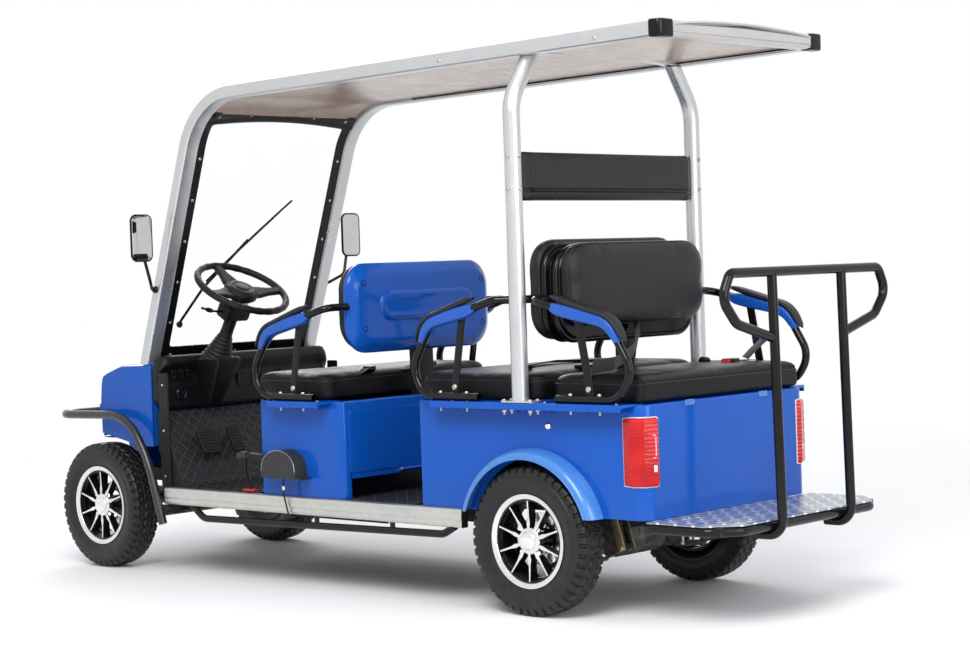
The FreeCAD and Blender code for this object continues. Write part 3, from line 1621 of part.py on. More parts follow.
def tie_rod():
    """The rod between the two steering arms, with an eye at each end."""
    y = front_axle_y + steering_arm
    z = axle_height - axle_eye_height / 2 - seating_gap - fork_wall - tie_rod_drop
    shapes = [rod(vec(-kingpin_x, y, z), vec(kingpin_x, y, z), tie_rod_radius, 6)]
    for x in (-kingpin_x, kingpin_x):
        shapes.append(rod(vec(x, y, z - tie_eye_height / 2), vec(x, y, z + tie_eye_height / 2),
                          tie_eye_radius, tube_sides))
    whole = joined(shapes)
    for x, gap in ((-kingpin_x, loose_gap), (kingpin_x, running_gap)):
        whole = whole.cut(rod(vec(x, y, z - tie_eye_height), vec(x, y, z + tie_eye_height),
                              tie_pin_radius + gap, bore_sides))
    return whole


def front_axle():
    """A beam with an upright eye at each end for the kingpin and two spring seats."""
    y = front_axle_y
    z = axle_height
    half = axle_eye_height / 2
    shapes = [rod(vec(-kingpin_x, y, z), vec(kingpin_x, y, z), beam_radius, tube_sides)]
    for x in (-kingpin_x, kingpin_x):
        shapes.append(rod(vec(x, y, z - half), vec(x, y, z + half), axle_eye_radius, tube_sides))
    for x in (-front_rail_x, front_rail_x):
        shapes.append(block(vec(x - spring_width / 2, y - beam_pad, z),
                            vec(x + spring_width / 2, y + beam_pad, z + beam_radius + beam_pad_rise)))
    whole = joined(shapes)
    for x in (-kingpin_x, kingpin_x):
        whole = whole.cut(rod(vec(x, y, z - overrun), vec(x, y, z + overrun), kingpin_radius + running_gap,
                              bore_sides))
    return whole


def rear_axle():
    """The driven axle: tube, differential case, motor and the two wheel spindles."""
    z = axle_height
    body = rod(vec(-rear_tube_end, 0, z), vec(rear_tube_end, 0, z), rear_tube_radius, rear_tube_sides)
    neck = case_radius * case_neck_share
    case = faceted_ring([(loose_gap, -case_half_width), (neck, -case_half_width * case_neck_share),
                         (case_radius, -case_flat), (case_radius, case_flat),
                         (neck, case_half_width * case_neck_share), (loose_gap, case_half_width)],
                        vec(case_x, 0, z), rear_tube_sides)
    motor = faceted_drum(motor_radius, 0, motor_length, vec(motor_x, motor_y, motor_z), disc_sides)
    shapes = [body, case, motor]
    for x in (-rail_x, rail_x):
        shapes.append(block(vec(x - spring_width / 2, -axle_seat_half_length, rear_spring_top),
                            vec(x + spring_width / 2, axle_seat_half_length, z)))
    for side in (-1, 1):
        shapes.append(rod(vec(side * rear_tube_end, 0, z), vec(side * (half_track + spindle_reach), 0, z),
                          spindle_radius))
    return joined(shapes)


def leaf_spring(x, y, top_z, sag, half_length, frame_z):
    """A stack of curved leaves with eyes, on a front hanger and a leaning rear shackle."""
    x_low = x - spring_width / 2
    x_high = x + spring_width / 2
    rise = [(half_length * step / leaf_steps, top_z + sag * (step / leaf_steps) ** 2)
            for step in range(1, leaf_steps + 1)]
    rise.insert(0, (axle_seat_half_length, top_z))
    stations = [(y - run, height) for run, height in rise[::-1]] + [(y + run, height) for run, height in rise]
    lower = []
    for index in range(len(stations) - 1):
        leaves = min(index + 1, len(stations) - 1 - index, leaf_steps)
        for along, height in stations[index:index + 2]:
            point = (along, height - leaf_wall * leaves)
            if point not in lower:
                lower.append(point)
    shapes = [side_shape(stations + lower[::-1], x_low, x_high)]
    end_z = top_z + sag
    front_end = (y - half_length, y - half_length)
    rear_end = (y + half_length, y + half_length - shackle_lean)
    for end_y, top_y in (front_end, rear_end):
        shapes.append(faceted_drum(eye_radius, 0, spring_width, vec(x_low, end_y, end_z), eye_sides))
        for plate_x in (x_low - hanger_wall, x_high):
            shapes.append(side_shape([
                (end_y - hanger_half_width, end_z - eye_radius),
                (end_y + hanger_half_width, end_z - eye_radius),
                (top_y + hanger_half_width, frame_z), (top_y - hanger_half_width, frame_z),
            ], plate_x, plate_x + hanger_wall))
    return joined(shapes)


def leaf_springs():
    rear = leaf_spring(rail_x, 0, rear_spring_top, rear_spring_eye_z - rear_spring_top,
                       rear_spring_half_length, rear_rail_bottom)
    front_top = axle_height + beam_radius + beam_pad_rise + leaf_wall * leaf_steps
    front = leaf_spring(front_rail_x, front_axle_y, front_top, front_spring_sag,
                        front_spring_half_length, front_rail_bottom)
    return rear, front


def build():
    os.makedirs("parts", exist_ok=True)
    save("frame_rails", frame_rails())
    save("cross_members", cross_members())
    save("floor_deck", floor_deck())
    save("sills", pair(sill()))
    save("side_bars", pair(side_bar()))
    save("front_seat_box", front_seat_box())
    save("seat_box_door", seat_box_door())
    save("rear_body", rear_body())
    save("wheel_liners", pair(wheel_liner()))
    small = cushion_small_corner
    large = cushion_corner
    save("front_cushion", cushion(front_cushion_front_y, front_cushion_rear_y, front_cushion_bottom,
                                  front_cushion_top, [small, small, large, large]))
    save("middle_cushion", cushion(middle_cushion_front_y, middle_cushion_rear_y, rear_cushion_bottom,
                                   middle_cushion_top, [small, small, large, large]))
    save("rear_cushion", cushion(rear_cushion_front_y, rear_cushion_rear_y, rear_cushion_bottom,
                                 rear_cushion_top, [large, large, small, small]))
    save("front_backrest_shell", front_backrest_shell())
    save("front_backrest_pad", front_backrest_pad())
    save("middle_backrest", middle_backrest())
    save("rear_backrest", rear_backrest())
    save("backrest_frames", backrest_frames())
    save("front_back_bracket", front_back_bracket())
    pads = []
    for name, pieces in (("front", front_armrest()), ("middle", middle_armrest()), ("rear", rear_armrest())):
        frame, pad = pieces
        save(name + "_armrests", pair(frame))
        pads += pair(pad)
    save("armrest_pads", pads)
    save("roof_sides", pair(roof_side()))
    save("roof_panel", roof_panel())
    save("roof_beams", [roof_beam(post_y), roof_beam(roof_rear_y - roof_beam_width / 2)])
    save("roof_posts", pair(roof_post()))
    save("headrest_bar", headrest_bar())
    save("windshield_frame", windshield_frame())
    save("windshield_glass", windshield_glass())
    save("wiper", wiper())
    save("mirrors", pair(mirror_set()))
    save("front_cowl", front_cowl())
    save("dashboard", dashboard())
    save("steering_wheel", steering_wheel())
    save("side_trims", pair(side_trim()))
    save("bumper_bar", bumper_bar())
    save("rear_step", rear_step())
    save("rear_handrail", rear_handrail())
    save("tail_lamps", pair(tail_lamp()))
    save("head_lamps", pair(head_lamp()))
    save("pedals", pedals())
    save("parking_brake", parking_brake())
    save("brake_cable", brake_cable())
    save("battery_block", battery_block())
    for name, side, y in (("front_left", 1, front_axle_y), ("front_right", -1, front_axle_y),
                          ("rear_left", 1, 0), ("rear_right", -1, 0)):
        save("tyre_" + name, tyre(side * half_track, y))
        save("rim_" + name, rim(side, y))
    save("knuckle_left", knuckle(1))
    save("knuckle_right", knuckle(-1))
    save("tie_rod", tie_rod())
    save("front_axle", front_axle())
    save("rear_axle", rear_axle())
    rear_spring, front_spring = leaf_springs()
    save("rear_springs", pair(rear_spring))
    save("front_springs", pair(front_spring))


build()
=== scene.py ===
"""An electric golf cart with six seats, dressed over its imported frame.

Lengths are metres and the Z axis points up. The cart faces -Y and its left side is +X.
Shapes are worked out with the rear axle at Y = 0 and moved onto the frame as each mesh
is written.
"""
import math

import bmesh
import bpy
import numpy as np
from bpy.props import FloatProperty, FloatVectorProperty, IntProperty, PointerProperty
from mathutils import Matrix, Vector


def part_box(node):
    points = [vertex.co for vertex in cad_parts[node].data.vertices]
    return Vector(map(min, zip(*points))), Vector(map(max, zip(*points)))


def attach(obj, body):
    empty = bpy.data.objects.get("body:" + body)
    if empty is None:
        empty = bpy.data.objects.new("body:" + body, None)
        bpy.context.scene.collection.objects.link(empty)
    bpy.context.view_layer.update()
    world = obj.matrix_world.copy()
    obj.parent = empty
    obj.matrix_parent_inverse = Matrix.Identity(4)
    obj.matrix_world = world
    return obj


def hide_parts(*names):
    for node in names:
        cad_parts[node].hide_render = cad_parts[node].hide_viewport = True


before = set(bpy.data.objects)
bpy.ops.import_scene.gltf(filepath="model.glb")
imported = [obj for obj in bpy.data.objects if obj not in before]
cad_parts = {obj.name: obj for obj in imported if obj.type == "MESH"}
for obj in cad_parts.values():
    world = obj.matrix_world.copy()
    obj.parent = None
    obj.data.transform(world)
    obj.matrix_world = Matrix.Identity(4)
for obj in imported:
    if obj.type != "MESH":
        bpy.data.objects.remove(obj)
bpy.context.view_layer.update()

bl_info = {
    "name": "Golf cart dressing",
    "version": (1, 0, 0),
    "blender": (4, 5, 0),
    "location": "View3D > Sidebar > Cart",
    "description": "Builds the visible pieces of an electric golf cart over its packed frame",
    "category": "Object",
}

PI = math.pi
X_AXIS, Y_AXIS, Z_AXIS = np.eye(3)
PHOTO_WIDTH = 970


def node_corner(node, end, axis):
    """One number of a node's box: end 0 is its low corner and end 1 its high one."""
    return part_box(node)[end][axis]


AXLE_Y = (node_corner("tyre_rear_left", 0, 1) + node_corner("tyre_rear_left", 1, 1)) / 2
WHEEL_Z = (node_corner("tyre_rear_left", 0, 2) + node_corner("tyre_rear_left", 1, 2)) / 2
FRONT_AXLE = (node_corner("tyre_front_left", 0, 1) + node_corner("tyre_front_left", 1, 1)) / 2 - AXLE_Y
HALF_TRACK = (node_corner("tyre_rear_left", 0, 0) + node_corner("tyre_rear_left", 1, 0)) / 2
BODY_HALF = node_corner("floor_deck", 1, 0)
AXLE = np.array((0.0, AXLE_Y, 0.0))


# Sizes and colours that a user may change

def length(name, description, default):
    """A length that the panel shows in the scene's unit."""
    return FloatProperty(name=name, description=description, default=default, unit="LENGTH", precision=4)


def colour(name, description, default):
    """A colour that the panel shows as a swatch."""
    return FloatVectorProperty(name=name, description=description, default=default, size=3,
                               subtype="COLOR", min=0.0, max=1.0)


class CartSizes(bpy.types.PropertyGroup):
    """Sizes of the cart's dressed pieces."""
    arm_tube: length("Armrest tube", "Outer radius of the armrest tubes", 0.013)
    guard_tube: length("Guard tube", "Outer radius of the front guard", 0.016)
    rail_tube: length("Handrail tube", "Outer radius of the rear handrail", 0.015)
    step_tube: length("Side bar tube", "Outer radius of the bars under the sills", 0.0125)
    post_tube: length("Roof post", "Outer radius of the roof posts", 0.027)
    tread_depth: length("Tread depth", "Depth of the grooves between the tread blocks", 0.0055)
    tread_pitches: IntProperty(name="Tread blocks", description="Blocks round one tyre", default=44, min=12)
    seam_radius: length("Seam piping", "Radius of the piping along the cushion seams", 0.0028)
    panel_edge: length("Panel edge", "Radius of the painted panels' folded edges", 0.006)
    bolt_radius: length("Bolt head", "Radius of the visible bolt heads", 0.0075)
    tube_steps: IntProperty(name="Tube steps", description="Sides of a round tube", default=24, min=8)


class CartColours(bpy.types.PropertyGroup):
    """Colours of the cart's finishes."""
    paint: colour("Paint", "Body paint", (0.004, 0.084, 0.44))
    # The lip paint is the body blue made lighter: a painted highlight on the arch lips.
    paint_highlight: colour("Lip paint", "Lighter paint of the arch lips", (0.05, 0.19, 0.52))
    black: colour("Black", "Black paint and plastic", (0.0045, 0.0045, 0.0052))
    leather: colour("Seat cover", "Leatherette of the seats", (0.0085, 0.0085, 0.01))
    aluminium: colour("Aluminium", "Roof, posts and sills", (0.58, 0.59, 0.6))
    rubber: colour("Rubber", "Tyres and mats", (0.0085, 0.0085, 0.009))
    steel: colour("Plated steel", "Bolts, shackles and hinges", (0.55, 0.54, 0.5))
    lamp: colour("Lamp red", "Tail lamp lens", (0.4, 0.003, 0.005))


def sizes():
    """The cart's sizes, as the panel has them."""
    return bpy.context.scene.cart_sizes


def colours():
    """The cart's colours, as the panel has them."""
    return bpy.context.scene.cart_colours


# Meshes from whole arrays

def new_piece(name, vertices, faces, material, body="chassis", replaces=(), slot=None, sharp=35.0):
    """Writes one mesh object at the origin, hangs it under its body and hides the nodes that it replaces; slot is not
    used.
    """
    vertices = np.asarray(vertices, dtype=float).reshape(-1, 3) + AXLE
    mesh = bpy.data.meshes.new(name)
    if isinstance(faces, np.ndarray):
        faces = [faces]
    quads = []
    for block in faces:
        quads += block.tolist() if isinstance(block, np.ndarray) else list(block)
    mesh.from_pydata(vertices, [], quads)
    mesh.polygons.foreach_set("use_smooth", np.ones(len(mesh.polygons), dtype=bool))
    mesh.update()
    weld(mesh)
    mesh.set_sharp_from_angle(angle=math.radians(sharp))
    piece = bpy.data.objects.new(name, mesh)
    bpy.context.collection.objects.link(piece)
    mesh.materials.append(material)
    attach(piece, body)
    if replaces:
        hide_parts(*replaces)
    return piece


def weld(mesh):
    """Merges doubled points and turns every face outwards."""
    work = bmesh.new()
    work.from_mesh(mesh)
    bmesh.ops.remove_doubles(work, verts=work.verts, dist=2e-5)
    bmesh.ops.dissolve_degenerate(work, edges=work.edges, dist=1e-6)
    bmesh.ops.recalc_face_normals(work, faces=work.faces)
    work.to_mesh(mesh)
    work.free()


def grid_faces(rows, columns, around=False, along=False, start=0):
    """Quads of a grid of rows by columns; around closes its columns and along its rows."""
    r = np.arange(rows if along else rows - 1)
    c = np.arange(columns if around else columns - 1)
    rr, cc = np.meshgrid(r, c, indexing="ij")
    r2 = (rr + 1) % rows
    c2 = (cc + 1) % columns
    quads = np.stack([rr * columns + cc, r2 * columns + cc, r2 * columns + c2, rr * columns + c2], -1)
    return quads.reshape(-1, 4) + start


class Solid:
    """Gathers grids of points into one mesh."""

    def __init__(self):
        self.points = []
        self.faces = []
        self.count = 0

    def grid(self, points, around=False, along=False):
        """Adds a surface given as rows by columns of points."""
        points = np.asarray(points, dtype=float)
        rows, columns = points.shape[:2]
        self.faces.append(grid_faces(rows, columns, around, along, self.count))
        self.points.append(points.reshape(-1, 3))
        self.count += rows * columns
        return self

    def fan(self, ring, centre=None):
        """Closes a ring of points with a fan about its middle."""
        ring = np.asarray(ring, dtype=float)
        middle = ring.mean(0) if centre is None else np.asarray(centre)
        n = len(ring)
        i = np.arange(n)
        self.faces.append(xyz(i, (i + 1) % n, n) + self.count)
        self.points.append(np.vstack([ring, middle]))
        self.count += n + 1
        return self

    def capped(self, points):
        """Adds a surface closed round its columns, with both ends fanned shut."""
        return self.grid(points, around=True).fan(points[0]).fan(points[-1])

    def copies(self, places):
        """Adds this solid's mirror or moved copies; each place is a 3 by 4 array."""
        base_points = np.vstack(self.points)
        base_faces = list(self.faces)
        base_count = self.count
        for place in places:
            moved = base_points @ place[:, :3].T + place[:, 3]
            self.faces += [block + self.count for block in base_faces]
            self.points.append(moved)
            self.count += base_count
        return self

    def piece(self, name, material, **facts):
        """Writes the mesh as a visible piece with the named finish."""
        return new_piece(name, np.vstack(self.points), self.faces, look(material), **facts)

    def pair(self, name, material, **facts):
        """Writes the mesh together with its mirror copy."""
        return self.copies([MIRROR]).piece(name, material, **facts)

    def tiers(self, outline, to_point, steps):
        """Adds a flat outline placed at each (scale, depth) step, its ends shut."""
        return self.capped([to_point(outline * scale, depth) for scale, depth in steps])

    def bar(self, *run, **closed):
        """Adds a section swept along a path, its ends shut."""
        return self.capped(swept(*run, **closed))

    def spun(self, *profile):
        """Adds a turned profile, its ends shut."""
        return self.capped(turned(*profile))


MIRROR = np.array([[-1.0, 0, 0, 0], [0, 1, 0, 0], [0, 0, 1, 0]])


def filleted(points, radii, steps=10, closed=False):
    """Straight runs through the points joined by tangent arcs, each arc in equal angles."""
    points = np.asarray(points, dtype=float)
    count = len(points)
    radii = np.broadcast_to(np.asarray(radii, dtype=float), (count,))
    runs = []
    for index, point in enumerate(points):
        if radii[index] <= 0 or (not closed and index in (0, count - 1)):
            runs.append(point[None])
            continue
        back = points[index - 1] - point
        ahead = points[(index + 1) % count] - point
        back /= np.linalg.norm(back)
        ahead /= np.linalg.norm(ahead)
        corner = math.acos(float(np.clip(back @ ahead, -1, 1)))
        sweep = PI - corner
        start = point + back * radii[index] / math.tan(corner / 2)
        middle = back + ahead
        centre = point + middle / np.linalg.norm(middle) * radii[index] / math.sin(corner / 2)
        t = np.linspace(0, sweep, steps + 1)[:, None]
        runs.append(centre + (start - centre) * np.cos(t) - back * radii[index] * np.sin(t))
    return np.vstack(runs)


def headings(path, closed=False):
    """Unit directions of a path at its points, halfway between its runs."""
    if closed:
        runs = np.roll(path, -1, 0) - path
        runs /= np.linalg.norm(runs, axis=1)[:, None] + 1e-12
        sums = runs + np.roll(runs, 1, 0)
    else:
        runs = np.diff(path, axis=0)
        runs /= np.linalg.norm(runs, axis=1)[:, None] + 1e-12
        sums = np.vstack([runs[:1], runs]) + np.vstack([runs, runs[-1:]])
    return sums / (np.linalg.norm(sums, axis=1)[:, None] + 1e-12)


def lengths_of(path):
    """Length run along a path up to each of its points."""
    return np.concatenate([[0], np.cumsum(np.linalg.norm(np.diff(path, axis=0), axis=1))])


def evenly(path, share):
    """The points of a path at the given shares of its length."""
    lengths = lengths_of(path)
    return np.stack([np.interp(share * lengths[-1], lengths, side) for side in path.T], -1)


def swept(path, section, upward=(0.31, 0.22, 0.92), closed=False):
    """A section of (across, up) points carried along a path.

    Each point is path + across * A + up * B, with B the upward direction made square to
    the path's heading and A square to both.
    """
    path = np.asarray(path, dtype=float)
    ahead = headings(path, closed)
    upward = np.asarray(upward, dtype=float)
    b = upward - (ahead @ upward)[:, None] * ahead
    b /= np.linalg.norm(b, axis=1)[:, None]
    a = np.cross(ahead, b)
    section = np.asarray(section, dtype=float)
    return path[:, None] + section[None, :, :1] * a[:, None] + section[None, :, 1:] * b[:, None]


def xyz(x, y, z):
    """Points from three arrays or numbers, spread over each other's shape."""
    return np.stack(np.broadcast_arrays(x, y, z), -1)


def all_round(steps):
    """Even angles of a full turn, the last one left out."""
    return np.linspace(0, 2 * PI, steps, endpoint=False)


def circle(radius, steps):
    """Points (radius cos t, radius sin t) for t all round."""
    t = all_round(steps)
    return radius * np.stack([np.cos(t), np.sin(t)], -1)


def rounded_box(half_width, half_height, corner, steps=4):
    """The outline of a rectangle with round corners, its middle at the origin."""
    w, h = half_width, half_height
    return filleted([(w, -h), (w, h), (-w, h), (-w, -h)], corner, steps, closed=True)


def divided(ring, like, step=0.02):
    """Adds points to the long sides of a closed ring, as many as the sides of like need."""
    counts = np.ceil(np.linalg.norm(np.roll(like, -1, axis=0) - like, axis=1) / step).astype(int).clip(1)
    parts = [a + (b - a) * (np.arange(n) / n)[:, None] for a, b, n in zip(ring, np.roll(ring, -1, axis=0), counts)]
    return np.concatenate(parts)


def round_tube(solid, points, radii, radius, steps=None, arc_steps=10):
    """Adds a round bar along filleted runs."""
    path = filleted(points, radii, arc_steps)
    return solid.bar(path, circle(radius, steps or sizes().tube_steps))


def lathe(profile, steps):
    """A (radius, offset) profile turned about X: y = r sin t, z = -r cos t."""
    t = all_round(steps)[:, None]
    r, along = np.array(profile).T[:, None]
    return xyz(along, r * np.sin(t), -r * np.cos(t))


def outline_shell(solid, half_width, half_height, corner, profile, to_point, steps=8):
    """A rounded rectangle carried through (inset, depth) steps, its last ring fanned shut.

    Each ring is the rectangle with its sides and its corner radius drawn in by the inset.
    """
    rings = []
    for inset, depth in profile:
        flat = rounded_box(half_width - inset, half_height - inset, max(corner - inset, 0.002), steps)
        rings.append(to_point(flat, depth))
    rings = np.stack(rings)
    return solid.grid(rings, around=True).fan(rings[0]).fan(rings[-1])


def standing(y, z, x=0.0, facing=1.0):
    """A placer for outline_shell: the outline stands about (x, z) and its depth runs along Y from y."""
    return lambda flat, depth: xyz(flat[:, 0] + x, y + facing * depth, flat[:, 1] + z)


def lying(x, y, z):
    """A placer for outline_shell: the outline lies about (x, y) and its depth runs up from z."""
    return lambda flat, depth: xyz(flat[:, 0] + x, flat[:, 1] + y, z + depth)


def tilted(centre, across, up, out):
    """A placer on any plane: the outline's two axes and the way its depth runs."""
    return lambda flat, depth: centre + flat[:, :1] * across + flat[:, 1:] * up + np.multiply(out, depth)


# Finishes

class Tree:
    """Short words for one node tree."""

    def __init__(self, tree):
        self.tree = tree

    def add(self, kind, inputs=None, out=0, **settings):
        """Adds a node, sets or links its inputs and gives back one output."""
        node = self.tree.nodes.new(kind)
        for key, value in settings.items():
            setattr(node, key, value)
        self.fill(node, inputs or {})
        return node.outputs[out]

    def fill(self, node, inputs):
        """Links each input that is given a socket and sets each that is given a value."""
        for key, value in inputs.items():
            if isinstance(value, bpy.types.NodeSocket):
                self.tree.links.new(value, node.inputs[key])
            else:
                node.inputs[key].default_value = value

    def math(self, operation, a, b=0.0, c=0.0, clamp=False):
        """One step of arithmetic."""
        return self.add("ShaderNodeMath", {0: a, 1: b, 2: c}, operation=operation, use_clamp=clamp)

    def mix(self, share, a, b, blend="MIX"):
        """A mix of two colours."""
        return self.add("ShaderNodeMix", {0: share, 6: a, 7: b}, out=2, data_type="RGBA", blend_type=blend)

    def noise(self, vector, scale, detail=3.0, roughness=0.5):
        """The value of a noise texture."""
        return self.add("ShaderNodeTexNoise",
                        {"Vector": vector, "Scale": scale, "Detail": detail, "Roughness": roughness})

    def smooth(self, value, low, high, to_low=0.0, to_high=1.0):
        """The value eased from to_low to to_high as it goes from low to high."""
        return self.add("ShaderNodeMapRange", {"Value": value, "From Min": low, "From Max": high, "To Min": to_low,
                                               "To Max": to_high}, interpolation_type="SMOOTHSTEP")

    def place(self):
        """The point in the object's own axes."""
        return self.add("ShaderNodeTexCoord", out=3)

    def mapped(self, vector, scale=(1, 1, 1), turn=(0, 0, 0)):
        """A vector turned and scaled."""
        return self.add("ShaderNodeMapping", {"Vector": vector, "Scale": scale, "Rotation": turn})

    def split(self, vector, axis):
        """One part of a vector: 0, 1 or 2."""
        return self.add("ShaderNodeSeparateXYZ", {0: vector}, out=axis)

    def group(self, name, inputs, out=0):
        """Adds one of the shared effects, sets or links its inputs and gives back one output."""
        node = self.tree.nodes.new("ShaderNodeGroup")
        node.node_tree = bpy.data.node_groups[name]
        self.fill(node, inputs)
        return node.outputs[out]


def effect(name, inputs, outputs, build):
    """A node group: inputs are (name, type, default), outputs (name, type)."""
    group = bpy.data.node_groups.new(name, "ShaderNodeTree")
    for label, kind, value in inputs:
        socket = group.interface.new_socket(label, in_out="INPUT", socket_type="NodeSocket" + kind)
        socket.default_value = value
    for label, kind in outputs:
        group.interface.new_socket(label, in_out="OUTPUT", socket_type="NodeSocket" + kind)
    tree = Tree(group)
    entry = group.nodes.new("NodeGroupInput")
    leave = group.nodes.new("NodeGroupOutput")
    results = build(tree, entry.outputs)
    for index, socket in enumerate(results):
        group.links.new(socket, leave.inputs[index])


def make_effects():
    """The effects that several finishes share."""
    def mottle(t, i):
        """Broad and fine noise shift the colour towards its tint."""
        place = t.place()
        broad = t.noise(place, i["Scale"], 2.0)
        fine = t.noise(place, t.math("MULTIPLY", i["Scale"], 14.0), 4.0, 0.6)
        both = t.math("ADD", t.math("MULTIPLY", broad, 0.6), t.math("MULTIPLY", fine, 0.4))
        share = t.math("MULTIPLY", t.smooth(both, 0.35, 0.68), i["Amount"])
        return [t.mix(share, i["Colour"], i["Tint"])]

    def dust(t, i):
        """Pale dust low on the cart, broken up by noise."""
        place = t.place()
        height = t.split(place, 2)
        low = t.smooth(height, i["Reach"], 0.0)
        cloud = t.smooth(t.noise(place, 38.0, 6.0, 0.65), 0.38, 0.75)
        share = t.math("MULTIPLY", t.math("MULTIPLY", low, cloud), i["Amount"], clamp=True)
        return [t.mix(share, i["Colour"], (0.33, 0.3, 0.26, 1)), share]

    def scuff(t, i):
        """Roughness wanders between its low and high value, with fine rubbed streaks."""
        place = t.place()
        cloud = t.noise(place, i["Scale"], 4.0, 0.6)
        streak = t.noise(t.mapped(place, (1.0, 9.0, 1.0), (0.3, 0.2, 0.7)), t.math("MULTIPLY", i["Scale"], 7.0), 2.0)
        both = t.math("ADD", t.math("MULTIPLY", cloud, 0.7), t.math("MULTIPLY", streak, 0.3))
        share = t.smooth(both, 0.3, 0.7)
        wide = t.math("SUBTRACT", i["High"], i["Low"])
        return [t.math("MULTIPLY_ADD", share, wide, i["Low"])]

    def grain(t, i):
        """Leather or moulded grain: rounded cells with creases between them."""
        place = t.place()
        cells = t.add("ShaderNodeTexVoronoi", {"Vector": place, "Scale": i["Scale"], "Randomness": 0.9},
                      feature="DISTANCE_TO_EDGE")
        crease = t.smooth(cells, 0.0, 0.22)
        fine = t.noise(place, t.math("MULTIPLY", i["Scale"], 2.4), 2.0)
        return [t.math("ADD", t.math("MULTIPLY", crease, 0.75), t.math("MULTIPLY", fine, 0.25))]

    def brushed(t, i):
        """Fine lines along the metal's length."""
        place = t.mapped(t.place(), i["Stretch"])
        return [t.noise(place, i["Scale"], 3.0, 0.7)]

    colour = ("Colour", "Color", (0.5, 0.5, 0.5, 1))
    scale = ("Scale", "Float", 6.0)
    amount = ("Amount", "Float", 0.3)
    effect("Mottle", [colour, ("Tint", "Color", (0.6, 0.6, 0.6, 1)), scale, amount], [("Colour", "Color")], mottle)
    effect("Dust", [colour, amount, ("Reach", "Float", 0.5)], [("Colour", "Color"), ("Mask", "Float")], dust)
    effect("Scuff", [scale, ("Low", "Float", 0.2), ("High", "Float", 0.3)], [("Roughness", "Float")], scuff)
    effect("Grain", [scale], [("Height", "Float")], grain)
    effect("Brushed", [scale, ("Stretch", "Vector", (1, 1, 1))], [("Height", "Float")], brushed)


def shade(rgb, factor=1.0):
    """A colour with its alpha, made lighter or darker and kept within 1."""
    return tuple(min(1.0, part * factor) for part in rgb) + (1.0,)


def toned(rgb, factor):
    """A colour made darker or lighter."""
    return tuple(part * factor for part in rgb)


def new_material(name):
    """A new material with its tree and its shader."""
    material = bpy.data.materials.new(name)
    material.use_nodes = True
    return material, Tree(material.node_tree), material.node_tree.nodes["Principled BSDF"]


def finish(name, base, rough=(0.3, 0.4), metallic=0.0, coat=0.0, tint=None, mottle=0.35, mottle_scale=5.0,
           grain=None, brushed=None, dust=0.25, reach=0.45, shine=0.5, sheen=0.0, height=None, recolour=None):
    """A painted, moulded or metal finish; grain is (scale, strength), brushed (scale, stretch, strength).

    height and recolour are functions of the tree that give a bump height and a new colour.
    """
    material, tree, shader = new_material(name)
    colour = tree.group("Mottle", {"Colour": shade(base), "Tint": shade(tint or base, 1.0 if tint else 1.35),
                                   "Scale": mottle_scale, "Amount": mottle})
    if recolour:
        colour = recolour(tree, colour)
    colour = tree.group("Dust", {"Colour": colour, "Amount": dust, "Reach": reach})
    roughness = tree.group("Scuff", {"Scale": 9.0, "Low": rough[0], "High": rough[1]})
    tree.fill(shader, {"Base Color": colour, "Roughness": roughness, "Metallic": metallic,
                       "Specular IOR Level": shine, "Coat Weight": coat, "Coat Roughness": 0.04,
                       "Sheen Weight": sheen})
    bump = None
    distance = 0.001
    if grain:
        bump, strength = tree.group("Grain", {"Scale": grain[0]}), grain[1]
    elif brushed:
        bump = tree.group("Brushed", {"Scale": brushed[0], "Stretch": brushed[1]})
        strength = brushed[2]
    if height:
        bump, strength, distance = height(tree)
    if bump is not None:
        normal = tree.add("ShaderNodeBump", {"Height": bump, "Strength": strength, "Distance": distance})
        tree.fill(shader, {"Normal": normal})
    return material


def wave_pair(t, place, step, width):
    """Two sets of crossed diagonal lines in plan, each line the given share wide."""
    x, y = t.split(place, 0), t.split(place, 1)
    lines = []
    for sign in (1.0, -1.0):
        run = t.math("ADD", x, t.math("MULTIPLY", y, sign))
        fraction = t.math("PINGPONG", t.math("DIVIDE", run, step), 0.5)
        lines.append(t.smooth(fraction, 0.0, width))
    return t.math("MULTIPLY", lines[0], lines[1])


def quilt_height(t):
    """Cushioned diamonds between stitched diagonal channels, over a fine grain."""
    pattern = wave_pair(t, t.add("ShaderNodeUVMap", uv_map="mat"), 0.052, 0.16)
    grain = t.group("Grain", {"Scale": 420.0})
    return t.math("ADD", pattern, t.math("MULTIPLY", grain, 0.08)), 0.9, 0.004


def quilt_colour(t, colour):
    """Pale stitching lies in the channels between the diamonds."""
    pattern = wave_pair(t, t.add("ShaderNodeUVMap", uv_map="mat"), 0.052, 0.035)
    return t.mix(pattern, (0.06, 0.06, 0.066, 1), colour)


def chequer_mask(t):
    """Short raised bars, turned a quarter turn from one square to the next."""
    step = 0.066
    place = t.place()
    x = t.math("DIVIDE", t.math("ADD", t.split(place, 0), t.split(place, 1)), step)
    y = t.math("DIVIDE", t.math("SUBTRACT", t.split(place, 1), t.split(place, 0)), step)
    parity = t.math("PINGPONG", t.math("ADD", t.math("FLOOR", x), t.math("FLOOR", y)), 1.0)
    u = t.math("ABSOLUTE", t.math("SUBTRACT", t.math("FRACT", x), 0.5))
    v = t.math("ABSOLUTE", t.math("SUBTRACT", t.math("FRACT", y), 0.5))
    turned = t.math("SUBTRACT", 1.0, parity)
    long = t.math("ADD", t.math("MULTIPLY", u, parity), t.math("MULTIPLY", v, turned))
    short = t.math("ADD", t.math("MULTIPLY", v, parity), t.math("MULTIPLY", u, turned))
    ellipse = t.math("ADD", t.math("POWER", t.math("DIVIDE", long, 0.46), 2.0),
                     t.math("POWER", t.math("DIVIDE", short, 0.15), 2.0))
    return t.smooth(ellipse, 1.0, 0.55)


def chequer_height(t):
    """The raised bars as a bump: height, strength and distance."""
    return chequer_mask(t), 1.0, 0.0018


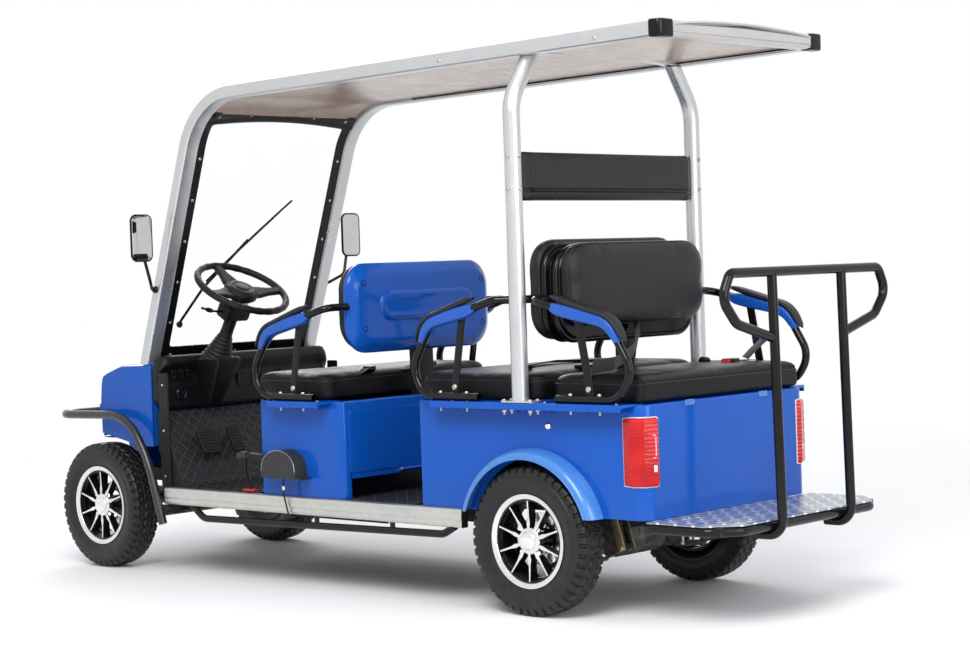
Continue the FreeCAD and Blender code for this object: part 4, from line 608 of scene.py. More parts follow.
def chequer_highlight(t, colour):
    """The bars' tops are painted lighter than the plate: a painted highlight."""
    return t.mix(chequer_mask(t), colour, (0.92, 0.94, 0.98, 1))


def webbing_height(t):
    """Fine ribs across the strap, from its own length and width."""
    uv = t.add("ShaderNodeUVMap", uv_map="strap")
    run = t.math("MULTIPLY", t.split(uv, 0), 900.0)
    across = t.math("MULTIPLY", t.split(uv, 1), 1300.0)
    return t.math("MULTIPLY", t.math("SINE", run), t.math("SINE", across)), 0.5, 0.0006


def glazing(name, tint, roughness=0.02, bend=1.5):
    """Clear glass or lens: a plain transmission shader with a faint noise in its roughness."""
    material, tree, shader = new_material(name)
    colour = tree.group("Mottle", {"Colour": shade(tint), "Tint": shade(tint, 0.99), "Scale": 3.0, "Amount": 0.5})
    rough = tree.group("Scuff", {"Scale": 12.0, "Low": roughness, "High": roughness + 0.03})
    tree.fill(shader, {"Base Color": colour, "Roughness": rough, "Transmission Weight": 1.0, "IOR": bend})
    return material


def lens_height(t):
    """Fine moulded ribs inside the lens."""
    z = t.split(t.place(), 2)
    return t.math("PINGPONG", t.math("MULTIPLY", z, 160.0), 1.0), 0.6, 0.002


def make_finishes():
    """Every finish of the cart, by name."""
    make_effects()
    c = colours()
    paint, light, black = tuple(c.paint), tuple(c.paint_highlight), tuple(c.black)
    alu, steel, leather = tuple(c.aluminium), tuple(c.steel), tuple(c.leather)
    return {
        "paint": finish("blue_paint", paint, (0.12, 0.2), coat=0.32, tint=toned(paint, 0.85), dust=0.02,
                        shine=0.12),
        # Lip paint: the body blue lightened as a painted highlight.
        "lip": finish("lip_paint_highlight", light, (0.2, 0.3), coat=0.35, dust=0.03, shine=0.4),
        "gloss_black": finish("gloss_black", black, (0.1, 0.22), coat=0.08, dust=0.04, shine=0.22),
        "guard": finish("guard_black", (0.012, 0.013, 0.016), (0.22, 0.34), coat=0.2, dust=0.03, shine=0.5),
        "frame_black": finish("frame_black", toned(black, 1.4), (0.4, 0.62), dust=0.15, shine=0.25),
        "plastic": finish("moulded_black", black, (0.3, 0.44), grain=(900.0, 0.25), dust=0.04, shine=0.22),
        "smooth_plastic": finish("smooth_black", black, (0.16, 0.28), dust=0.04, shine=0.22),
        "cover_grey": finish("brake_cover_grey", (0.026, 0.026, 0.029), (0.4, 0.55), grain=(700.0, 0.3), dust=0.08,
                             shine=0.3),
        "leather": finish("seat_cover", leather, (0.28, 0.4), grain=(420.0, 0.32), mottle=0.25, dust=0.0, shine=0.3),
        # The cushions' cover is the seat cover made darker: painted shade for the dark reflections on the cushion
        # tops.
        "cushion": finish("shaded_cushion_cover", toned(leather, 0.6), (0.26, 0.36), grain=(420.0, 0.3), mottle=0.25,
                          dust=0.0, shine=0.14),
        "trim_leather": finish("band_cover", toned(leather, 1.2), (0.3, 0.42), grain=(420.0, 0.4),
                               mottle=0.3, dust=0.0, shine=0.3),
        "aluminium": finish("satin_aluminium", alu, (0.26, 0.38), metallic=0.8, tint=toned(alu, 0.88),
                            brushed=(60.0, (0.2, 4.0, 4.0), 0.015), dust=0.0),
        "roof_skin": finish("roof_skin", (0.44, 0.45, 0.47), (0.6, 0.72), dust=0.0, shine=0.05),
        "ceiling": finish("roof_underside", (0.33, 0.22, 0.165), (0.18, 0.28), coat=0.1, shine=0.3,
                          tint=(0.5, 0.38, 0.31), mottle=0.9, mottle_scale=1.6, dust=0.0),
        "sill_metal": finish("sill_aluminium", (0.56, 0.56, 0.53), (0.3, 0.44), metallic=0.85,
                             brushed=(40.0, (4.0, 0.2, 4.0), 0.01), dust=0.35, reach=0.6),
        "machined": finish("machined_alloy", (0.74, 0.74, 0.73), (0.16, 0.26), metallic=1.0, dust=0.06),
        "rim_black": finish("rim_black", (0.004, 0.004, 0.005), (0.14, 0.24), coat=0.05, dust=0.03, shine=0.2),
        "chrome": finish("bright_chrome", (0.8, 0.8, 0.8), (0.05, 0.1), metallic=1.0, dust=0.04),
        "bolt": finish("plated_bolt", steel, (0.24, 0.4), metallic=0.95, tint=(0.4, 0.38, 0.33), dust=0.1),
        "gold_plate": finish("gold_plated_steel", (0.5, 0.38, 0.17), (0.3, 0.45), metallic=0.9,
                             tint=(0.42, 0.42, 0.3), mottle=0.8, mottle_scale=14.0, dust=0.3),
        "dark_steel": finish("axle_steel", (0.045, 0.043, 0.04), (0.4, 0.6), metallic=0.5, dust=0.6, reach=0.6),
        "spring_steel": finish("spring_steel", (0.03, 0.028, 0.026), (0.38, 0.55), metallic=0.4, dust=0.6, reach=0.6),
        "tyre": finish("tyre_rubber", tuple(c.rubber), (0.34, 0.46), grain=(260.0, 0.12), dust=0.05, reach=0.25,
                       tint=toned(c.rubber, 1.4), mottle=0.4, mottle_scale=12.0, shine=0.35),
        "rubber": finish("moulded_rubber", tuple(c.rubber), (0.45, 0.6), dust=0.05, shine=0.25),
        "mat": finish("quilted_mat", (0.012, 0.012, 0.014), (0.3, 0.44), height=quilt_height, recolour=quilt_colour,
                      dust=0.04, reach=0.6, shine=0.3),
        # The plate's blue tint is a painted reflection of the blue body, and its bars carry a painted highlight.
        "chequer": finish("chequer_plate", (0.31, 0.34, 0.4), (0.22, 0.36), metallic=0.6, height=chequer_height,
                          recolour=chequer_highlight, dust=0.04, reach=0.6),
        "webbing": finish("belt_webbing", (0.016, 0.016, 0.017), (0.6, 0.75), height=webbing_height, dust=0.0,
                          sheen=0.2),
        "red_button": finish("red_plastic", (0.62, 0.01, 0.01), (0.3, 0.4), dust=0.0),
        "white_plastic": finish("white_plastic", (0.72, 0.72, 0.7), (0.35, 0.5), dust=0.1),
        "blue_band": finish("arm_band", toned(paint, 0.9), (0.3, 0.42), grain=(800.0, 0.2), dust=0.0),
        "red_lens": finish("red_lens", tuple(c.lamp), (0.06, 0.14), coat=0.12, height=lens_height, dust=0.0,
                           shine=0.25, tint=(0.75, 0.02, 0.02), mottle=0.5, mottle_scale=14.0),
        "led": finish("lamp_squares", (0.36, 0.004, 0.004), (0.1, 0.2), dust=0.0, coat=0.3),
        # Pale tiles on the tail lamp lenses: a painted highlight.
        "lamp_highlight_white": finish("lamp_highlight_white", (0.8, 0.74, 0.72), (0.1, 0.2), dust=0.0, coat=0.3),
        "white_lens": finish("clear_cover", (0.6, 0.6, 0.58), (0.08, 0.16), coat=1.0, height=lens_height, dust=0.05),
        "reflector": finish("lamp_bowl", (0.75, 0.75, 0.75), (0.08, 0.16), metallic=1.0, dust=0.0),
        "mirror": finish("mirror_glass", (0.5, 0.51, 0.52), (0.02, 0.04), metallic=1.0, dust=0.0),
        "glass": glazing("clear_glass", (1.0, 1.0, 1.0), bend=1.1),
        "lens_glass": glazing("lamp_glass", (0.95, 0.97, 0.97)),
    }


FINISHES = {}


def look(name):
    """One finish by name; the first call makes them all."""
    if not FINISHES:
        FINISHES.update(make_finishes())
    return FINISHES[name]


# Wheels

WHEELS = (
    ("front_left", 1, FRONT_AXLE), ("front_right", -1, FRONT_AXLE),
    ("rear_left", 1, 0.0), ("rear_right", -1, 0.0),
)
BEAD_RADIUS = 0.1495


def tyre_surface(pitches, depth):
    """A tyre skin: a profile of radius and offset turned about X, its crown cut by grooves.

    The profile runs bead, sidewall, shoulder and crown to the other bead. Groove depth is
    the larger of shoulder slots, open where the angle is in the first quarter of a pitch,
    and of two zigzag channels whose offset follows a triangle wave of the angle.
    """
    half = np.array([
        (0.1275, 0.0455), (0.142, 0.0462), (BEAD_RADIUS, 0.0475), (0.1525, 0.0498), (0.157, 0.0526), (0.16, 0.0534),
        (0.1625, 0.0532), (0.17, 0.0562), (0.182, 0.0587), (0.192, 0.059), (0.1995, 0.0583), (0.2015, 0.0592),
        (0.204, 0.059), (0.2055, 0.0574), (0.212, 0.0563), (0.215, 0.0562), (0.2185, 0.0555), (0.2235, 0.054),
        (0.228, 0.052), (0.2315, 0.0494), (0.234, 0.0462), (0.2352, 0.0425), (0.2359, 0.0385), (0.2363, 0.0345),
        (0.2366, 0.03), (0.2368, 0.0262), (0.2369, 0.0236), (0.2371, 0.02), (0.2372, 0.0165), (0.2373, 0.0135),
        (0.2374, 0.0105), (0.2375, 0.0072), (0.2375, 0.004), (0.2375, 0.0)])
    profile = np.vstack([half, (half[:-1] * (1, -1))[::-1]])
    steps = pitches * 10
    t = all_round(steps)[:, None]
    phase = (t * pitches / (2 * PI)) % 1.0
    radius, offset = profile[None, :, 0], profile[None, :, 1]
    lean = phase + np.sign(offset) * 0.15
    slot = np.where(((lean + 0.5 * (offset < 0)) % 1.0) < 0.3, 1.0, 0.0)
    shoulder = slot * (np.abs(offset) > 0.031) * np.clip((radius - 0.2145) / 0.004, 0, 1)
    zig = 0.0045 * (np.abs(phase * 2 - 1) * 2 - 1)
    channels = [np.abs(offset - place - zig) < 0.0032 for place in (-0.019, 0.019)]
    middle = np.abs(offset + zig * 0.6) < 0.0016
    groove = np.maximum.reduce([shoulder, channels[0] * 1.0, channels[1] * 1.0, middle * 0.7])
    sipe = (np.abs(offset) < 0.0135) * (np.abs(((phase * 2) % 1.0) - 0.5) < 0.1) * 0.45
    groove = np.maximum(groove, sipe)
    r = radius - depth * groove * np.clip((radius - 0.2135) / 0.006, 0, 1)
    along = offset - np.sign(offset) * shoulder * 0.004 * (np.abs(offset) > 0.046)
    return xyz(along, r * np.sin(t), -r * np.cos(t))


def placed(points, side, y):
    """Local wheel points (offset, along, up) put on one wheel's centre."""
    points = np.asarray(points)
    return points * (side, 1, 1) + (side * HALF_TRACK, y, WHEEL_Z)


def around_wheel(points, count, offset=0.0):
    """Copies of a grid of wheel points turned evenly about X, stacked on a new first axis."""
    t = np.arange(count) * 2 * PI / count + offset
    c, s = np.cos(t)[:, None, None], np.sin(t)[:, None, None]
    x, y, z = points[..., 0], points[..., 1], points[..., 2]
    return xyz(x, y * c - z * s, y * s + z * c)


def spoke_grid(widths, fronts, backs, radii):
    """A bar along the radius: at each radius a rounded rectangle of that width and depth."""
    corner = np.array([(-1, -1), (-0.6, -1), (0.6, -1), (1, -1), (1, 0.7), (0.7, 1), (-0.7, 1), (-1, 0.7)])
    middle = (fronts + backs) / 2
    half = (fronts - backs) / 2
    x = middle[:, None] + half[:, None] * corner[None, :, 1]
    y = widths[:, None] * corner[None, :, 0]
    return xyz(x, y, radii[:, None])


def hex_nut(centre, radius, low, high):
    """Rings of a six-sided nut along X with a domed end."""
    t = np.arange(6) * PI / 3
    return [xyz(x, centre[0] + reach * np.cos(t), centre[1] + reach * np.sin(t)) for reach, x in
            ((radius, low), (radius, high - radius * 0.3), (radius * 0.72, high), (radius * 0.2, high))]


def build_wheel(name, side, y):
    """One wheel: tread, rim face with spokes, barrel, hub cap with nuts and brake disc."""
    body = "wheel_" + name

    def turned_ring(solid, profile, steps, closed=True):
        """Adds a profile turned about this wheel's axle."""
        return solid.grid(placed(lathe(profile, steps), side, y), around=closed, along=True)

    tread = Solid()
    skin = tyre_surface(sizes().tread_pitches, sizes().tread_depth)
    tread.grid(placed(skin, side, y), around=True, along=True)
    tread.piece("tread_" + name, "tyre", body=body, replaces=("tyre_" + name,), slot="tyre_rubber", sharp=28)

    lip = Solid()
    face = [(0.1305, 0.0405), (0.1318, 0.0452), (0.1335, 0.0478), (0.1385, 0.0492), (0.144, 0.0505), (0.1472, 0.052),
            (0.149, 0.0518), (0.1492, 0.05), (0.148, 0.0476), (0.134, 0.043)]
    turned_ring(lip, face, 144)
    radii = np.array([0.026, 0.036, 0.046, 0.053, 0.06, 0.066, 0.078, 0.095, 0.115, 0.1315])
    wide = np.array([0.0072, 0.0056, 0.0048, 0.0062, 0.0066, 0.0056, 0.0036, 0.003, 0.0027, 0.0025])
    front = np.array([0.043, 0.0432, 0.0436, 0.0436, 0.0435, 0.0432, 0.043, 0.0432, 0.0442, 0.0455])
    faces = around_wheel(spoke_grid(wide, front, front - 0.0016, radii), 10)
    hub = [(0.0, 0.0438), (0.036, 0.0438), (0.041, 0.0424), (0.043, 0.04), (0.043, 0.038), (0.0, 0.038)]
    for grid in faces:
        lip.capped(placed(grid, side, y))
    turned_ring(lip, hub, 60, closed=False)
    lip.piece("rim_face_" + name, "machined", body=body, slot="rim_alloy", sharp=30)

    barrel = Solid()
    well = [(0.1338, 0.044), (0.1325, 0.038), (0.129, 0.033), (0.124, 0.03), (0.1225, 0.018), (0.119, 0.012),
            (0.119, -0.018), (0.1225, -0.024), (0.124, -0.043), (0.14, -0.048), (0.148, -0.052),
            (0.149, -0.0505), (0.141, -0.0462), (0.1268, -0.042), (0.1268, 0.04)]
    turned_ring(barrel, well, 96)
    webs = around_wheel(spoke_grid(wide * 1.02 + 0.0006, front - 0.0014, np.linspace(0.022, 0.008, 10), radii), 10)
    for grid in webs:
        barrel.capped(placed(grid, side, y))
    back = [(0.014, 0.036), (0.046, 0.036), (0.05, 0.03), (0.05, 0.018), (0.036, 0.012), (0.014, 0.01)]
    turned_ring(barrel, back, 48)
    turned_ring(barrel, [(0.012, -0.038), (0.034, -0.038), (0.034, 0.011), (0.012, 0.011)], 40)
    barrel.piece("rim_barrel_" + name, "rim_black", body=body, replaces=("rim_" + name,), slot="rim_alloy", sharp=30)

    cap = Solid()
    dome = [(0.0, 0.05), (0.01, 0.0499), (0.02, 0.0496), (0.0262, 0.0488), (0.0278, 0.0472), (0.028, 0.0425),
            (0.033, 0.0424), (0.0345, 0.041), (0.0, 0.0405)]
    turned_ring(cap, dome, 72, closed=False)
    for angle in PI / 4 + all_round(4):
        nut = hex_nut((0.0505 * math.cos(angle), 0.0505 * math.sin(angle)), 0.0088, 0.018, 0.04)
        cap.capped(placed(nut, side, y))
    cap.piece("hub_cap_" + name, "chrome", body=body, slot="rim_alloy", sharp=32)

    disc = Solid()
    t = all_round(180)[:, None]
    edge = 0.084 + 0.0012 * np.sign(np.sin(t * 12))
    ring = np.array([(0.6, -0.0165), (0.98, -0.0165), (1.0, -0.017), (1.0, -0.0205), (0.98, -0.021), (0.6, -0.021)])
    radius = edge * ring[None, :, 0]
    grid = xyz(ring[None, :, 1], radius * np.sin(t), -radius * np.cos(t))
    disc.grid(placed(grid, side, y), around=True, along=True)
    disc.piece("brake_disc_" + name, "machined", body=body, slot="rim_alloy", sharp=30)


# Painted panels

def body_edge(y):
    """Front face of the rear body by height: level with the deck, bulged, then drawn in."""
    return np.interp(y, (0.3203, 0.505, 0.671), (-0.473, -0.505, -0.493))


def wall_ring(outline, normals, low_z, top_z, rim, edge, wall=0.004, front=None, hem=0.01):
    """A folded panel wall round an outline.

    Each outline point carries the same section in (inset, height): a hem under the wall,
    the outer face, a rounded top fold, the rim and the way back inside the wall. The
    height of the lower edge may differ from point to point.
    """
    a = np.linspace(0, PI / 2, 5)
    fold_in = edge - edge * np.cos(a)
    fold_up = edge * np.sin(a) - edge
    inset = np.concatenate([[hem, 0.0015, 0.0], fold_in, [rim, rim, edge, wall, wall, hem]])
    base = np.asarray(low_z)[:, None]
    tops = np.concatenate([fold_up, [0.0, -wall, -wall, -wall - edge]]) + top_z
    lows = xyz(base[:, 0], base[:, 0], base[:, 0] + 0.0015)
    ends = np.stack([base[:, 0] + wall, base[:, 0] + wall], -1)
    z = np.hstack([lows, np.broadcast_to(tops, (len(outline), len(tops))), ends])
    xy = outline[:, None] - normals[:, None] * inset[None, :, None]
    y = xy[..., 1]
    if front is not None:
        share = np.clip(-(outline[:, 1] - front[0]) / 0.02, 0, 1)[:, None]
        y = y + share * (front[1](z) - front[0])
    return xyz(xy[..., 0], y, z)


def plan_outline(half, front_y, rear_y, front_corner, rear_corner, side_ys=None, steps=14):
    """The plan outline of a box with its outward normals, with extra points along the sides."""
    corners = filleted([(half, front_y, 0), (half, rear_y, 0), (-half, rear_y, 0), (-half, front_y, 0)],
                       [front_corner, rear_corner, rear_corner, front_corner], steps, closed=True)[:, :2]
    if side_ys is not None:
        keep = []
        for index, point in enumerate(corners):
            after = corners[(index + 1) % len(corners)]
            keep.append(point[None])
            if abs(point[0] - after[0]) < 1e-9 and abs(after[1] - point[1]) > 0.2:
                ys = side_ys if after[1] > point[1] else side_ys[::-1]
                keep.append(np.stack([np.full(len(ys), point[0]), ys], -1))
        corners = np.vstack(keep)
    runs = np.roll(corners, -1, 0) - np.roll(corners, 1, 0)
    runs /= np.linalg.norm(runs, axis=1)[:, None]
    return corners, np.stack([runs[:, 1], -runs[:, 0]], -1)


ARCH_RADIUS = 0.2575
RIM = 0.042
BODY_LOW, BODY_TOP = 0.3203, 0.671
BODY_FRONT, BODY_REAR = -0.493, 0.449
BOX_TOP = 0.655
BOX_FRONT, BOX_REAR = -1.281, -0.866


def build_rear_body():
    """Rear body: a folded wall ring with wheel arches, flares and a deck beam."""
    solid = Solid()
    limit = math.acos((BODY_LOW - WHEEL_Z) / ARCH_RADIUS)
    arc = np.linspace(-limit, limit, 73)
    side_ys = np.concatenate([[-0.4, -0.32], ARCH_RADIUS * np.sin(arc), [0.3, 0.36]])
    outline, normals = plan_outline(BODY_HALF, BODY_FRONT, BODY_REAR, 0.006, 0.05, side_ys)
    on_side = (np.abs(outline[:, 0]) > BODY_HALF - 1e-6) & (np.abs(outline[:,
                                                                           1]) < ARCH_RADIUS * math.sin(limit) + 1e-9)
    rise = np.sqrt(np.clip(ARCH_RADIUS ** 2 - outline[:, 1] ** 2, 0, None))
    low = np.where(on_side, WHEEL_Z + rise, BODY_LOW)
    solid.grid(wall_ring(outline, normals, low, BODY_TOP, RIM, sizes().panel_edge, front=(BODY_FRONT, body_edge)),
               around=True, along=True)
    beam = rounded_box(0.03, 0.006, 0.003)
    reach, level = BODY_HALF - RIM, BODY_TOP - 0.006
    solid.bar([(-reach, 0.038, level), (reach, 0.038, level)], beam)
    solid.piece("body_panels", "paint", replaces=("rear_body",), slot="blue_paint", sharp=30)

    flare = Solid()
    s = np.linspace(0, 1, 12)
    outer_r = 0.2915 - 0.029 * s ** 2.2
    outer_x = 0.058 * np.sin(s * PI / 2) ** 0.9
    lip = np.linspace(0, PI, 7)[1:-1]
    lip_r = 0.26 + 0.0025 * np.cos(lip)
    lip_x = 0.058 + 0.0022 * np.sin(lip)
    section_r = np.concatenate([outer_r, lip_r, (outer_r - 0.0045)[::-1]])
    section_x = np.concatenate([outer_x, lip_x, (outer_x - 0.002).clip(-0.004)[::-1]])
    reach = np.arccos(np.clip((BODY_LOW - WHEEL_Z) / section_r, -1, 1))
    share = np.linspace(-1, 1, 97)[:, None]
    t = share * reach[None]
    grid = xyz(BODY_HALF + section_x, section_r * np.sin(t), WHEEL_Z + section_r * np.cos(t))
    flare.capped(grid)
    # The flares take the lip paint, whose lighter blue is a painted highlight.
    flare.pair("arch_flares", "lip", slot="blue_paint", sharp=40)


def shelf_section():
    """Section of the folded side shelf as (x, z) about its outer upper fold."""
    return filleted([(-0.097, 0.0), (0.0, 0.0), (0.0, -0.022), (-0.003, -0.022), (-0.003, -0.003), (-0.097, -0.003)],
                    [0, 0.0045, 0.001, 0.001, 0.0016, 0], 5, closed=True)


def build_shelves():
    """Side shelves: a folded strip section carried along each box's side, ends cut at a slant."""
    solid = Solid()
    section = shelf_section()
    for level, front, rear in ((BODY_TOP + 0.003, -0.398, 0.417), (BOX_TOP + 0.003, -1.19, -0.905)):
        x = BODY_HALF + 0.062 + section[:, 0]
        z = level + section[:, 1]
        taper = np.clip((x - BODY_HALF - 0.02) / 0.042, 0, 1) * 0.014
        rows = [xyz(x, front + taper, z), xyz(x, front + 0.03, z), xyz(x, rear - 0.03, z), xyz(x, rear - taper, z)]
        solid.capped(rows)
    solid.pair("side_shelf_strips", "paint", slot="blue_paint", sharp=30)


def box_front(z):
    """Front face of the front seat box: it leans back towards its foot by 12 mm."""
    return BOX_FRONT - 0.012 + 0.012 * (z - BODY_LOW) / (BOX_TOP - BODY_LOW)


def build_seat_box():
    """Front seat box: a folded wall ring, open behind the door, and the strip under the door."""
    solid = Solid()
    outline, normals = plan_outline(BODY_HALF, BOX_FRONT, BOX_REAR, 0.006, 0.03)
    edge_x = np.array([0.3905, 0.39, -0.39, -0.3905])
    extra = np.stack([edge_x, np.full(4, BOX_REAR)], -1)
    index = int(np.argmax(outline[:, 1] > BOX_REAR - 1e-6)) + 1
    outline = np.vstack([outline[:index], extra, outline[index:]])
    normals = np.vstack([normals[:index], np.tile((0.0, 1.0), (4, 1)), normals[index:]])
    inner = (outline[:, 1] > BOX_REAR - 1e-6) & (np.abs(outline[:, 0]) < 0.3902)
    low = np.where(inner, 0.617, BODY_LOW)
    solid.grid(wall_ring(outline, normals, low, BOX_TOP, RIM, sizes().panel_edge, front=(BOX_FRONT, box_front)),
               around=True, along=True)
    strip = rounded_box(0.002, 0.0125, 0.001)
    solid.bar([(-0.395, -0.868, 0.4005), (0.395, -0.868, 0.4005)], strip, Z_AXIS)
    solid.piece("seat_box_panels", "paint", replaces=("front_seat_box",), slot="blue_paint", sharp=30)

    pin = Solid()
    low_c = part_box("seat_box_door")[0]
    z = low_c[2] + 0.005
    y = low_c[1] + 0.0054 - AXLE_Y
    pin.bar([(-0.16, y, z), (0.16, y, z)], circle(0.003, 16))
    for x in (-0.155, 0.155):
        pin.bar([(x - 0.0048, y, z), (x + 0.0048, y, z)], circle(0.0054, 16))
    pin.piece("door_hinge_pin", "bolt", slot="blue_paint")


def build_door():
    """The rear flap: a thin plate with rolled edges and its hinge barrel."""
    low_c, high_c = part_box("seat_box_door")
    half = high_c[0]
    z_low, z_high = low_c[2] + 0.0125, high_c[2]
    y0 = low_c[1] - AXLE_Y
    solid = Solid()
    middle = (z_low + z_high) / 2
    to_point = standing(y0, middle)
    profile = [(0.004, 0.0), (0.0, 0.0004), (0.0, 0.0018), (0.0008, 0.0027), (0.003, 0.003), (0.012, 0.003)]
    outline_shell(solid, half, (z_high - z_low) / 2, 0.012, profile, to_point)
    y, z = y0 + 0.0054, low_c[2] + 0.005
    solid.bar([(-0.149, y, z), (0.149, y, z)], circle(0.0049, 16))
    solid.bar([(0.0, y0 + 0.0015, z), (0.0, y0 + 0.0015, z_low + 0.003)], rounded_box(0.0014, 0.149, 0.0005), X_AXIS)
    solid.piece("seat_box_flap", "paint", body="seat_box_door", replaces=("seat_box_door",),
                slot="blue_paint", sharp=30)


def round_lock(solid, centre, axis, radius, out=0.006):
    """A domed lock: a stepped profile of radius and height turned about its axis."""
    profile = [(0.0, 0.0), (radius, 0.0), (radius, out * 0.4), (radius * 0.82, out * 0.8), (radius * 0.5, out),
               (radius * 0.3, out * 0.86), (0.0001, out * 0.86)]
    ring = turned(profile, centre, axis, 28)
    solid.grid(ring[1:-1], around=True).fan(ring[-2]).fan(ring[1])


def turned(profile, centre, axis, steps):
    """A (radius, height) profile turned about any axis through the centre: rings by points."""
    axis = np.asarray(axis, dtype=float) / np.linalg.norm(axis)
    beside = Z_AXIS if abs(axis[2]) < 0.8 else X_AXIS
    u = np.cross(axis, beside)
    u /= np.linalg.norm(u)
    v = np.cross(axis, u)
    t = all_round(steps)[None, :, None]
    profile = np.asarray(profile, dtype=float)
    r, h = profile[:, None, None, 0], profile[:, None, None, 1]
    return np.asarray(centre) + r * (u * np.cos(t) + v * np.sin(t)) + h * axis


def bolt_head(solid, centre, axis, radius=None, height=None):
    """A round bolt head with a chamfer and a sunk middle, turned about its axis."""
    radius = radius or sizes().bolt_radius
    height = height or radius * 0.7
    profile = [(radius * 0.98, 0.0), (radius, height * 0.6), (radius * 0.82, height), (radius * 0.5, height),
               (radius * 0.42, height * 0.6), (radius * 0.05, height * 0.55)]
    rings = turned(profile, centre, axis, 18)
    solid.capped(rings)


# Seats

def seat_rings(half, front, rear, radii, steps):
    """Rings of a cushion: a rounded plan outline drawn in by each (inset, height) step.

    The crown comes from the heights that the steps give.
    """
    rings = []
    for inset, height in steps:
        corners = [(half - inset, front + inset, height), (half - inset, rear - inset, height),
                   (inset - half, rear - inset, height), (inset - half, front + inset, height)]
        drawn = [max(radius - inset, 0.004) for radius in (radii[0], radii[1], radii[1], radii[0])]
        rings.append(filleted(corners, drawn, 8, closed=True))
    return np.stack(rings)


def puffed(piece, voxel, cap, still, freedom, frames=20, pressure=4.0):
    """Puffs a closed piece with cloth: remesh, inflate, cap each point's travel, refine.

    still is a function of the points that gives the share of travel each may keep, and
    freedom is the share that each axis may keep.
    """
    bpy.context.view_layer.objects.active = piece
    remesh = piece.modifiers.new("Remesh", "REMESH")
    remesh.mode = "VOXEL"
    remesh.voxel_size = voxel
    remesh.use_smooth_shade = True
    apply_modifiers(piece)
    before = points_of(piece.data)
    cloth = piece.modifiers.new("Cloth", "CLOTH")
    cloth.settings.use_pressure = True
    cloth.settings.uniform_pressure_force = pressure
    cloth.settings.effector_weights.gravity = 0.0
    cloth.settings.tension_stiffness = 12.0
    cloth.settings.compression_stiffness = 12.0
    cloth.settings.bending_stiffness = 2.0
    cloth.settings.quality = 4
    cloth.collision_settings.use_collision = False
    cloth.point_cache.frame_start = 1
    cloth.point_cache.frame_end = frames
    for step in range(1, frames + 1):
        bpy.context.scene.frame_set(step)
    apply_modifiers(piece)
    bpy.context.scene.frame_set(1)
    travel = points_of(piece.data) - before
    size = np.linalg.norm(travel, axis=1)[:, None] + 1e-9
    travel *= np.minimum(1.0, cap / size) * still(before)[:, None] * freedom
    write_points(piece.data, before + travel)
    smooth = piece.modifiers.new("Smooth", "SMOOTH")
    smooth.factor = 0.5
    smooth.iterations = 4
    refine = piece.modifiers.new("Subdivision", "SUBSURF")
    refine.levels = 1
    refine.render_levels = 1
    apply_modifiers(piece)


def apply_modifiers(piece):
    """Writes the piece's evaluated shape into its own mesh and drops its modifiers."""
    graph = bpy.context.evaluated_depsgraph_get()
    mesh = bpy.data.meshes.new_from_object(piece.evaluated_get(graph))
    old = piece.data
    piece.modifiers.clear()
    piece.data = mesh
    bpy.data.meshes.remove(old)


def points_of(mesh):
    """The mesh's points as one array."""
    points = np.empty(len(mesh.vertices) * 3)
    mesh.vertices.foreach_get("co", points)
    return points.reshape(-1, 3)


def write_points(mesh, points):
    """Moves the mesh's points to the given ones."""
    mesh.vertices.foreach_set("co", points.ravel())
    mesh.update()


def normals_of(mesh):
    """The mesh's point normals as one array."""
    normals = np.empty(len(mesh.vertices) * 3)
    mesh.vertices.foreach_get("normal", normals)
    return normals.reshape(-1, 3)


def near(value, level, width):
    """1 at the level, falling off as a bell with the given width."""
    return np.exp(-((value - level) / width) ** 2)


def finish_cover(piece, groove):
    """Pulls the cover in along its seams: each point moves back along its normal by groove(points)."""
    points = points_of(piece.data)
    depth = groove(points - AXLE)
    write_points(piece.data, points - normals_of(piece.data) * depth[:, None])
    piece.data.polygons.foreach_set("use_smooth", np.ones(len(piece.data.polygons), dtype=bool))


def piping(name, ring, host, body, radius=None):
    """A thin round bead along a closed ring, laid on the nearest points of its host piece."""
    points = points_of(host.data) - AXLE
    ring = divided(ring, ring)
    ring = points[np.argmin((points ** 2).sum(1)[None] - 2 * ring @ points.T, axis=1)]
    for _ in range(3):
        ring = (np.roll(ring, 1, axis=0) + 2 * ring + np.roll(ring, -1, axis=0)) / 4
    solid = Solid()
    radius = radius or sizes().seam_radius
    solid.grid(swept(ring, circle(radius, 8), closed=True), around=True, along=True)
    return solid.piece(name, "trim_leather", body=body, slot="black_leatherette")


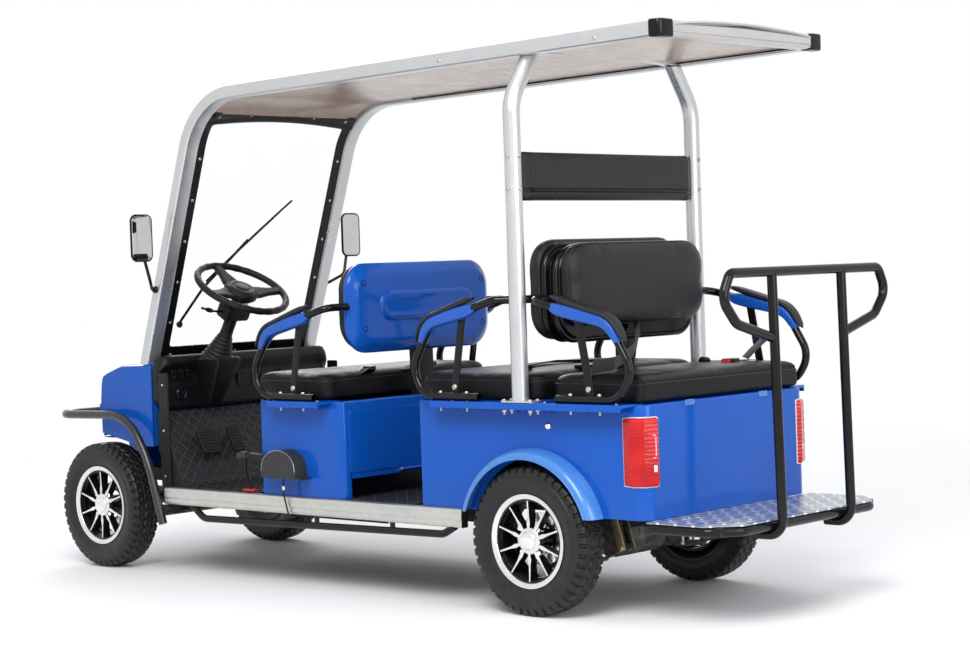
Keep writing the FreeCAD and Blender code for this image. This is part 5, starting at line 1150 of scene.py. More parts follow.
def build_cushion(name, node, body, front, rear, low, high, radii):
    """A seat cushion with a boxed side band, a piped top seam and a low crown."""
    half = BODY_HALF - 0.006
    front, rear = front + 0.005, rear - 0.005
    seam = high - 0.017
    steps = [(0.12, low + 0.0008), (0.01, low + 0.0008), (0.002, low + 0.004), (0.0, low + 0.014),
             (0.0, (low + seam) / 2), (0.001, seam - 0.004), (0.002, seam), (0.005, seam + 0.006),
             (0.012, high - 0.005), (0.024, high - 0.0015), (0.05, high), (0.1, high + 0.001), (0.16, high + 0.0015)]
    rings = seat_rings(half, front, rear, radii, steps)
    solid = Solid()
    solid.grid(rings, around=True).fan(rings[0]).fan(rings[-1])
    # The cushion finish is the seat cover darkened as painted shade.
    cushion = solid.piece(name, "cushion", body=body, replaces=(node,), slot="black_leatherette")
    puffed(cushion, 0.0065, 0.009, lambda p: np.clip((p[:, 2] - low - 0.004) / 0.02, 0, 1), (0.2, 0.2, 1.0))
    middle = (front + rear) / 2

    def groove(p):
        """A piped side seam and two welts along the top, each a bell of the distance to it."""
        side = near(p[:, 2], seam, 0.0035) * (p[:, 2] < seam + 0.012)
        top = np.clip((p[:, 2] - high + 0.006) / 0.004, 0, 1)
        welt = near(np.abs(p[:, 0]), 0.215, 0.006) * top * (np.abs(p[:, 1] - middle) < (rear - front) / 2 - 0.05)
        return 0.0024 * side + 0.0022 * welt

    finish_cover(cushion, groove)
    ring = seat_rings(half + 0.0035, front - 0.0035, rear + 0.0035, radii, [(0.0, seam + 0.001)])[0]
    piping(name + "_piping", ring, cushion, body)


def panel_pad(name, node, half, low, high, corner, face_y, back_y, thickness_seam, body="chassis",
              material="leather"):
    """An upright pad: a rounded rectangle carried from its back seam to a crowned face."""
    facing = 1.0 if face_y > back_y else -1.0
    depth = abs(face_y - back_y)
    middle = (low + high) / 2
    solid = Solid()
    to_point = standing(back_y, middle, facing=facing)
    profile = [(0.1, 0.0008), (0.012, 0.0008), (0.003, 0.003), (0.0, 0.01), (0.0, depth * 0.55),
               (0.002, depth - 0.014), (0.007, depth - 0.006), (0.018, depth - 0.002), (0.04, depth - 0.0005),
               (0.09, depth), (0.13, depth)]
    outline_shell(solid, half - 0.003, (high - low) / 2 - 0.003, corner, profile, to_point, steps=10)
    pad = solid.piece(name, material, body=body, replaces=(node,) if node else (), slot="black_leatherette")
    puffed(pad, 0.0065, 0.008, lambda p: np.clip(np.abs(p[:, 1] - AXLE_Y - back_y) / 0.02 - 0.2, 0, 1),
           (0.12, 1.0, 0.12))
    seam_y = back_y + facing * (depth - thickness_seam)

    def groove(p):
        """A seam round the pad: a bell of the distance to its plane."""
        edge = np.maximum(np.abs(p[:, 0]) - half, np.abs(p[:, 2] - middle) - (high - low) / 2)
        return 0.0022 * near(p[:, 1], seam_y, 0.003) * (edge > -0.03)

    finish_cover(pad, groove)
    ring = to_point(rounded_box(half - 0.001, (high - low) / 2 - 0.001, corner, 10), facing * (seam_y - back_y))
    piping(name + "_piping", ring, pad, body, 0.0022)


def build_front_shell():
    """Front back shell: a rounded rectangle with a wide bevel, a stadium boss and sunk bolts."""
    solid = Solid()
    low, high = 0.815, 1.128
    middle = (low + high) / 2
    front = -0.912
    to_point = standing(front, middle)
    profile = [(0.06, 0.0006), (0.004, 0.0006), (0.0, 0.004), (0.0, 0.016), (0.002, 0.0195), (0.01, 0.0265),
               (0.03, 0.04), (0.036, 0.0432), (0.044, 0.0452), (0.054, 0.0458), (0.09, 0.046), (0.14, 0.046)]
    outline_shell(solid, 0.36, (high - low) / 2, 0.095, profile, to_point, steps=14)
    boss_middle = 0.978
    boss_point = standing(-0.868, boss_middle, -0.012)
    boss = [(0.0, 0.0), (0.0005, 0.003), (0.0035, 0.0075), (0.01, 0.0115), (0.013, 0.0125), (0.018, 0.0128),
            (0.022, 0.0118), (0.03, 0.0112), (0.048, 0.0112)]
    outline_shell(solid, 0.24, 0.053, 0.0525, boss, boss_point, steps=16)
    solid.piece("back_shell", "paint", replaces=("front_backrest_shell",), slot="blue_paint", sharp=50)
    bolts = Solid()
    cups = Solid()
    for x in (-0.3, 0.3):
        for z in (0.9, 1.06):
            rings = turned([(0.0105, -0.001), (0.011, 0.0008), (0.0095, 0.001), (0.008, -0.0005), (0.0078, -0.006),
                            (0.002, -0.006)], (x, -0.8662, z), Y_AXIS, 24)
            cups.capped(rings)
            bolt_head(bolts, (x, -0.8722, z), Y_AXIS, 0.0058, 0.004)
    cups.piece("shell_bolt_cups", "smooth_plastic", slot="black_plastic")
    bolts.piece("shell_bolts", "bolt", slot="dark_steel")


def build_rear_shells():
    """Rear back shells: two nested rounded tubs between the pads, each with a rolled edge."""
    solid = Solid()
    low, high = 0.864, 1.166
    middle = (low + high) / 2
    to_point = standing(-0.0077, middle)
    profile = [(0.02, 0.0), (0.004, 0.0), (0.0, 0.004), (0.0, 0.012), (0.004, 0.016), (0.012, 0.018), (0.014, 0.022),
               (0.014, 0.04), (0.012, 0.046), (0.003, 0.05), (0.0, 0.055), (0.0, 0.063), (0.004, 0.0685),
               (0.02, 0.0688)]
    outline_shell(solid, 0.346, (high - low) / 2, 0.095, profile, to_point, steps=12)
    solid.bar([(0.0, 0.038, 0.671), (0.0, 0.038, 0.875)], rounded_box(0.004, 0.045, 0.002), X_AXIS)
    solid.piece("rear_back_shells", "smooth_plastic", replaces=("backrest_frames",), slot="black_plastic", sharp=40)
    hoops = Solid()
    for y, half, bottom, top, corner in ((0.004, 0.352, 0.862, 1.162, 0.085), (0.048, 0.349, 0.86, 1.15, 0.08)):
        ring = rounded_box(half, (top - bottom) / 2, corner, 12)
        path = xyz(ring[:, 0], y, ring[:, 1] + (top + bottom) / 2)
        hoops.grid(swept(path, circle(0.009, 14), Y_AXIS, closed=True), around=True, along=True)
    hoops.piece("back_hoops", "gloss_black", slot="black_tube")


def build_seat_brackets():
    """The front backrest's bent foot plates and the belt slots in them."""
    solid = Solid()
    line = filleted([(0, -0.894, 0.656), (0, -0.894, 0.735), (0, -0.896, 0.815)], [0, 0.02, 0])
    for x in (-0.036, 0.036):
        solid.capped(swept(line + (x, 0, 0), rounded_box(0.018, 0.0045, 0.002), X_AXIS)[:, ::-1])
    solid.bar([(0, -0.878, 0.657), (0, -0.878, 0.816)], rounded_box(0.0025, 0.044, 0.002), X_AXIS)
    solid.bar([(0, -0.9, 0.728), (0, -0.884, 0.818)], rounded_box(0.004, 0.04, 0.002), X_AXIS)
    solid.piece("back_foot_plates", "frame_black", replaces=("front_back_bracket",), slot="black_frame")


# Armrests

ARM_X = 0.47


def arm_points(inner_y, facing, level, reach, rise):
    """Middle line of an armrest: foot, heel, knee and head as (y, z)."""
    runs = ((0.0, 0.0), (0.242, 0.0), (0.295, 0.088), (0.21, 0.231))
    return [(inner_y + facing * run * reach, level + up * rise) for run, up in runs]


ARMS = (
    ("front", -0.956, -1, BOX_TOP + 0.016, 1.06, 0.96, -0.066, ((0.3603, None),)),
    ("middle", -0.183, -1, BODY_TOP + 0.016, 1.0, 1.0, -0.068, ((0.405, -0.034), (0.3663, -0.034))),
    ("rear", 0.141, 1, BODY_TOP + 0.016, 1.02, 1.0, -0.099, ((0.3463, None),)),
)


def arm_path(arm):
    """An armrest tube's middle line, rounded at its bends."""
    inner, facing, level, reach, rise, wrist_run, ends = arm[1:]
    line = [(ARM_X, y, z) for y, z in arm_points(inner, facing, level, reach, rise)]
    wrist = (inner + facing * wrist_run, level + 0.308)
    line.append((ARM_X, wrist[0], wrist[1]))
    line += [(x, wrist[0] if y is None else y, wrist[1]) for x, y in ends]
    radii = [0, 0.078, 0.078, 0.09] + [0.045] * len(ends) + [0]
    return line, radii, wrist


def between(a, b, share):
    """The point at the given share of the way from a to b."""
    return tuple(p + (q - p) * share for p, q in zip(a, b))


def build_armrest(arm):
    """One pair of armrests: bent tube with an open foot, flat bar, bolts, blue band and pad."""
    name, inner, facing, level = arm[:4]
    line, radii, wrist = arm_path(arm)
    radius = sizes().arm_tube
    path = filleted(line, radii, 10)
    solid = Solid()
    tube = swept(path, circle(radius, sizes().tube_steps))
    hole = np.stack([tube[0] * 0.16 + tube[0].mean(0) * 0.84 + (0, facing * 0.03, 0),
                     tube[0] * 0.84 + tube[0].mean(0) * 0.16 + (0, facing * 0.03, 0),
                     tube[0] * 0.84 + tube[0].mean(0) * 0.16])
    solid.grid(np.concatenate([hole, tube]), around=True).fan(hole[0]).fan(tube[-1])
    bar_foot = inner + facing * 0.122
    bar_head = inner + facing * 0.078
    head_line = line[3]
    share = (bar_head - head_line[1]) / (wrist[0] - head_line[1])
    head_z = head_line[2] + (wrist[1] - head_line[2]) * share
    x = ARM_X - radius - 0.003
    bar = np.array([(x, bar_foot, level - 0.01), (x, bar_foot - facing * 0.006, level + 0.05), (x, bar_head, head_z)])
    solid.capped(swept(bar, rounded_box(0.003, 0.015, 0.0025), Y_AXIS)[:, ::-1])
    solid.pair(name + "_arm_tubes", "gloss_black", replaces=(name + "_armrests",), slot="black_tube")
    bolts = Solid()
    bolt_head(bolts, (x + 0.003, bar_foot - facing * 0.004, level + 0.03), X_AXIS, 0.0095, 0.005)
    for run in (0.055, 0.17):
        y = inner + facing * run
        bolt_head(bolts, (ARM_X, y, level + radius - 0.001), Z_AXIS, 0.0065, 0.006)
        bolts.bar([(ARM_X, y, level - 0.02), (ARM_X, y, level - 0.047)], circle(0.0035, 10), X_AXIS)
        bolts.bar([(ARM_X, y, level - 0.0195), (ARM_X, y, level - 0.0265)], circle(0.0065, 6), X_AXIS)
    bolts.pair(name + "_arm_bolts", "bolt", slot="dark_steel")
    build_arm_pad(name, line, wrist, facing)


def build_arm_pad(name, line, wrist, facing):
    """The grip over the tube's upper run: a blue band below and a padded black top.

    Both follow the line through the knee, head and wrist. Their section is a rounded
    rectangle whose thickness swells from both ends as the square root of a sine.
    """
    knee, head = line[2][1:], line[3][1:]
    start = between(knee, head, 0.52)
    end = between(head, wrist, 0.74)
    path = filleted([(ARM_X, *start), (ARM_X, *head), (ARM_X, *end)], [0, 0.08, 0], 22)
    count = 44
    share = np.linspace(0, 1, count)
    even = evenly(path, share)
    ahead = headings(even)
    out = np.cross(ahead, X_AXIS) * facing
    out *= np.sign(out[count // 2, 2]) or 1.0
    taper = np.clip(np.sin(np.clip(share, 0.004, 0.996) * PI), 0, 1) ** 0.32
    blunt = np.sqrt(np.clip(1 - ((share - 0.06) / 0.06).clip(-1, 0) ** 2, 0, 1))
    swell = np.minimum(taper, 1) * np.maximum(blunt, 0.12)
    for label, low, high, wide, material, slot in (
            ("band", -0.015, 0.02, 0.0245, "blue_band", "blue_paint"),
            ("pad", 0.018, 0.034, 0.025, "trim_leather", "black_leatherette")):
        section = rounded_box(wide, (high - low) / 2, 0.009, 5)
        middle = (low + high) / 2
        grow = np.clip((share - 0.4) / 0.5, 0, 1) ** 1.5
        droop = 0.005 * grow * (1 if label == "band" else -1)
        base = np.clip(middle, 0.004, None)
        body = (middle - base + section[None, :, 1]) * (1 + 0.45 * grow)[:, None]
        thick = base + body * np.maximum(swell, 0.05)[:, None] - droop[:, None]
        across = section[None, :, 0] * np.maximum(swell, 0.1)[:, None]
        grid = even[:, None] + thick[..., None] * out[:, None] + across[..., None] * X_AXIS
        solid = Solid()
        solid.capped(grid)
        solid.copies([MIRROR])
        replaced = ("armrest_pads",) if label == "pad" and name == "front" else ()
        pad = solid.piece(name + "_arm_" + label, material, replaces=replaced, slot=slot, sharp=50)


# Roof

POST_Y = -0.012
ROOF_HALF = 0.3675
ROOF_FOOT, ROOF_FRONT, ROOF_REAR = (-1.962, 0.776), (-1.617, 1.778), (0.552, 1.818)
ROOF_CLIMB = 0.04 / 2.169


def roof_line(steps=14):
    """The roof's top line in side view: a leaning pillar, a bend and a shallow climb to the rear."""
    return filleted([ROOF_FOOT, ROOF_FRONT, ROOF_REAR], [0, 0.3, 0], steps)


def roof_top(y):
    """Height of the roof's upper face, which rises evenly to the rear."""
    return ROOF_FRONT[1] + (y - ROOF_FRONT[0]) * ROOF_CLIMB


def build_roof_sides():
    """Pillar and rail in one: a hollow-looking moulding carried along the roof line."""
    solid = Solid()
    line = roof_line(18)
    ahead = headings(line)
    under = np.stack([ahead[:, 1], -ahead[:, 0]], -1)
    section = filleted([(0.368, 0.0), (0.368, 0.047), (0.43, 0.047), (0.43, 0.0)], [0.004, 0.006, 0.01, 0.013],
                       5, closed=True)
    grid = xyz(section[:, 0], line[:, :1] + under[:, :1] * section[:, 1], line[:, 1:] + under[:, 1:] * section[:, 1])
    foot = grid[0]
    slope = (line[1] - line[0]) / np.linalg.norm(line[1] - line[0])
    slide = (0.7765 - foot[:, 2]) / slope[1]
    grid[0] = foot + xyz(0, slide * slope[0], slide * slope[1])
    grid[-1] -= (0.0, 0.022, 0.022 * ROOF_CLIMB)
    solid.capped(grid)
    solid.pair("roof_side_mouldings", "aluminium", replaces=("roof_sides",), slot="roof_aluminium", sharp=40)
    caps, rear = Solid(), Solid()
    z = roof_top(ROOF_REAR[0])
    plan = filleted([(0.366, 0.51), (0.4336, 0.51), (0.4336, 0.5545), (0.366, 0.5545)], [0.002, 0.004, 0.02, 0.003],
                    6, closed=True)
    middle = plan.mean(0)
    rows = [xyz(*(middle + (plan - middle) * s).T, z + d) for s, d in ((0.8, -0.052), (0.94, -0.0505), (1.0, -0.044),
                                                                       (1.0, -0.005), (0.96, 0.0005), (0.84, 0.0022))]
    caps.capped(rows)
    caps.pair("roof_end_caps", "smooth_plastic", slot="black_plastic", sharp=40)
    section = filleted([(0.506, z - 0.0495), (0.552, z - 0.047), (0.552, z + 0.001), (0.506, z + 0.0005)],
                       [0.004, 0.016, 0.016, 0.004], 6, closed=True)
    rear.capped([xyz(x, *section.T) for x in (-0.369, 0.369)])
    rear.piece("roof_rear_moulding", "aluminium", slot="roof_aluminium", sharp=40)
    seals = Solid()
    run = [(0.3665, y, roof_top(y) - 0.0372) for y in np.linspace(-1.25, 0.5, 24)]
    seals.bar(run, circle(0.0042, 10))
    seals.pair("roof_seals", "rubber", slot="black_rubber")


def build_roof_panel():
    """Roof skin crowned across its width, with three shallow lengthwise swages, and its lining."""
    line = roof_line(18)
    along = lengths_of(line)
    first = np.interp(1.722, line[:, 1], along)
    run = np.concatenate([np.linspace(first, along[-1] - 1.9, 20)[:-1], np.linspace(along[-1] - 1.9, along[-1], 34)])
    y, z = np.interp(run, along, line[:, 0]), np.interp(run, along, line[:, 1])
    ahead = headings(np.stack([y, z], -1))
    up = np.stack([-ahead[:, 1], ahead[:, 0]], -1)
    x = np.linspace(-ROOF_HALF, ROOF_HALF, 61)
    crown = 0.02 * (1 - (x / ROOF_HALF) ** 2) ** 0.8
    swage = sum(0.0022 * (np.clip((0.03 - np.abs(x - place)) / 0.008, 0, 1)) for place in (-0.2, 0.0, 0.2))
    fade = np.clip((run - run[0]) / 0.25, 0, 1) * np.clip((run[-1] - run) / 0.06, 0, 1)
    top = -0.0095 + crown[None] + swage[None] * fade[:, None]
    bottom = -0.015 + crown[None] + 0 * top

    def skin(rise):
        """The roof's surface raised from its line by a rise for each point."""
        return xyz(x, y[:, None] + up[:, :1] * rise, z[:, None] + up[:, 1:] * rise)

    over, lower = skin(top), skin(bottom)
    ring = np.concatenate([over, lower[:, ::-1]], 1)
    Solid().capped(ring).piece("roof_skin", "roof_skin", replaces=("roof_panel",), slot="roof_aluminium", sharp=30)
    lining = Solid()
    lower, upper = skin(0 * top - 0.0365), skin(0 * top - 0.034)
    lining.capped(np.concatenate([upper, lower[:, ::-1]], 1))
    lining.piece("roof_lining", "ceiling", slot="roof_aluminium", sharp=30)
    beams = Solid()
    for at in (POST_Y, 0.53):
        level = roof_top(at) - 0.047
        across = np.linspace(-0.367, 0.367, 25)
        lift = 0.018 * (1 - (across / ROOF_HALF) ** 2)
        path = xyz(across, at, level + 0.013 + lift * 0.75)
        beams.bar(path, rounded_box(0.021, 0.012, 0.003), Z_AXIS)
    beams.piece("roof_cross_beams", "aluminium", replaces=("roof_beams",), slot="black_frame")


def build_roof_posts():
    """Roof posts with foot plates and bolts."""
    solid = Solid()
    radius = sizes().post_tube
    line = [(0.466, POST_Y, 0.679), (0.466, POST_Y, 1.62), (0.368, POST_Y, 1.765)]
    path = filleted(line, [0, 0.15, 0], 14)
    top = roof_top(POST_Y) - 0.048
    path = path[path[:, 2] < top - 0.012]
    last = path[-1]
    end = np.array((last[0] - (top - 0.008 - last[2]) * 0.676, POST_Y, top - 0.008))
    path = np.vstack([path, end])
    rings = swept(path, circle(radius, 32), Y_AXIS)
    cut = rings[-1]
    cut[:, 0] += (cut[:, 2] - (top - 0.0005)) * 0.676
    cut[:, 2] = top - 0.0005
    solid.capped(rings)
    solid.pair("roof_post_tubes", "aluminium", replaces=("roof_posts",), slot="roof_aluminium")
    base = Solid()
    outline_shell(base, 0.0295, 0.065, 0.01, [(0.002, 0.0), (0.0, 0.0005), (0.0, 0.004), (0.0012, 0.0052),
                                              (0.006, 0.0055)], lying(0.4635, POST_Y, 0.6742), 5)
    base.pair("post_foot_plates", "aluminium", slot="roof_aluminium")
    bolts = Solid()
    for y in (-0.066, 0.042):
        for x in (0.447, 0.483):
            bolt_head(bolts, (x, y, 0.679), Z_AXIS, 0.0075, 0.005)
            bolts.bar([(x, y, 0.6498), (x, y, 0.636)], circle(0.0038, 10), X_AXIS)
            bolts.bar([(x, y, 0.65), (x, y, 0.644)], circle(0.0072, 6), X_AXIS)
    for z in (1.342, 1.444):
        bolt_head(bolts, (0.4935, POST_Y, z), X_AXIS, 0.0075, 0.004)
        bolt_head(bolts, (0.466, POST_Y + 0.0275, z), Y_AXIS, 0.0065, 0.004)
    for y, z in ((-0.35, roof_top(-0.35) - 0.03), (0.3, roof_top(0.3) - 0.03)):
        bolt_head(bolts, (0.4295, y, z), X_AXIS, 0.007, 0.004)
    bolts.pair("post_bolts", "bolt", slot="dark_steel")


def build_headrest():
    """Full width headrest: a rounded bar cover with end seams."""
    half, low, high = 0.4385, 1.303, 1.46
    solid = Solid()
    to_point = standing(-0.0305, (low + high) / 2)
    profile = [(0.05, 0.0), (0.018, 0.0004), (0.007, 0.003), (0.0015, 0.009), (0.0, 0.017), (0.0, 0.021),
               (0.0015, 0.029), (0.007, 0.034), (0.018, 0.0366), (0.05, 0.037)]
    outline_shell(solid, half, (high - low) / 2, 0.024, profile, to_point, 10)
    pad = solid.piece("headrest_pad", "trim_leather", replaces=("headrest_bar",), slot="black_leatherette", sharp=60)
    puffed(pad, 0.006, 0.005, lambda p: np.clip((0.425 - np.abs(p[:, 0])) / 0.02, 0, 1), (0.2, 1.0, 0.3))

    def groove(p):
        """Two end seams and a lengthwise one, each a bell of the distance to it."""
        return 0.0022 * near(np.abs(p[:, 0]), 0.404, 0.003) + 0.005 * near(p[:, 2], low + 0.034, 0.005)

    finish_cover(pad, groove)
    Solid().bar([(-0.402, 0.0098, low + 0.034), (0.402, 0.0098, low + 0.034)],
                circle(0.0038, 10)).piece("headrest_welt", "trim_leather", slot="black_leatherette")


# Windshield

SCREEN_BACK = 0.037
SCREEN_HALF = 0.3672
SCREEN_BEND = 0.8497
SCREEN_RADIUS = 0.263


def screen_point(x, along, depth=0.0):
    """A point of the screen: up the pillar's slope, then round the roof's bend with a slight crown.

    along runs from the foot, depth towards the cabin; past the bend's start the point
    turns about the bend's centre by the arc's length over its radius.
    """
    slope = np.subtract(ROOF_FRONT, ROOF_FOOT)
    slope /= np.linalg.norm(slope)
    inward = np.array((slope[1], -slope[0]))
    base = ROOF_FOOT + inward * SCREEN_BACK
    x, along, depth = np.broadcast_arrays(np.asarray(x, float), np.asarray(along, float), np.asarray(depth, float))
    turn = np.clip(along - SCREEN_BEND, 0, None) / SCREEN_RADIUS
    crown = 0.02 * (1 - (x / SCREEN_HALF) ** 2) * np.clip(turn / 0.5, 0, 1)
    reach = SCREEN_RADIUS - depth + crown
    start = base + slope * np.minimum(along, SCREEN_BEND)[..., None] + inward * SCREEN_RADIUS
    flat = start + reach[..., None] * (slope * np.sin(turn)[..., None] - inward * np.cos(turn)[..., None])
    return xyz(x, flat[..., 0], flat[..., 1])


def build_windshield():
    """Screen frame strips, an arched head strip in the roof's bend, the glass and the frame's bolts."""
    foot, head = 0.022 / 0.9455 + 0.004, SCREEN_BEND + 0.165
    middle, half_run = (foot + head) / 2, (head - foot) / 2
    solid = Solid()
    outer = rounded_box(SCREEN_HALF, half_run, 0.022, 8)
    inner = rounded_box(SCREEN_HALF - 0.036, half_run - 0.052, 0.012, 8)
    inner, outer = divided(inner, outer), divided(outer, outer)
    arch = np.clip(inner[:, 1] / (half_run - 0.052), 0, 1) ** 3
    inner[:, 1] -= arch * 0.012 * (np.abs(inner[:, 0]) / (SCREEN_HALF - 0.036)) ** 2
    rows = []
    for ring, depth in ((outer, 0.0005), (outer, 0.0075), (outer * 0.9985, 0.0082), (inner * 1.002, 0.0082),
                        (inner, 0.0075), (inner, 0.0005)):
        rows.append(screen_point(ring[:, 0], middle + ring[:, 1], depth - 0.004))
    solid.grid(np.stack(rows), around=True, along=True)
    x = np.linspace(-0.3665, 0.3665, 41)
    arch = 0.024 * (1 - (x / 0.3665) ** 2)
    ring = [(-1.597, 1.657), (-1.5625, 1.717), (-1.5545, 1.7125), (-1.589, 1.6525)]
    solid.capped([[(a, y, z + lift) for y, z in ring] for a, lift in zip(x, arch)])
    solid.piece("screen_frame", "smooth_plastic", replaces=("windshield_frame",), slot="black_plastic", sharp=35)
    pane = Solid()
    x = np.linspace(-1, 1, 21) * (SCREEN_HALF - 0.018)
    x = np.concatenate([x, x[::-1]])
    depth = np.concatenate([np.full(21, -0.002), np.full(21, 0.002)])
    run = np.linspace(foot + 0.018, head - 0.018, 70)
    pane.capped(screen_point(x[None], run[:, None], depth[None]))
    pane.piece("screen_pane", "glass", replaces=("windshield_glass",), slot="clear_glass", sharp=50)
    bolts = Solid()
    places = [(x, along) for x in (-0.32, -0.16, 0.0, 0.16, 0.32) for along in (head - 0.026, foot + 0.02)]
    places += [(x, along) for x in (-0.349, 0.349) for along in np.linspace(foot + 0.15, head - 0.2, 5)]
    for x, along in places:
        normal = screen_point(x, along, 1.0) - screen_point(x, along, 0.0)
        bolt_head(bolts, screen_point(x, along, 0.004), normal, 0.0058, 0.003)
        if abs(x) < 0.33:
            bolt_head(bolts, screen_point(x, along, -0.0034), -normal, 0.0058, 0.003)
    for x in (-0.33, -0.11, 0.11, 0.33):
        lift = 0.024 * (1 - (x / 0.3665) ** 2)
        bolt_head(bolts, np.array((x, -1.5712, 1.6838 + lift)), np.array((0.0, 0.866, -0.5)), 0.0085, 0.004)
    bolts.piece("screen_bolts", "bolt", slot="dark_steel")


def build_wiper():
    """Wiper outside the screen: spindle boss, flat arm, blade carrier and rubber blade."""
    solid = Solid()
    front = -1.0
    out = -0.018
    pivot, knee, hold, tip = (0.29, 0.15), (0.2, 0.29), (0.02, 0.48), (-0.16, 0.64)
    normal = screen_point(0.0, 0.0, front) - screen_point(0.0, 0.0, 0.0)

    def at(point, depth):
        """A point of the wiper, given as (x, height up the screen) and a depth."""
        return screen_point(point[0], point[1] + 0.012, depth)

    solid.spun([(0.012, 0.0), (0.012, 0.006), (0.01, 0.012), (0.006, 0.014)], at(pivot, -0.0055), normal, 24)
    arm = filleted([at(pivot, out + 0.003), at(knee, out), at(hold, out + 0.001)], [0, 0.05, 0], 6)
    solid.bar(arm, rounded_box(0.0055, 0.0022, 0.001), normal)
    start = (hold[0] + (hold[0] - tip[0]), hold[1] - (tip[1] - hold[1]))
    blade = np.stack([at(between(start, tip, share), out + 0.0065 + 0.004 * (2 * share - 1) ** 2)
                      for share in np.linspace(0, 1, 17)])
    solid.bar(blade, rounded_box(0.004, 0.0018, 0.001), normal)
    solid.piece("wiper_arm", "frame_black", replaces=("wiper",), slot="black_frame")
    rubber = Solid()
    edge = np.stack([at(between(start, tip, share), out + 0.0105) for share in np.linspace(0.01, 0.99, 17)])
    rubber.bar(edge, rounded_box(0.0012, 0.0036, 0.0008), normal)
    rubber.piece("wiper_blade", "rubber", slot="black_rubber")


def build_mirrors():
    """Door mirrors: a domed shell, a rim, the glass facing the rear, and a bent arm with its clamp."""
    shell, glass = Solid(), Solid()
    middle_x, middle_z, half_x, half_z = 0.532, 1.2475, 0.05, 0.0875
    to_point = standing(-1.7825, middle_z, middle_x, -1.0)
    profile = [(0.008, 0.0035), (0.0055, 0.0012), (0.0035, 0.0002), (0.0015, 0.0008), (0.0, 0.003), (0.0005, 0.007),
               (0.0035, 0.0115), (0.01, 0.0148), (0.02, 0.0166), (0.034, 0.0172), (0.045, 0.0174)]
    outline_shell(shell, half_x, half_z, 0.026, profile, to_point, 10)
    shell.pair("mirror_shells", "smooth_plastic", replaces=("mirrors",), slot="black_plastic", sharp=45)
    outline_shell(glass, half_x - 0.0062, half_z - 0.0062, 0.02, [(0.0, 0.003), (0.0, 0.001), (0.001, 0.0006),
                                                                  (0.03, 0.0005)], to_point, 10)
    glass.pair("mirror_faces", "mirror", slot="clear_lens", sharp=60)
    arm = Solid()
    round_tube(arm, [(0.522, -1.798, 1.2), (0.494, -1.7935, 1.09), (0.448, -1.842, 1.056), (0.431, -1.842, 1.056)],
               [0, 0.03, 0.022, 0], 0.006, 16)
    arm.spun([(0.013, 0.0), (0.013, 0.006), (0.011, 0.01), (0.008, 0.012)], (0.4305, -1.842, 1.056), X_AXIS, 24)
    arm.spun([(0.007, -0.01), (0.0085, -0.008), (0.0085, 0.008), (0.007, 0.01)], (0.52, -1.798, 1.19),
             (0.25, 0, 0.97), 20)
    arm.pair("mirror_arms", "gloss_black", slot="black_tube")


# Cowl and dashboard

def cowl_line():
    """The cowl's outline in side view from its rear foot over the hood and the nose."""
    return [(-1.888, 0.776), (-2.08, 0.772), (-2.262, 0.716), (-2.3665, 0.61), (-2.354, 0.5), (-2.3, 0.3565)]


def build_cowl():
    """Front cowl: a crowned shell swept across the width, with a step, wheel arches and a folded foot.

    The hood's side profile is carried across the width and held behind the nose's plan
    arc by a soft maximum, and the arches cut the lower edge up to their own height.
    """
    solid = Solid()
    x = BODY_HALF * np.sin(np.linspace(-1, 1, 81) * PI / 2)
    top = filleted([(y, z) for y, z in cowl_line()], [0, 0.1, 0.06, 0.06, 0.05, 0], 8)
    profile = evenly(top, np.linspace(0, 1, 90))
    nose = -2.3665
    rise = 0.1765
    radius = (BODY_HALF ** 2 + rise ** 2) / (2 * rise)
    plan = nose + radius - np.sqrt(radius ** 2 - x ** 2)
    ledge = 0.02 * np.clip((0.632 - profile[:, 1]) / 0.012, 0, 1) * np.clip((profile[:, 1] - 0.566) / 0.01, 0, 1)
    gap = profile[None, :, 0] - plan[:, None] + ledge[None]
    soft = 0.022
    y = plan[:, None] - ledge[None] + (gap + np.sqrt(gap ** 2 + soft ** 2)) / 2
    drop = np.clip((np.abs(x) - (BODY_HALF - 0.03)) / 0.03, 0, 1) ** 2
    z = profile[None, :, 1] - 0.01 * drop[:, None] * (profile[None, :, 1] > 0.66)
    y = np.minimum(y, -1.8885)
    arch = np.abs(x) > 0.222
    low = np.where(arch, 0.5, 0.3565)
    z = np.maximum(z, low[:, None])
    lip_y = np.where(arch[:, None] & (z < 0.535), np.maximum(y, -2.206), y)
    points = xyz(x[:, None], lip_y, z)
    inner = points.copy()
    inner[..., 1] += 0.004
    inner[..., 2] = np.where(profile[None, :, 1] > 0.7, inner[..., 2] - 0.004, inner[..., 2])
    inner[..., 0] *= 0.99
    ring = np.concatenate([points, inner[:, ::-1]], 1)
    solid.capped(ring)
    build_cowl_sides(solid)
    solid.piece("cowl_shell", "paint", replaces=("front_cowl",), slot="blue_paint", sharp=35)
    build_cowl_trim()


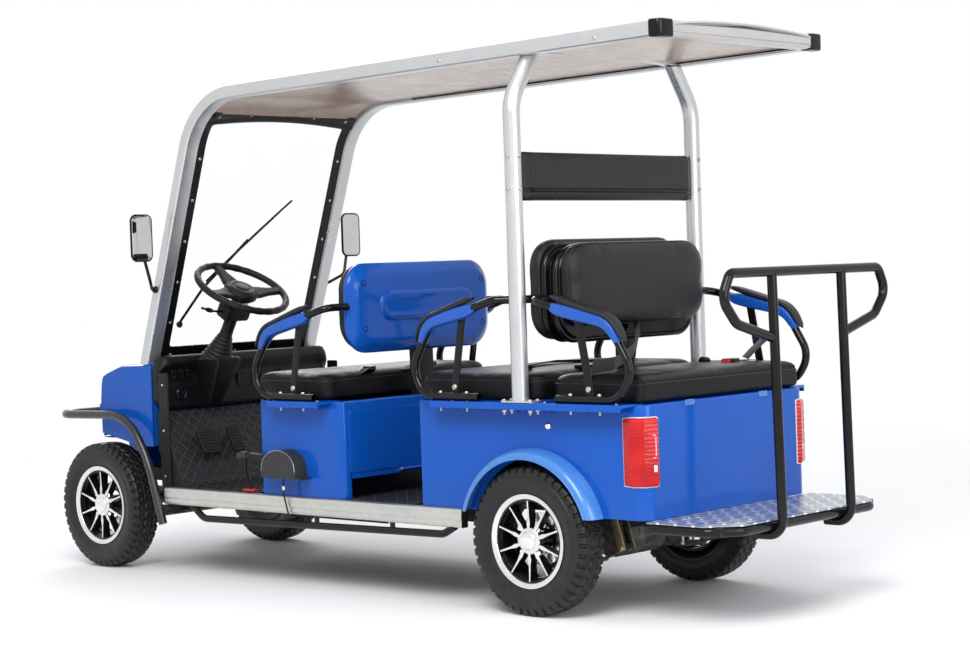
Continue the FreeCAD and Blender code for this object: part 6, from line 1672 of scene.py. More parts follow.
def build_cowl_sides(solid):
    """Adds the cowl's side walls: a flat panel from the hood's edge down to the arch line."""
    upper = filleted([(-1.888, 0.774), (-2.08, 0.764), (-2.19, 0.728), (-2.2, 0.64)], [0, 0.08, 0.05, 0], 8)
    share = np.linspace(0, 1, 40)
    edge = evenly(upper, share)
    foot_y = np.interp(share, [0, 0.62, 1], [-1.888, -2.195, -2.198])
    foot_z = np.interp(foot_y, [-2.2, -2.15, -1.97, -1.888], [0.512, 0.502, 0.468, 0.468])
    foot = np.stack([foot_y, foot_z], -1)
    t = np.linspace(0, 1, 8)
    flat = edge[:, None] * (1 - t[None, :, None]) + foot[:, None] * t[None, :, None]
    outer = xyz(BODY_HALF - 0.0005, flat[..., 0], flat[..., 1])
    inner = outer - (0.004, 0, 0)
    for sign in (1, -1):
        ring = np.concatenate([outer, inner[:, ::-1]], 1) * (sign, 1, 1)
        solid.capped(ring)
    flange = filleted([(-1.89, 0.47), (-1.89, 0.62), (-1.89, 0.774)], [0, 0, 0])
    for sign in (1, -1):
        path = xyz(sign * 0.414, flange[:, 0], flange[:, 1])
        solid.bar(path, rounded_box(0.002, 0.0155, 0.001), X_AXIS)


def build_cowl_trim():
    """Dark flat liners that close the front wheel arches from above."""
    solid = Solid()
    rows = [np.array([(0.24, y, 0.494), (0.426, y, 0.494), (0.426, y, 0.497), (0.24, y, 0.497)])
            for y in np.linspace(-2.19, -1.9, 9)]
    solid.capped(rows)
    solid.pair("front_arch_liners", "frame_black", slot="black_frame")


def build_dashboard():
    """Dashboard: a moulded beam with a brow, trays, an instrument face and the column's pedestal."""
    solid = Solid()
    section = filleted([(-1.884, 0.604), (-1.836, 0.604), (-1.832, 0.69), (-1.846, 0.738), (-1.822, 0.78),
                        (-1.834, 0.806), (-1.884, 0.806)], [0.004, 0.02, 0.02, 0.02, 0.016, 0.014, 0.004], 5,
                       closed=True)
    x = np.linspace(-0.4295, 0.4295, 61)
    bulge = 0.006 * np.exp(-((x - 0.2) / 0.11) ** 2)
    grid = xyz(x[:, None], section[None, :, 0] + bulge[:, None] * (section[None, :, 0] > -1.86), section[None, :, 1])
    ends = np.clip((np.abs(x) - 0.385) / 0.0445, 0, 1) ** 2.5
    heart = np.array((-1.874, 0.7))
    grid[..., 1:] = heart + (grid[..., 1:] - heart) * (1 - 0.42 * ends)[:, None, None]
    solid.capped(grid)
    pedestal = []
    for z, x0, x1, y0, y1 in ((0.612, 0.182, 0.23, -1.84, -1.792), (0.617, 0.175, 0.237, -1.848, -1.783),
                              (0.7, 0.158, 0.25, -1.852, -1.74), (0.768, 0.144, 0.26, -1.852, -1.702),
                              (0.786, 0.144, 0.26, -1.852, -1.702), (0.793, 0.15, 0.254, -1.848, -1.708)):
        ring = rounded_box((x1 - x0) / 2, (y1 - y0) / 2, 0.012, 6)
        pedestal.append(xyz(ring[:, 0] + (x0 + x1) / 2, ring[:, 1] + (y0 + y1) / 2, z))
    solid.capped(pedestal)
    solid.piece("dash_moulding", "plastic", replaces=("dashboard",), slot="black_plastic", sharp=40)
    build_boot()
    details = Solid()
    for x in (-0.3, -0.2, -0.1, 0.02):
        details.tiers(rounded_box(0.04, 0.028, 0.008, 5), standing(0, 0.7, x),
                      ((1.0, -1.834), (1.0, -1.8292), (0.93, -1.8285), (0.9, -1.832), (0.2, -1.8325)))
    for x in (0.3, 0.335, 0.37):
        details.tiers(rounded_box(0.012, 0.017, 0.003, 4), standing(0, 0.735, x),
                      ((1.0, -1.842), (1.0, -1.825), (0.85, -1.8225), (0.2, -1.8235)))
    details.spun([(0.024, 0.0), (0.024, 0.008), (0.021, 0.011), (0.019, 0.009), (0.004, 0.009)],
                 (0.34, -1.832, 0.662), Y_AXIS, 36)
    details.piece("dash_details", "smooth_plastic", slot="black_plastic", sharp=40)
    rocker = Solid()
    rocker.tiers(rounded_box(0.008, 0.012, 0.002, 4), standing(0, 0.757, 0.066),
                 ((1.0, -1.842), (1.0, -1.824), (0.9, -1.8225), (0.2, -1.8232)))
    rocker.piece("red_rocker", "red_button", slot="red_lens", sharp=40)


COLUMN_FOOT = np.array((0.2, -1.775, 0.79))
COLUMN_LEAN = math.radians(30.7)
COLUMN_AXIS = np.array((0.0, math.sin(COLUMN_LEAN), math.cos(COLUMN_LEAN)))
WHEEL_HUB = np.array((0.2, -1.6206, 1.05))


def build_boot():
    """The column's boot, a cone whose radius ripples along its length, its shroud and the stalk."""
    along = np.linspace(0, 0.105, 43)
    radius = 0.0575 - 0.0335 * along / 0.105 + 0.0022 * np.cos(along / 0.105 * 2 * PI * 7) * (along < 0.098)
    profile = [(radius[0], -0.03)] + list(zip(radius, along)) + [(0.024, 0.118), (0.021, 0.122)]
    Solid().spun(profile, COLUMN_FOOT, COLUMN_AXIS, 48).piece("column_boot", "rubber", slot="black_plastic", sharp=60)
    shroud = Solid()
    shroud.spun([(0.0235, 0.112), (0.0235, 0.182)], COLUMN_FOOT, COLUMN_AXIS, 32)
    to_point = tilted(COLUMN_FOOT, X_AXIS, np.cross(COLUMN_AXIS, X_AXIS), COLUMN_AXIS)
    shroud.tiers(rounded_box(0.06, 0.034, 0.014, 6), to_point,
                 ((0.8, 0.176), (0.94, 0.179), (1.0, 0.186), (1.0, 0.2035), (0.975, 0.2045), (0.975, 0.2065),
                  (1.0, 0.2075), (1.0, 0.224), (0.94, 0.231), (0.8, 0.234)))
    shroud.piece("column_shroud", "plastic", slot="black_plastic", sharp=40)
    stalk = Solid()
    base = COLUMN_FOOT + COLUMN_AXIS * 0.205 + np.array((0.046, 0.0, 0.0))
    beside = X_AXIS
    path = filleted([base + beside * 0.01, base + beside * 0.06 + COLUMN_AXIS * 0.004,
                     base + beside * 0.118 + COLUMN_AXIS * 0.02], [0, 0.04, 0], 8)
    stalk.bar(path, circle(0.0045, 12))
    stalk.spun([(0.006, 0.0), (0.0085, 0.004), (0.0085, 0.026), (0.006, 0.031)], path[-1] - (path[-1] - path[-2]),
               path[-1] - path[-2], 18)
    stalk.piece("column_stalk", "smooth_plastic", slot="black_plastic")


def build_steering_wheel():
    """Steering wheel: a grip torus with finger swells, three spokes, a hub pad and its cap."""
    solid = Solid()
    steps = 144
    t = all_round(steps)
    u, v = X_AXIS, np.cross(COLUMN_AXIS, X_AXIS)
    radius = 0.172
    swell = 0.0128 * (1 + 0.05 * np.cos(t * 24) * (np.cos(t * 2) < 0.2))
    p = all_round(20)
    reach = radius + swell[:, None] * np.cos(p)[None]
    out = reach[..., None] * (u * np.cos(t)[:, None, None] + v * np.sin(t)[:, None, None])
    rim = WHEEL_HUB + out + (swell[:, None] * np.sin(p)[None])[..., None] * COLUMN_AXIS
    solid.grid(rim, around=True, along=True)
    for angle in (PI / 2 + PI, 0.18, PI - 0.18):
        ahead = u * math.cos(angle) + v * math.sin(angle)
        path = np.stack([WHEEL_HUB + ahead * r - COLUMN_AXIS * d for r, d in
                         ((0.02, 0.014), (0.07, 0.013), (0.115, 0.007), (0.166, 0.0))])
        wide = np.array((0.04, 0.034, 0.02, 0.016))
        section = rounded_box(1.0, 1.0, 0.4, 4)
        side = np.cross(COLUMN_AXIS, ahead)
        rows = path[:, None] + section[None, :, :1] * side * wide[:, None, None] \
            + section[None, :, 1:] * COLUMN_AXIS * 0.009
        solid.capped(rows)
    hub = [(0.01, -0.062), (0.02, -0.06), (0.03, -0.046), (0.052, -0.036), (0.064, -0.024), (0.066, -0.01),
           (0.06, 0.001), (0.048, 0.006), (0.034, 0.0085), (0.032, 0.007), (0.029, 0.007), (0.027, 0.009),
           (0.014, 0.01), (0.002, 0.0102)]
    solid.spun(hub, WHEEL_HUB, COLUMN_AXIS, 48)
    solid.piece("steering_grip", "plastic", body="steering_wheel", slot="black_plastic",
                replaces=("steering_wheel",), sharp=50)
    Solid().spun([(0.0105, 0.0), (0.0105, 0.13)], WHEEL_HUB - COLUMN_AXIS * 0.19, COLUMN_AXIS,
                 20).piece("steering_shaft", "bolt", body="steering_wheel", slot="dark_steel")


# Floor, sills and guards

def write_uv(piece, name, uv):
    """Gives each corner of the mesh the uv worked out for its point."""
    mesh = piece.data
    layer = mesh.uv_layers.new(name=name)
    corner = np.empty(len(mesh.loops), dtype=np.int64)
    mesh.loops.foreach_get("vertex_index", corner)
    layer.data.foreach_set("uv", uv[corner].astype(np.float64).ravel())


FLOOR_Z = 0.32
TOE_FOOT, TOE_Y, TOE_Z = -1.72, -1.858, 0.5997
TOE_LEAN = math.atan2(TOE_Z - FLOOR_Z, TOE_FOOT - TOE_Y)


def floor_line(offset):
    """Side view of the floor's top: flat, a bend and the leaning toe board."""
    bend = TOE_FOOT + offset * math.tan(TOE_LEAN / 2)
    head = (TOE_Y + math.sin(TOE_LEAN) * offset, TOE_Z + math.cos(TOE_LEAN) * offset)
    return [(-0.466, FLOOR_Z + offset), (bend, FLOOR_Z + offset), head]


def build_floor():
    """Floor pan under a quilted mat: both run along the floor's side view, the mat on two open bays."""
    pan = Solid()
    path = filleted([(0.0, y, z) for y, z in floor_line(-0.0045)], [0, 0.04, 0], 10)
    pan.bar(path, rounded_box(0.0044, BODY_HALF - 0.0005, 0.001), X_AXIS)
    pan.piece("floor_pan", "frame_black", replaces=("floor_deck",), slot="floor_mat")
    mats = Solid()
    toe = filleted([(0.0, y, z) for y, z in [(-1.3, 0.3228)] + floor_line(0.0028)[1:]], [0, 0.04, 0], 14)
    end = toe[-1] + (toe[-2] - toe[-1]) / np.linalg.norm(toe[-2] - toe[-1]) * 0.006
    toe = np.vstack([toe[:-1], end])
    for line in (toe, [(0.0, -0.845, 0.3228), (0.0, -0.52, 0.3228)]):
        mats.bar(line, rounded_box(0.0027, BODY_HALF - 0.001, 0.0022), X_AXIS)
    mat = mats.piece("floor_mats", "mat", slot="floor_mat")
    points = points_of(mat.data) - AXLE
    ahead = np.where(points[:, 1] < TOE_FOOT, TOE_FOOT - np.hypot(points[:, 1] - TOE_FOOT, points[:, 2] - FLOOR_Z),
                     points[:, 1])
    write_uv(mat, "mat", np.stack([points[:, 0], ahead], -1))


def build_toe_sides():
    """Black side panels that close the toe board's ends down to the sill."""
    solid = Solid()
    corner = np.array([(-1.716, 0.3225), (-1.79, 0.3225), (-1.862, 0.46), (-1.856, 0.597)])
    rows = [xyz(x, *corner.T) for x in (0.4262, 0.4292)]
    solid.capped(rows)
    solid.pair("toe_side_panels", "plastic", slot="black_plastic", sharp=40)


def build_sills():
    """Side sills: an extruded section with two long grooves and closed ends."""
    solid = Solid()
    inner, outer, low, high = 0.4305, 0.46, 0.26, 0.321
    span = high - low
    section = [(inner, low), (outer - 0.003, low), (outer, low + span * 0.18), (outer - 0.0022, low + span * 0.36),
               (outer, low + span * 0.44), (outer, low + span * 0.7), (outer - 0.0022, low + span * 0.76),
               (outer - 0.001, low + span * 0.82), (outer - 0.002, high), (inner, high)]
    section = filleted([(x, z, 0) for x, z in section],
                       [0.001, 0.005, 0.005, 0.002, 0.003, 0.003, 0.002, 0.002, 0.006, 0.001], 3, closed=True)
    rows = [xyz(section[:, 0], y, section[:, 1]) for y in (-1.7995, -1.45, -1.05, -0.65, -0.2905)]
    solid.capped(rows)
    solid.pair("sill_rails", "sill_metal", replaces=("sills",), slot="sill_aluminium", sharp=40)
    ends = Solid()
    for y in (-1.8012, -0.2888):
        ends.tiers(rounded_box(0.0142, 0.03, 0.003, 4), standing(y, 0.2905, 0.44525), ((1, -0.0012), (1, 0.0012)))
    ends.pair("sill_end_caps", "rubber", slot="black_rubber")


def build_side_bars():
    """Round bars slung under the sills with both ends bent up."""
    solid = Solid()
    round_tube(solid, [(0.445, -1.69 + 0.097 / 3, 0.262), (0.445, -1.593, 0.2163), (0.445, -0.386, 0.234),
                       (0.445, -0.289 - 0.097 * 23 / 51, 0.262)], [0, 0.06, 0.06, 0], sizes().step_tube)
    for y, z in ((-1.35, 0.22), (-0.99, 0.225), (-0.62, 0.2305)):
        solid.bar([(0.445, y, z + 0.008), (0.445, y, 0.2605)], rounded_box(0.01, 0.003, 0.001), X_AXIS)
    solid.pair("side_bar_tubes", "gloss_black", replaces=("side_bars",), slot="black_tube")


def build_side_trims():
    """Door post trims: a narrow moulded strip with a rounded edge on each side."""
    solid = Solid()
    ring = rounded_box(0.028, 0.2115, 0.006, 5)
    rows = [xyz(0.4304 + out, ring[:, 0] * s - 1.8155, ring[:, 1] + 0.53315)
            for out, s in ((0.0, 1.0), (0.0032, 1.0), (0.0044, 0.93), (0.0046, 0.6))]
    solid.capped(rows)
    solid.pair("door_post_trims", "plastic", replaces=("side_trims",), slot="black_plastic", sharp=40)


def build_guard():
    """Front guard: a bent round tube from the sill round the nose, one piece over both sides."""
    solid, brackets = Solid(), Solid()
    side = [(0.474, -1.796, 0.188), (0.474, -1.873, 0.425), (0.474, -1.985, 0.588), (0.474, -2.44, 0.58)]
    bends = [0, 0.45, 0.2, 0.11]
    other = [(-x, y, z) for x, y, z in side[::-1]]
    round_tube(solid, side + other, bends + bends[::-1], sizes().guard_tube, 24, 12)
    solid.piece("front_guard", "guard", replaces=("bumper_bar",), slot="black_tube")
    strip = [(0.31, -1.78, 0.2447), (0.4, -1.78, 0.2447), (0.464, -1.81, 0.2447)]
    brackets.bar(filleted(strip, [0, 0.03, 0], 6), rounded_box(0.003, 0.013, 0.001), Z_AXIS)
    brackets.pair("guard_brackets", "frame_black", slot="black_tube")


def build_rear_step():
    """Rear step: a chequer plate with cut corners, its edge tube, frame tubes and bolts."""
    plan = filleted([(0.4395, 0.4498, 0), (0.4395, 0.66, 0), (0.35, 0.7465, 0), (-0.35, 0.7465, 0),
                     (-0.4395, 0.66, 0), (-0.4395, 0.4498, 0)], [0.003, 0.02, 0.02, 0.02, 0.02, 0.003], 5,
                    closed=True)
    middle = np.array((0.0, 0.6, 0.0))
    rows = [xyz(p[:, 0], p[:, 1], z) for p, z in ((plan * 0.999 + middle * 0.001, 0.316), (plan, 0.3166),
                                                  (plan, 0.3194), (plan * 0.998 + middle * 0.002, 0.32))]
    Solid().capped(rows).piece("step_chequer", "chequer", replaces=("rear_step",), slot="step_plate", sharp=50)
    tube = Solid()
    round_tube(tube, [(0.428, 0.466, 0.3005), (0.428, 0.664, 0.3005), (0.347, 0.7365, 0.3005),
                      (-0.347, 0.7365, 0.3005), (-0.428, 0.664, 0.3005), (-0.428, 0.466, 0.3005)],
               [0, 0.05, 0.05, 0.05, 0.05, 0], 0.0152, 20)
    for x in (-0.3, 0.3):
        tube.bar([(x, 0.3425, 0.301), (x, 0.7068, 0.301)], rounded_box(0.0148, 0.0148, 0.004), Z_AXIS)
    for y in (0.5043, 0.692):
        tube.bar([(-0.415, y, 0.301), (0.415, y, 0.301)], rounded_box(0.0148, 0.0146, 0.004), Z_AXIS)
    tube.piece("step_frame", "gloss_black", slot="black_tube")
    bolts = Solid()
    for x in (-0.3, 0.3):
        for y in (0.505, 0.69):
            bolt_head(bolts, (x, y, 0.32), Z_AXIS, 0.0075, 0.003)
    bolts.piece("step_bolts", "bolt", slot="dark_steel")


def build_handrail():
    """Rear handrail: two posts with bent feet and a looped grip between and beside them."""
    solid = Solid()
    radius = sizes().rail_tube
    for sign in (1, -1):
        post = [(sign * 0.187, 0.675, 0.2707), (sign * 0.187, 0.77, 0.2707), (sign * 0.187, 0.756, 1.052)]
        round_tube(solid, post, [0, 0.05, 0], radius)
    half = [(0.187, 0.756, 0.861), (0.372, 0.756, 0.911), (0.441, 0.756, 0.985), (0.4, 0.756, 1.06)]
    loop = half + [(-x, y, z) for x, y, z in half[::-1]]
    bends = [0, 0.06, 0.05, 0.032]
    round_tube(solid, loop, bends + bends[::-1], radius)
    solid.piece("grab_rail", "gloss_black", replaces=("rear_handrail",), slot="black_tube")


# Lamps

def corner_path(front, inner, steps):
    """Plan line round a rear body corner with its outward normals."""
    points = [(BODY_HALF, front, 0), (BODY_HALF, BODY_REAR, 0), (inner, BODY_REAR, 0)]
    line = filleted(points, [0, 0.05, 0], steps)[:, :2]
    ahead = headings(line)
    return line, np.stack([ahead[:, 1], -ahead[:, 0]], -1)


def wrapped(solid, front, inner, low, high, out, base=0.0004, soft=0.006, steps=2):
    """A panel carried round the body corner: its section is a rounded rectangle in height and depth."""
    line, normal = corner_path(front, inner, steps)
    middle, half = (low + high) / 2, (high - low) / 2
    section = np.array([(-1.0, 0.0), (-1.0, 0.45), (-0.97, 0.8), (-0.9, 1.0), (0.9, 1.0), (0.97, 0.8), (1.0, 0.45),
                        (1.0, 0.0)])
    run = lengths_of(line)
    ends = np.clip(np.minimum(run, run[-1] - run) / soft, 0, 1)
    rows = []
    for scale_row, point, side in zip(ends, line, normal):
        depth = base + section[:, 1] * out * (0.35 + 0.65 * scale_row ** 0.5)
        rise = middle + section[:, 0] * half * (0.97 + 0.03 * scale_row)
        rows.append(xyz(point[0] + side[0] * depth, point[1] + side[1] * depth, rise))
    solid.capped(rows)


def build_tail_lamps():
    """Tail lamps wrapped round the body corners: a thin pale rim, the red lens, lit squares and pale marks that are
    painted highlights.
    """
    rim = Solid()
    wrapped(rim, 0.366, 0.3665, 0.4202, 0.6348, 0.007)
    rim.pair("lamp_rims", "white_lens", replaces=("tail_lamps",), slot="clear_lens", sharp=50)
    lens = Solid()
    wrapped(lens, 0.369, 0.37, 0.4232, 0.6318, 0.0128, base=0.0008)
    lens.pair("lamp_lenses", "red_lens", slot="red_lens", sharp=25)
    squares, clear = Solid(), Solid()
    for index in range(5):
        lamp_tile(squares, 0.7, 0.588 - index * 0.0235, 0.0048, 0.007)
    # Thin pale tiles on the lens facets: a painted highlight.
    for angle, z, half_x, half_z in ((0.16, 0.545, 0.0012, 0.034), (0.24, 0.579, 0.005, 0.0012),
                                     (0.24, 0.511, 0.005, 0.0012), (0.2, 0.478, 0.0065, 0.012)):
        lamp_tile(clear, angle, z, half_x, half_z)
    for solid in (squares, clear):
        solid.copies([MIRROR])
    squares.piece("lamp_light_squares", "led", slot="red_lens", sharp=50)
    clear.piece("lamp_highlight_marks", "lamp_highlight_white", slot="clear_lens", sharp=50)


def lamp_tile(solid, angle, height, half_x, half_z):
    """A small tile on the lens's rounded corner, at an angle from straight behind.

    Rings of a rounded rectangle lie across the corner's normal and step outwards along it.
    """
    ring = rounded_box(half_x, half_z, min(half_x, half_z) * 0.4, 3)
    facet = (math.floor(angle / (PI / 4)) + 0.5) * PI / 4
    normal = np.array((math.sin(facet), math.cos(facet), 0.0))
    across = np.array((math.cos(facet), -math.sin(facet), 0.0))
    face = 0.0636 * math.cos(PI / 8)
    centre = (0.38, 0.399, height) + normal * face + across * (face * math.tan(angle - facet))
    solid.tiers(ring, tilted(centre, across, Z_AXIS, normal), ((1.0, -0.004), (1.0, 0.0002), (0.8, 0.0008)))


def build_head_lamps():
    """Head lamps: a bowl behind a domed clear lens in a bezel, each turned 17 degrees outwards."""
    bezel, lens, bulbs = Solid(), Solid(), Solid()
    turn = math.radians(17.0)
    c, s = math.cos(turn), math.sin(turn)
    to_point = tilted((0.33, -2.247, 0.664), (c, s, 0), Z_AXIS, (s, -c, 0))
    outline_shell(bezel, 0.0515, 0.0335, 0.018, [(0.0, 0.001), (0.0, 0.012), (0.001, 0.0145), (0.004, 0.0155),
                                                 (0.0065, 0.0145), (0.0085, 0.008), (0.014, 0.005), (0.03, 0.004)],
                  to_point, 8)
    bezel.pair("lamp_bowls", "reflector", replaces=("head_lamps",), slot="clear_lens", sharp=40)
    outline_shell(lens, 0.045, 0.027, 0.013, [(0.0, 0.0105), (0.0, 0.015), (0.003, 0.0172), (0.01, 0.019),
                                              (0.022, 0.0198)], to_point, 8)
    lens.pair("head_lamp_lenses", "lens_glass", slot="clear_lens", sharp=60)
    for x in (-0.02, 0.02):
        at = to_point(np.array([[x, 0.0]]), 0.0045)[0]
        bulbs.spun([(0.014, 0.0), (0.0135, 0.003), (0.009, 0.005), (0.003, 0.0054)], at, (s, -c, 0), 24)
    bulbs.pair("head_lamp_bulbs", "white_plastic", slot="clear_lens")


# Controls and hardware

def build_parking_brake():
    """Hand brake: a half-round cover with a bright line along its edge as a painted highlight, a bent lever and its
    grey grip.
    """
    cover = Solid()
    half = 0.0868
    t = np.linspace(0.02, PI - 0.02, 40)
    outline = np.vstack([(-half, -0.0495), (half, -0.0495),
                         np.stack([half * np.cos(t), -0.03 + 0.0795 * np.sin(t) ** 0.8], -1)])
    middle = np.array((-1.135, 0.436))
    rows = []
    for inset, out in ((0.0, 0.0005), (0.0, 0.056), (0.0012, 0.059), (0.005, 0.0612), (0.02, 0.0615)):
        flat = outline * (1 - inset / half, 1 - inset / 0.05) + middle
        rows.append(xyz(BODY_HALF + out, *flat.T))
    cover.capped(rows)
    cover.piece("brake_cover", "cover_grey", replaces=("parking_brake",), slot="black_plastic", sharp=35)
    # A bright thin bar along the cover's rear edge: a painted highlight.
    line = Solid()
    path = xyz(BODY_HALF + 0.059, *(outline * (0.99, 0.985) + middle).T)[2:]
    line.bar(path, circle(0.001, 8), X_AXIS)
    line.piece("brake_cover_highlight_line", "bolt", slot="dark_steel")
    foot_plate = Solid()
    x = BODY_HALF + 0.029
    foot_plate.bar([(x, -1.048, 0.3905), (x, -1.025, 0.3865)], rounded_box(0.002, 0.0285, 0.001), X_AXIS)
    foot_plate.piece("brake_cover_flange", "cover_grey", slot="black_plastic")
    lever = Solid()
    path = filleted([(0.461, -1.196, 0.452), (0.461, -1.3, 0.4595), (0.461, -1.345, 0.461)], [0, 0.05, 0], 6)
    lever.bar(path, rounded_box(0.0095, 0.0125, 0.004), X_AXIS)
    stalk = filleted([(0.461, -1.33, 0.462), (0.44, -1.36, 0.4), (0.412, -1.368, 0.33)], [0, 0.02, 0], 6)
    lever.bar(stalk, circle(0.0048, 12), X_AXIS)
    lever.piece("brake_lever", "frame_black", slot="dark_steel")
    tip = Solid()
    path = filleted([(0.461, -1.322, 0.4605), (0.461, -1.346, 0.4612), (0.461, -1.369, 0.4545)], [0, 0.02, 0], 6)
    tip.bar(path, rounded_box(0.0118, 0.013, 0.006), X_AXIS)
    tip.piece("brake_grip", "cover_grey", slot="dark_steel")
    foot = Solid()
    outline_shell(foot, 0.0145, 0.03, 0.006, [(0.0, 0.0), (0.0, 0.004), (0.0015, 0.006), (0.006, 0.0065)],
                  lying(0.41, -1.37, 0.326), 4)
    foot.piece("brake_release", "red_button", slot="red_lens")


def build_cable():
    """The parking brake's cable: a round line from the cover over the sill and back under it."""
    solid = Solid()
    z = 0.256
    round_tube(solid, [(0.468, -1.13, 0.3857), (0.468, -1.13, 0.326), (0.468, -1.105, 0.246), (0.445, -1.075, z),
                       (0.445, -0.64, z)], [0, 0.018, 0.018, 0.018, 0], 0.003, 14)
    solid.piece("brake_cable_cover", "rubber", replaces=("brake_cable",), slot="black_rubber")
    clip = Solid()
    clip.spun([(0.003, -0.007), (0.0048, -0.006), (0.0048, 0.006), (0.003, 0.007)], (0.468, -1.13, 0.352), Z_AXIS, 16)
    clip.piece("cable_adjuster", "white_plastic", slot="black_rubber")


def build_pedals():
    """Pedals: ribbed rubber pads on lever arms that rise from the toe board."""
    pads, arms = Solid(), Solid()
    low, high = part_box("pedals")
    up = np.array((0.0, -math.cos(TOE_LEAN), math.sin(TOE_LEAN)))
    out = np.array((0.0, math.sin(TOE_LEAN), math.cos(TOE_LEAN)))
    for x0, x1 in ((0.11, 0.17), (0.23, 0.314)):
        centre = np.array(((x0 + x1) / 2, (low[1] + high[1]) / 2 - AXLE_Y, (low[2] + high[2]) / 2))
        half_run = 0.052 if x0 < 0.2 else 0.05
        ring = rounded_box((x1 - x0) / 2 - 0.0005, half_run, 0.01, 5)
        pads.tiers(ring, tilted(centre, X_AXIS, up, out),
                   ((0.98, 0.002), (1.0, 0.004), (1.0, 0.009), (0.96, 0.0112), (0.6, 0.0116)))
        for step in np.linspace(-0.036, 0.036, 7):
            rib = centre + up * step + out * 0.0125
            path = np.stack([rib - ((x1 - x0) / 2 - 0.008, 0, 0), rib + ((x1 - x0) / 2 - 0.008, 0, 0)])
            pads.bar(path, rounded_box(0.0018, 0.0012, 0.0006), out)
        arm = np.stack([centre + out * 0.003, centre - out * 0.01])
        arms.bar(arm, rounded_box(0.018, 0.012, 0.004), X_AXIS)
    pads.piece("pedal_pads", "rubber", replaces=("pedals",), slot="black_plastic", sharp=35)
    arms.piece("pedal_arms", "frame_black", slot="black_frame")


def strap(solid, points, radii, across, wide=0.024, thick=0.0014):
    """A belt strap: a thin rounded strip carried along filleted runs."""
    path = filleted(points, radii, 8)
    grid = swept(path, rounded_box(thick / 2, wide, thick * 0.4, 2), across)
    return solid.capped(grid)


BELTS = (
    (((0.03, -0.942, 0.744), (-0.01, -0.952, 0.756), (-0.072, -0.956, 0.7565)), Y_AXIS),
    (((0.25, -0.942, 0.744), (0.215, -0.956, 0.756), (0.19, -0.97, 0.756)), (0.6, 0.8, 0)),
    (((0.36, -0.085, 0.78), (0.22, -0.2, 0.772), (0.02, -0.26, 0.776), (-0.15, -0.2, 0.77)), (0.2, 0.95, 0.2)),
    (((0.15, 0.043, 0.69), (0.15, 0.043, 0.758), (0.15, 0.018, 0.767)), X_AXIS),
    (((-0.425, 0.335, 0.858), (-0.37, 0.29, 0.8), (-0.345, 0.272, 0.77)), (0.3, 0.95, 0)),
    (((-0.4, 0.262, 0.762), (-0.34, 0.266, 0.764), (-0.29, 0.268, 0.7635)), Y_AXIS),
    (((0.402, 0.23, 0.782), (0.3, 0.235, 0.788), (0.12, 0.165, 0.816), (0.02, 0.11, 0.845), (0.0, 0.088, 0.905)),
     (0, 0.25, 0.97)),
)
BUCKLES = (((-0.068, -0.956, 0.758), (-1, 0, -0.03)), ((0.192, -0.969, 0.757), (-0.8, -0.6, 0.0)),
           ((0.15, 0.02, 0.768), (0.1, -1, 0.0)), ((-0.292, 0.268, 0.766), (1, 0.1, 0.0)))


def build_belts():
    """Lap belts: webbing over the cushions, buckles with red release keys, and a reel knob."""
    web, cases, keys = Solid(), Solid(), Solid()
    for points, across in BELTS:
        strap(web, points, [0] + [0.02] * (len(points) - 2) + [0], across, 0.022)
    wide, inner = rounded_box(0.021, 0.0075, 0.005, 4), rounded_box(0.0155, 0.0045, 0.002, 3)
    for place, ahead in BUCKLES:
        ahead = np.array(ahead) / np.linalg.norm(ahead)
        side = np.cross(ahead, Z_AXIS)
        side /= np.linalg.norm(side)
        deep = np.cross(ahead, side)
        for solid, ring, steps in (
                (cases, wide, ((0.8, 0.0), (1.0, 0.006), (1.0, 0.05), (0.94, 0.055), (0.5, 0.056))),
                (keys, inner, ((1.0, 0.052), (1.0, 0.0585), (0.9, 0.06), (0.4, 0.0602)))):
            solid.tiers(ring, tilted(place, side, deep, ahead), steps)
    cases.spun([(0.018, 0.0), (0.02, 0.004), (0.02, 0.014), (0.014, 0.02), (0.004, 0.021)], (-0.262, 0.164, 0.757),
               (0, 0.2, 1), 24)
    belt = web.piece("belt_webbing", "webbing", slot="black_rubber", sharp=60)
    points = points_of(belt.data)
    write_uv(belt, "strap", np.stack([points[:, 0] + points[:, 1], points[:, 2]], -1))
    cases.piece("belt_buckles", "smooth_plastic", slot="black_plastic", sharp=40)
    keys.piece("belt_keys", "red_button", slot="red_lens", sharp=40)


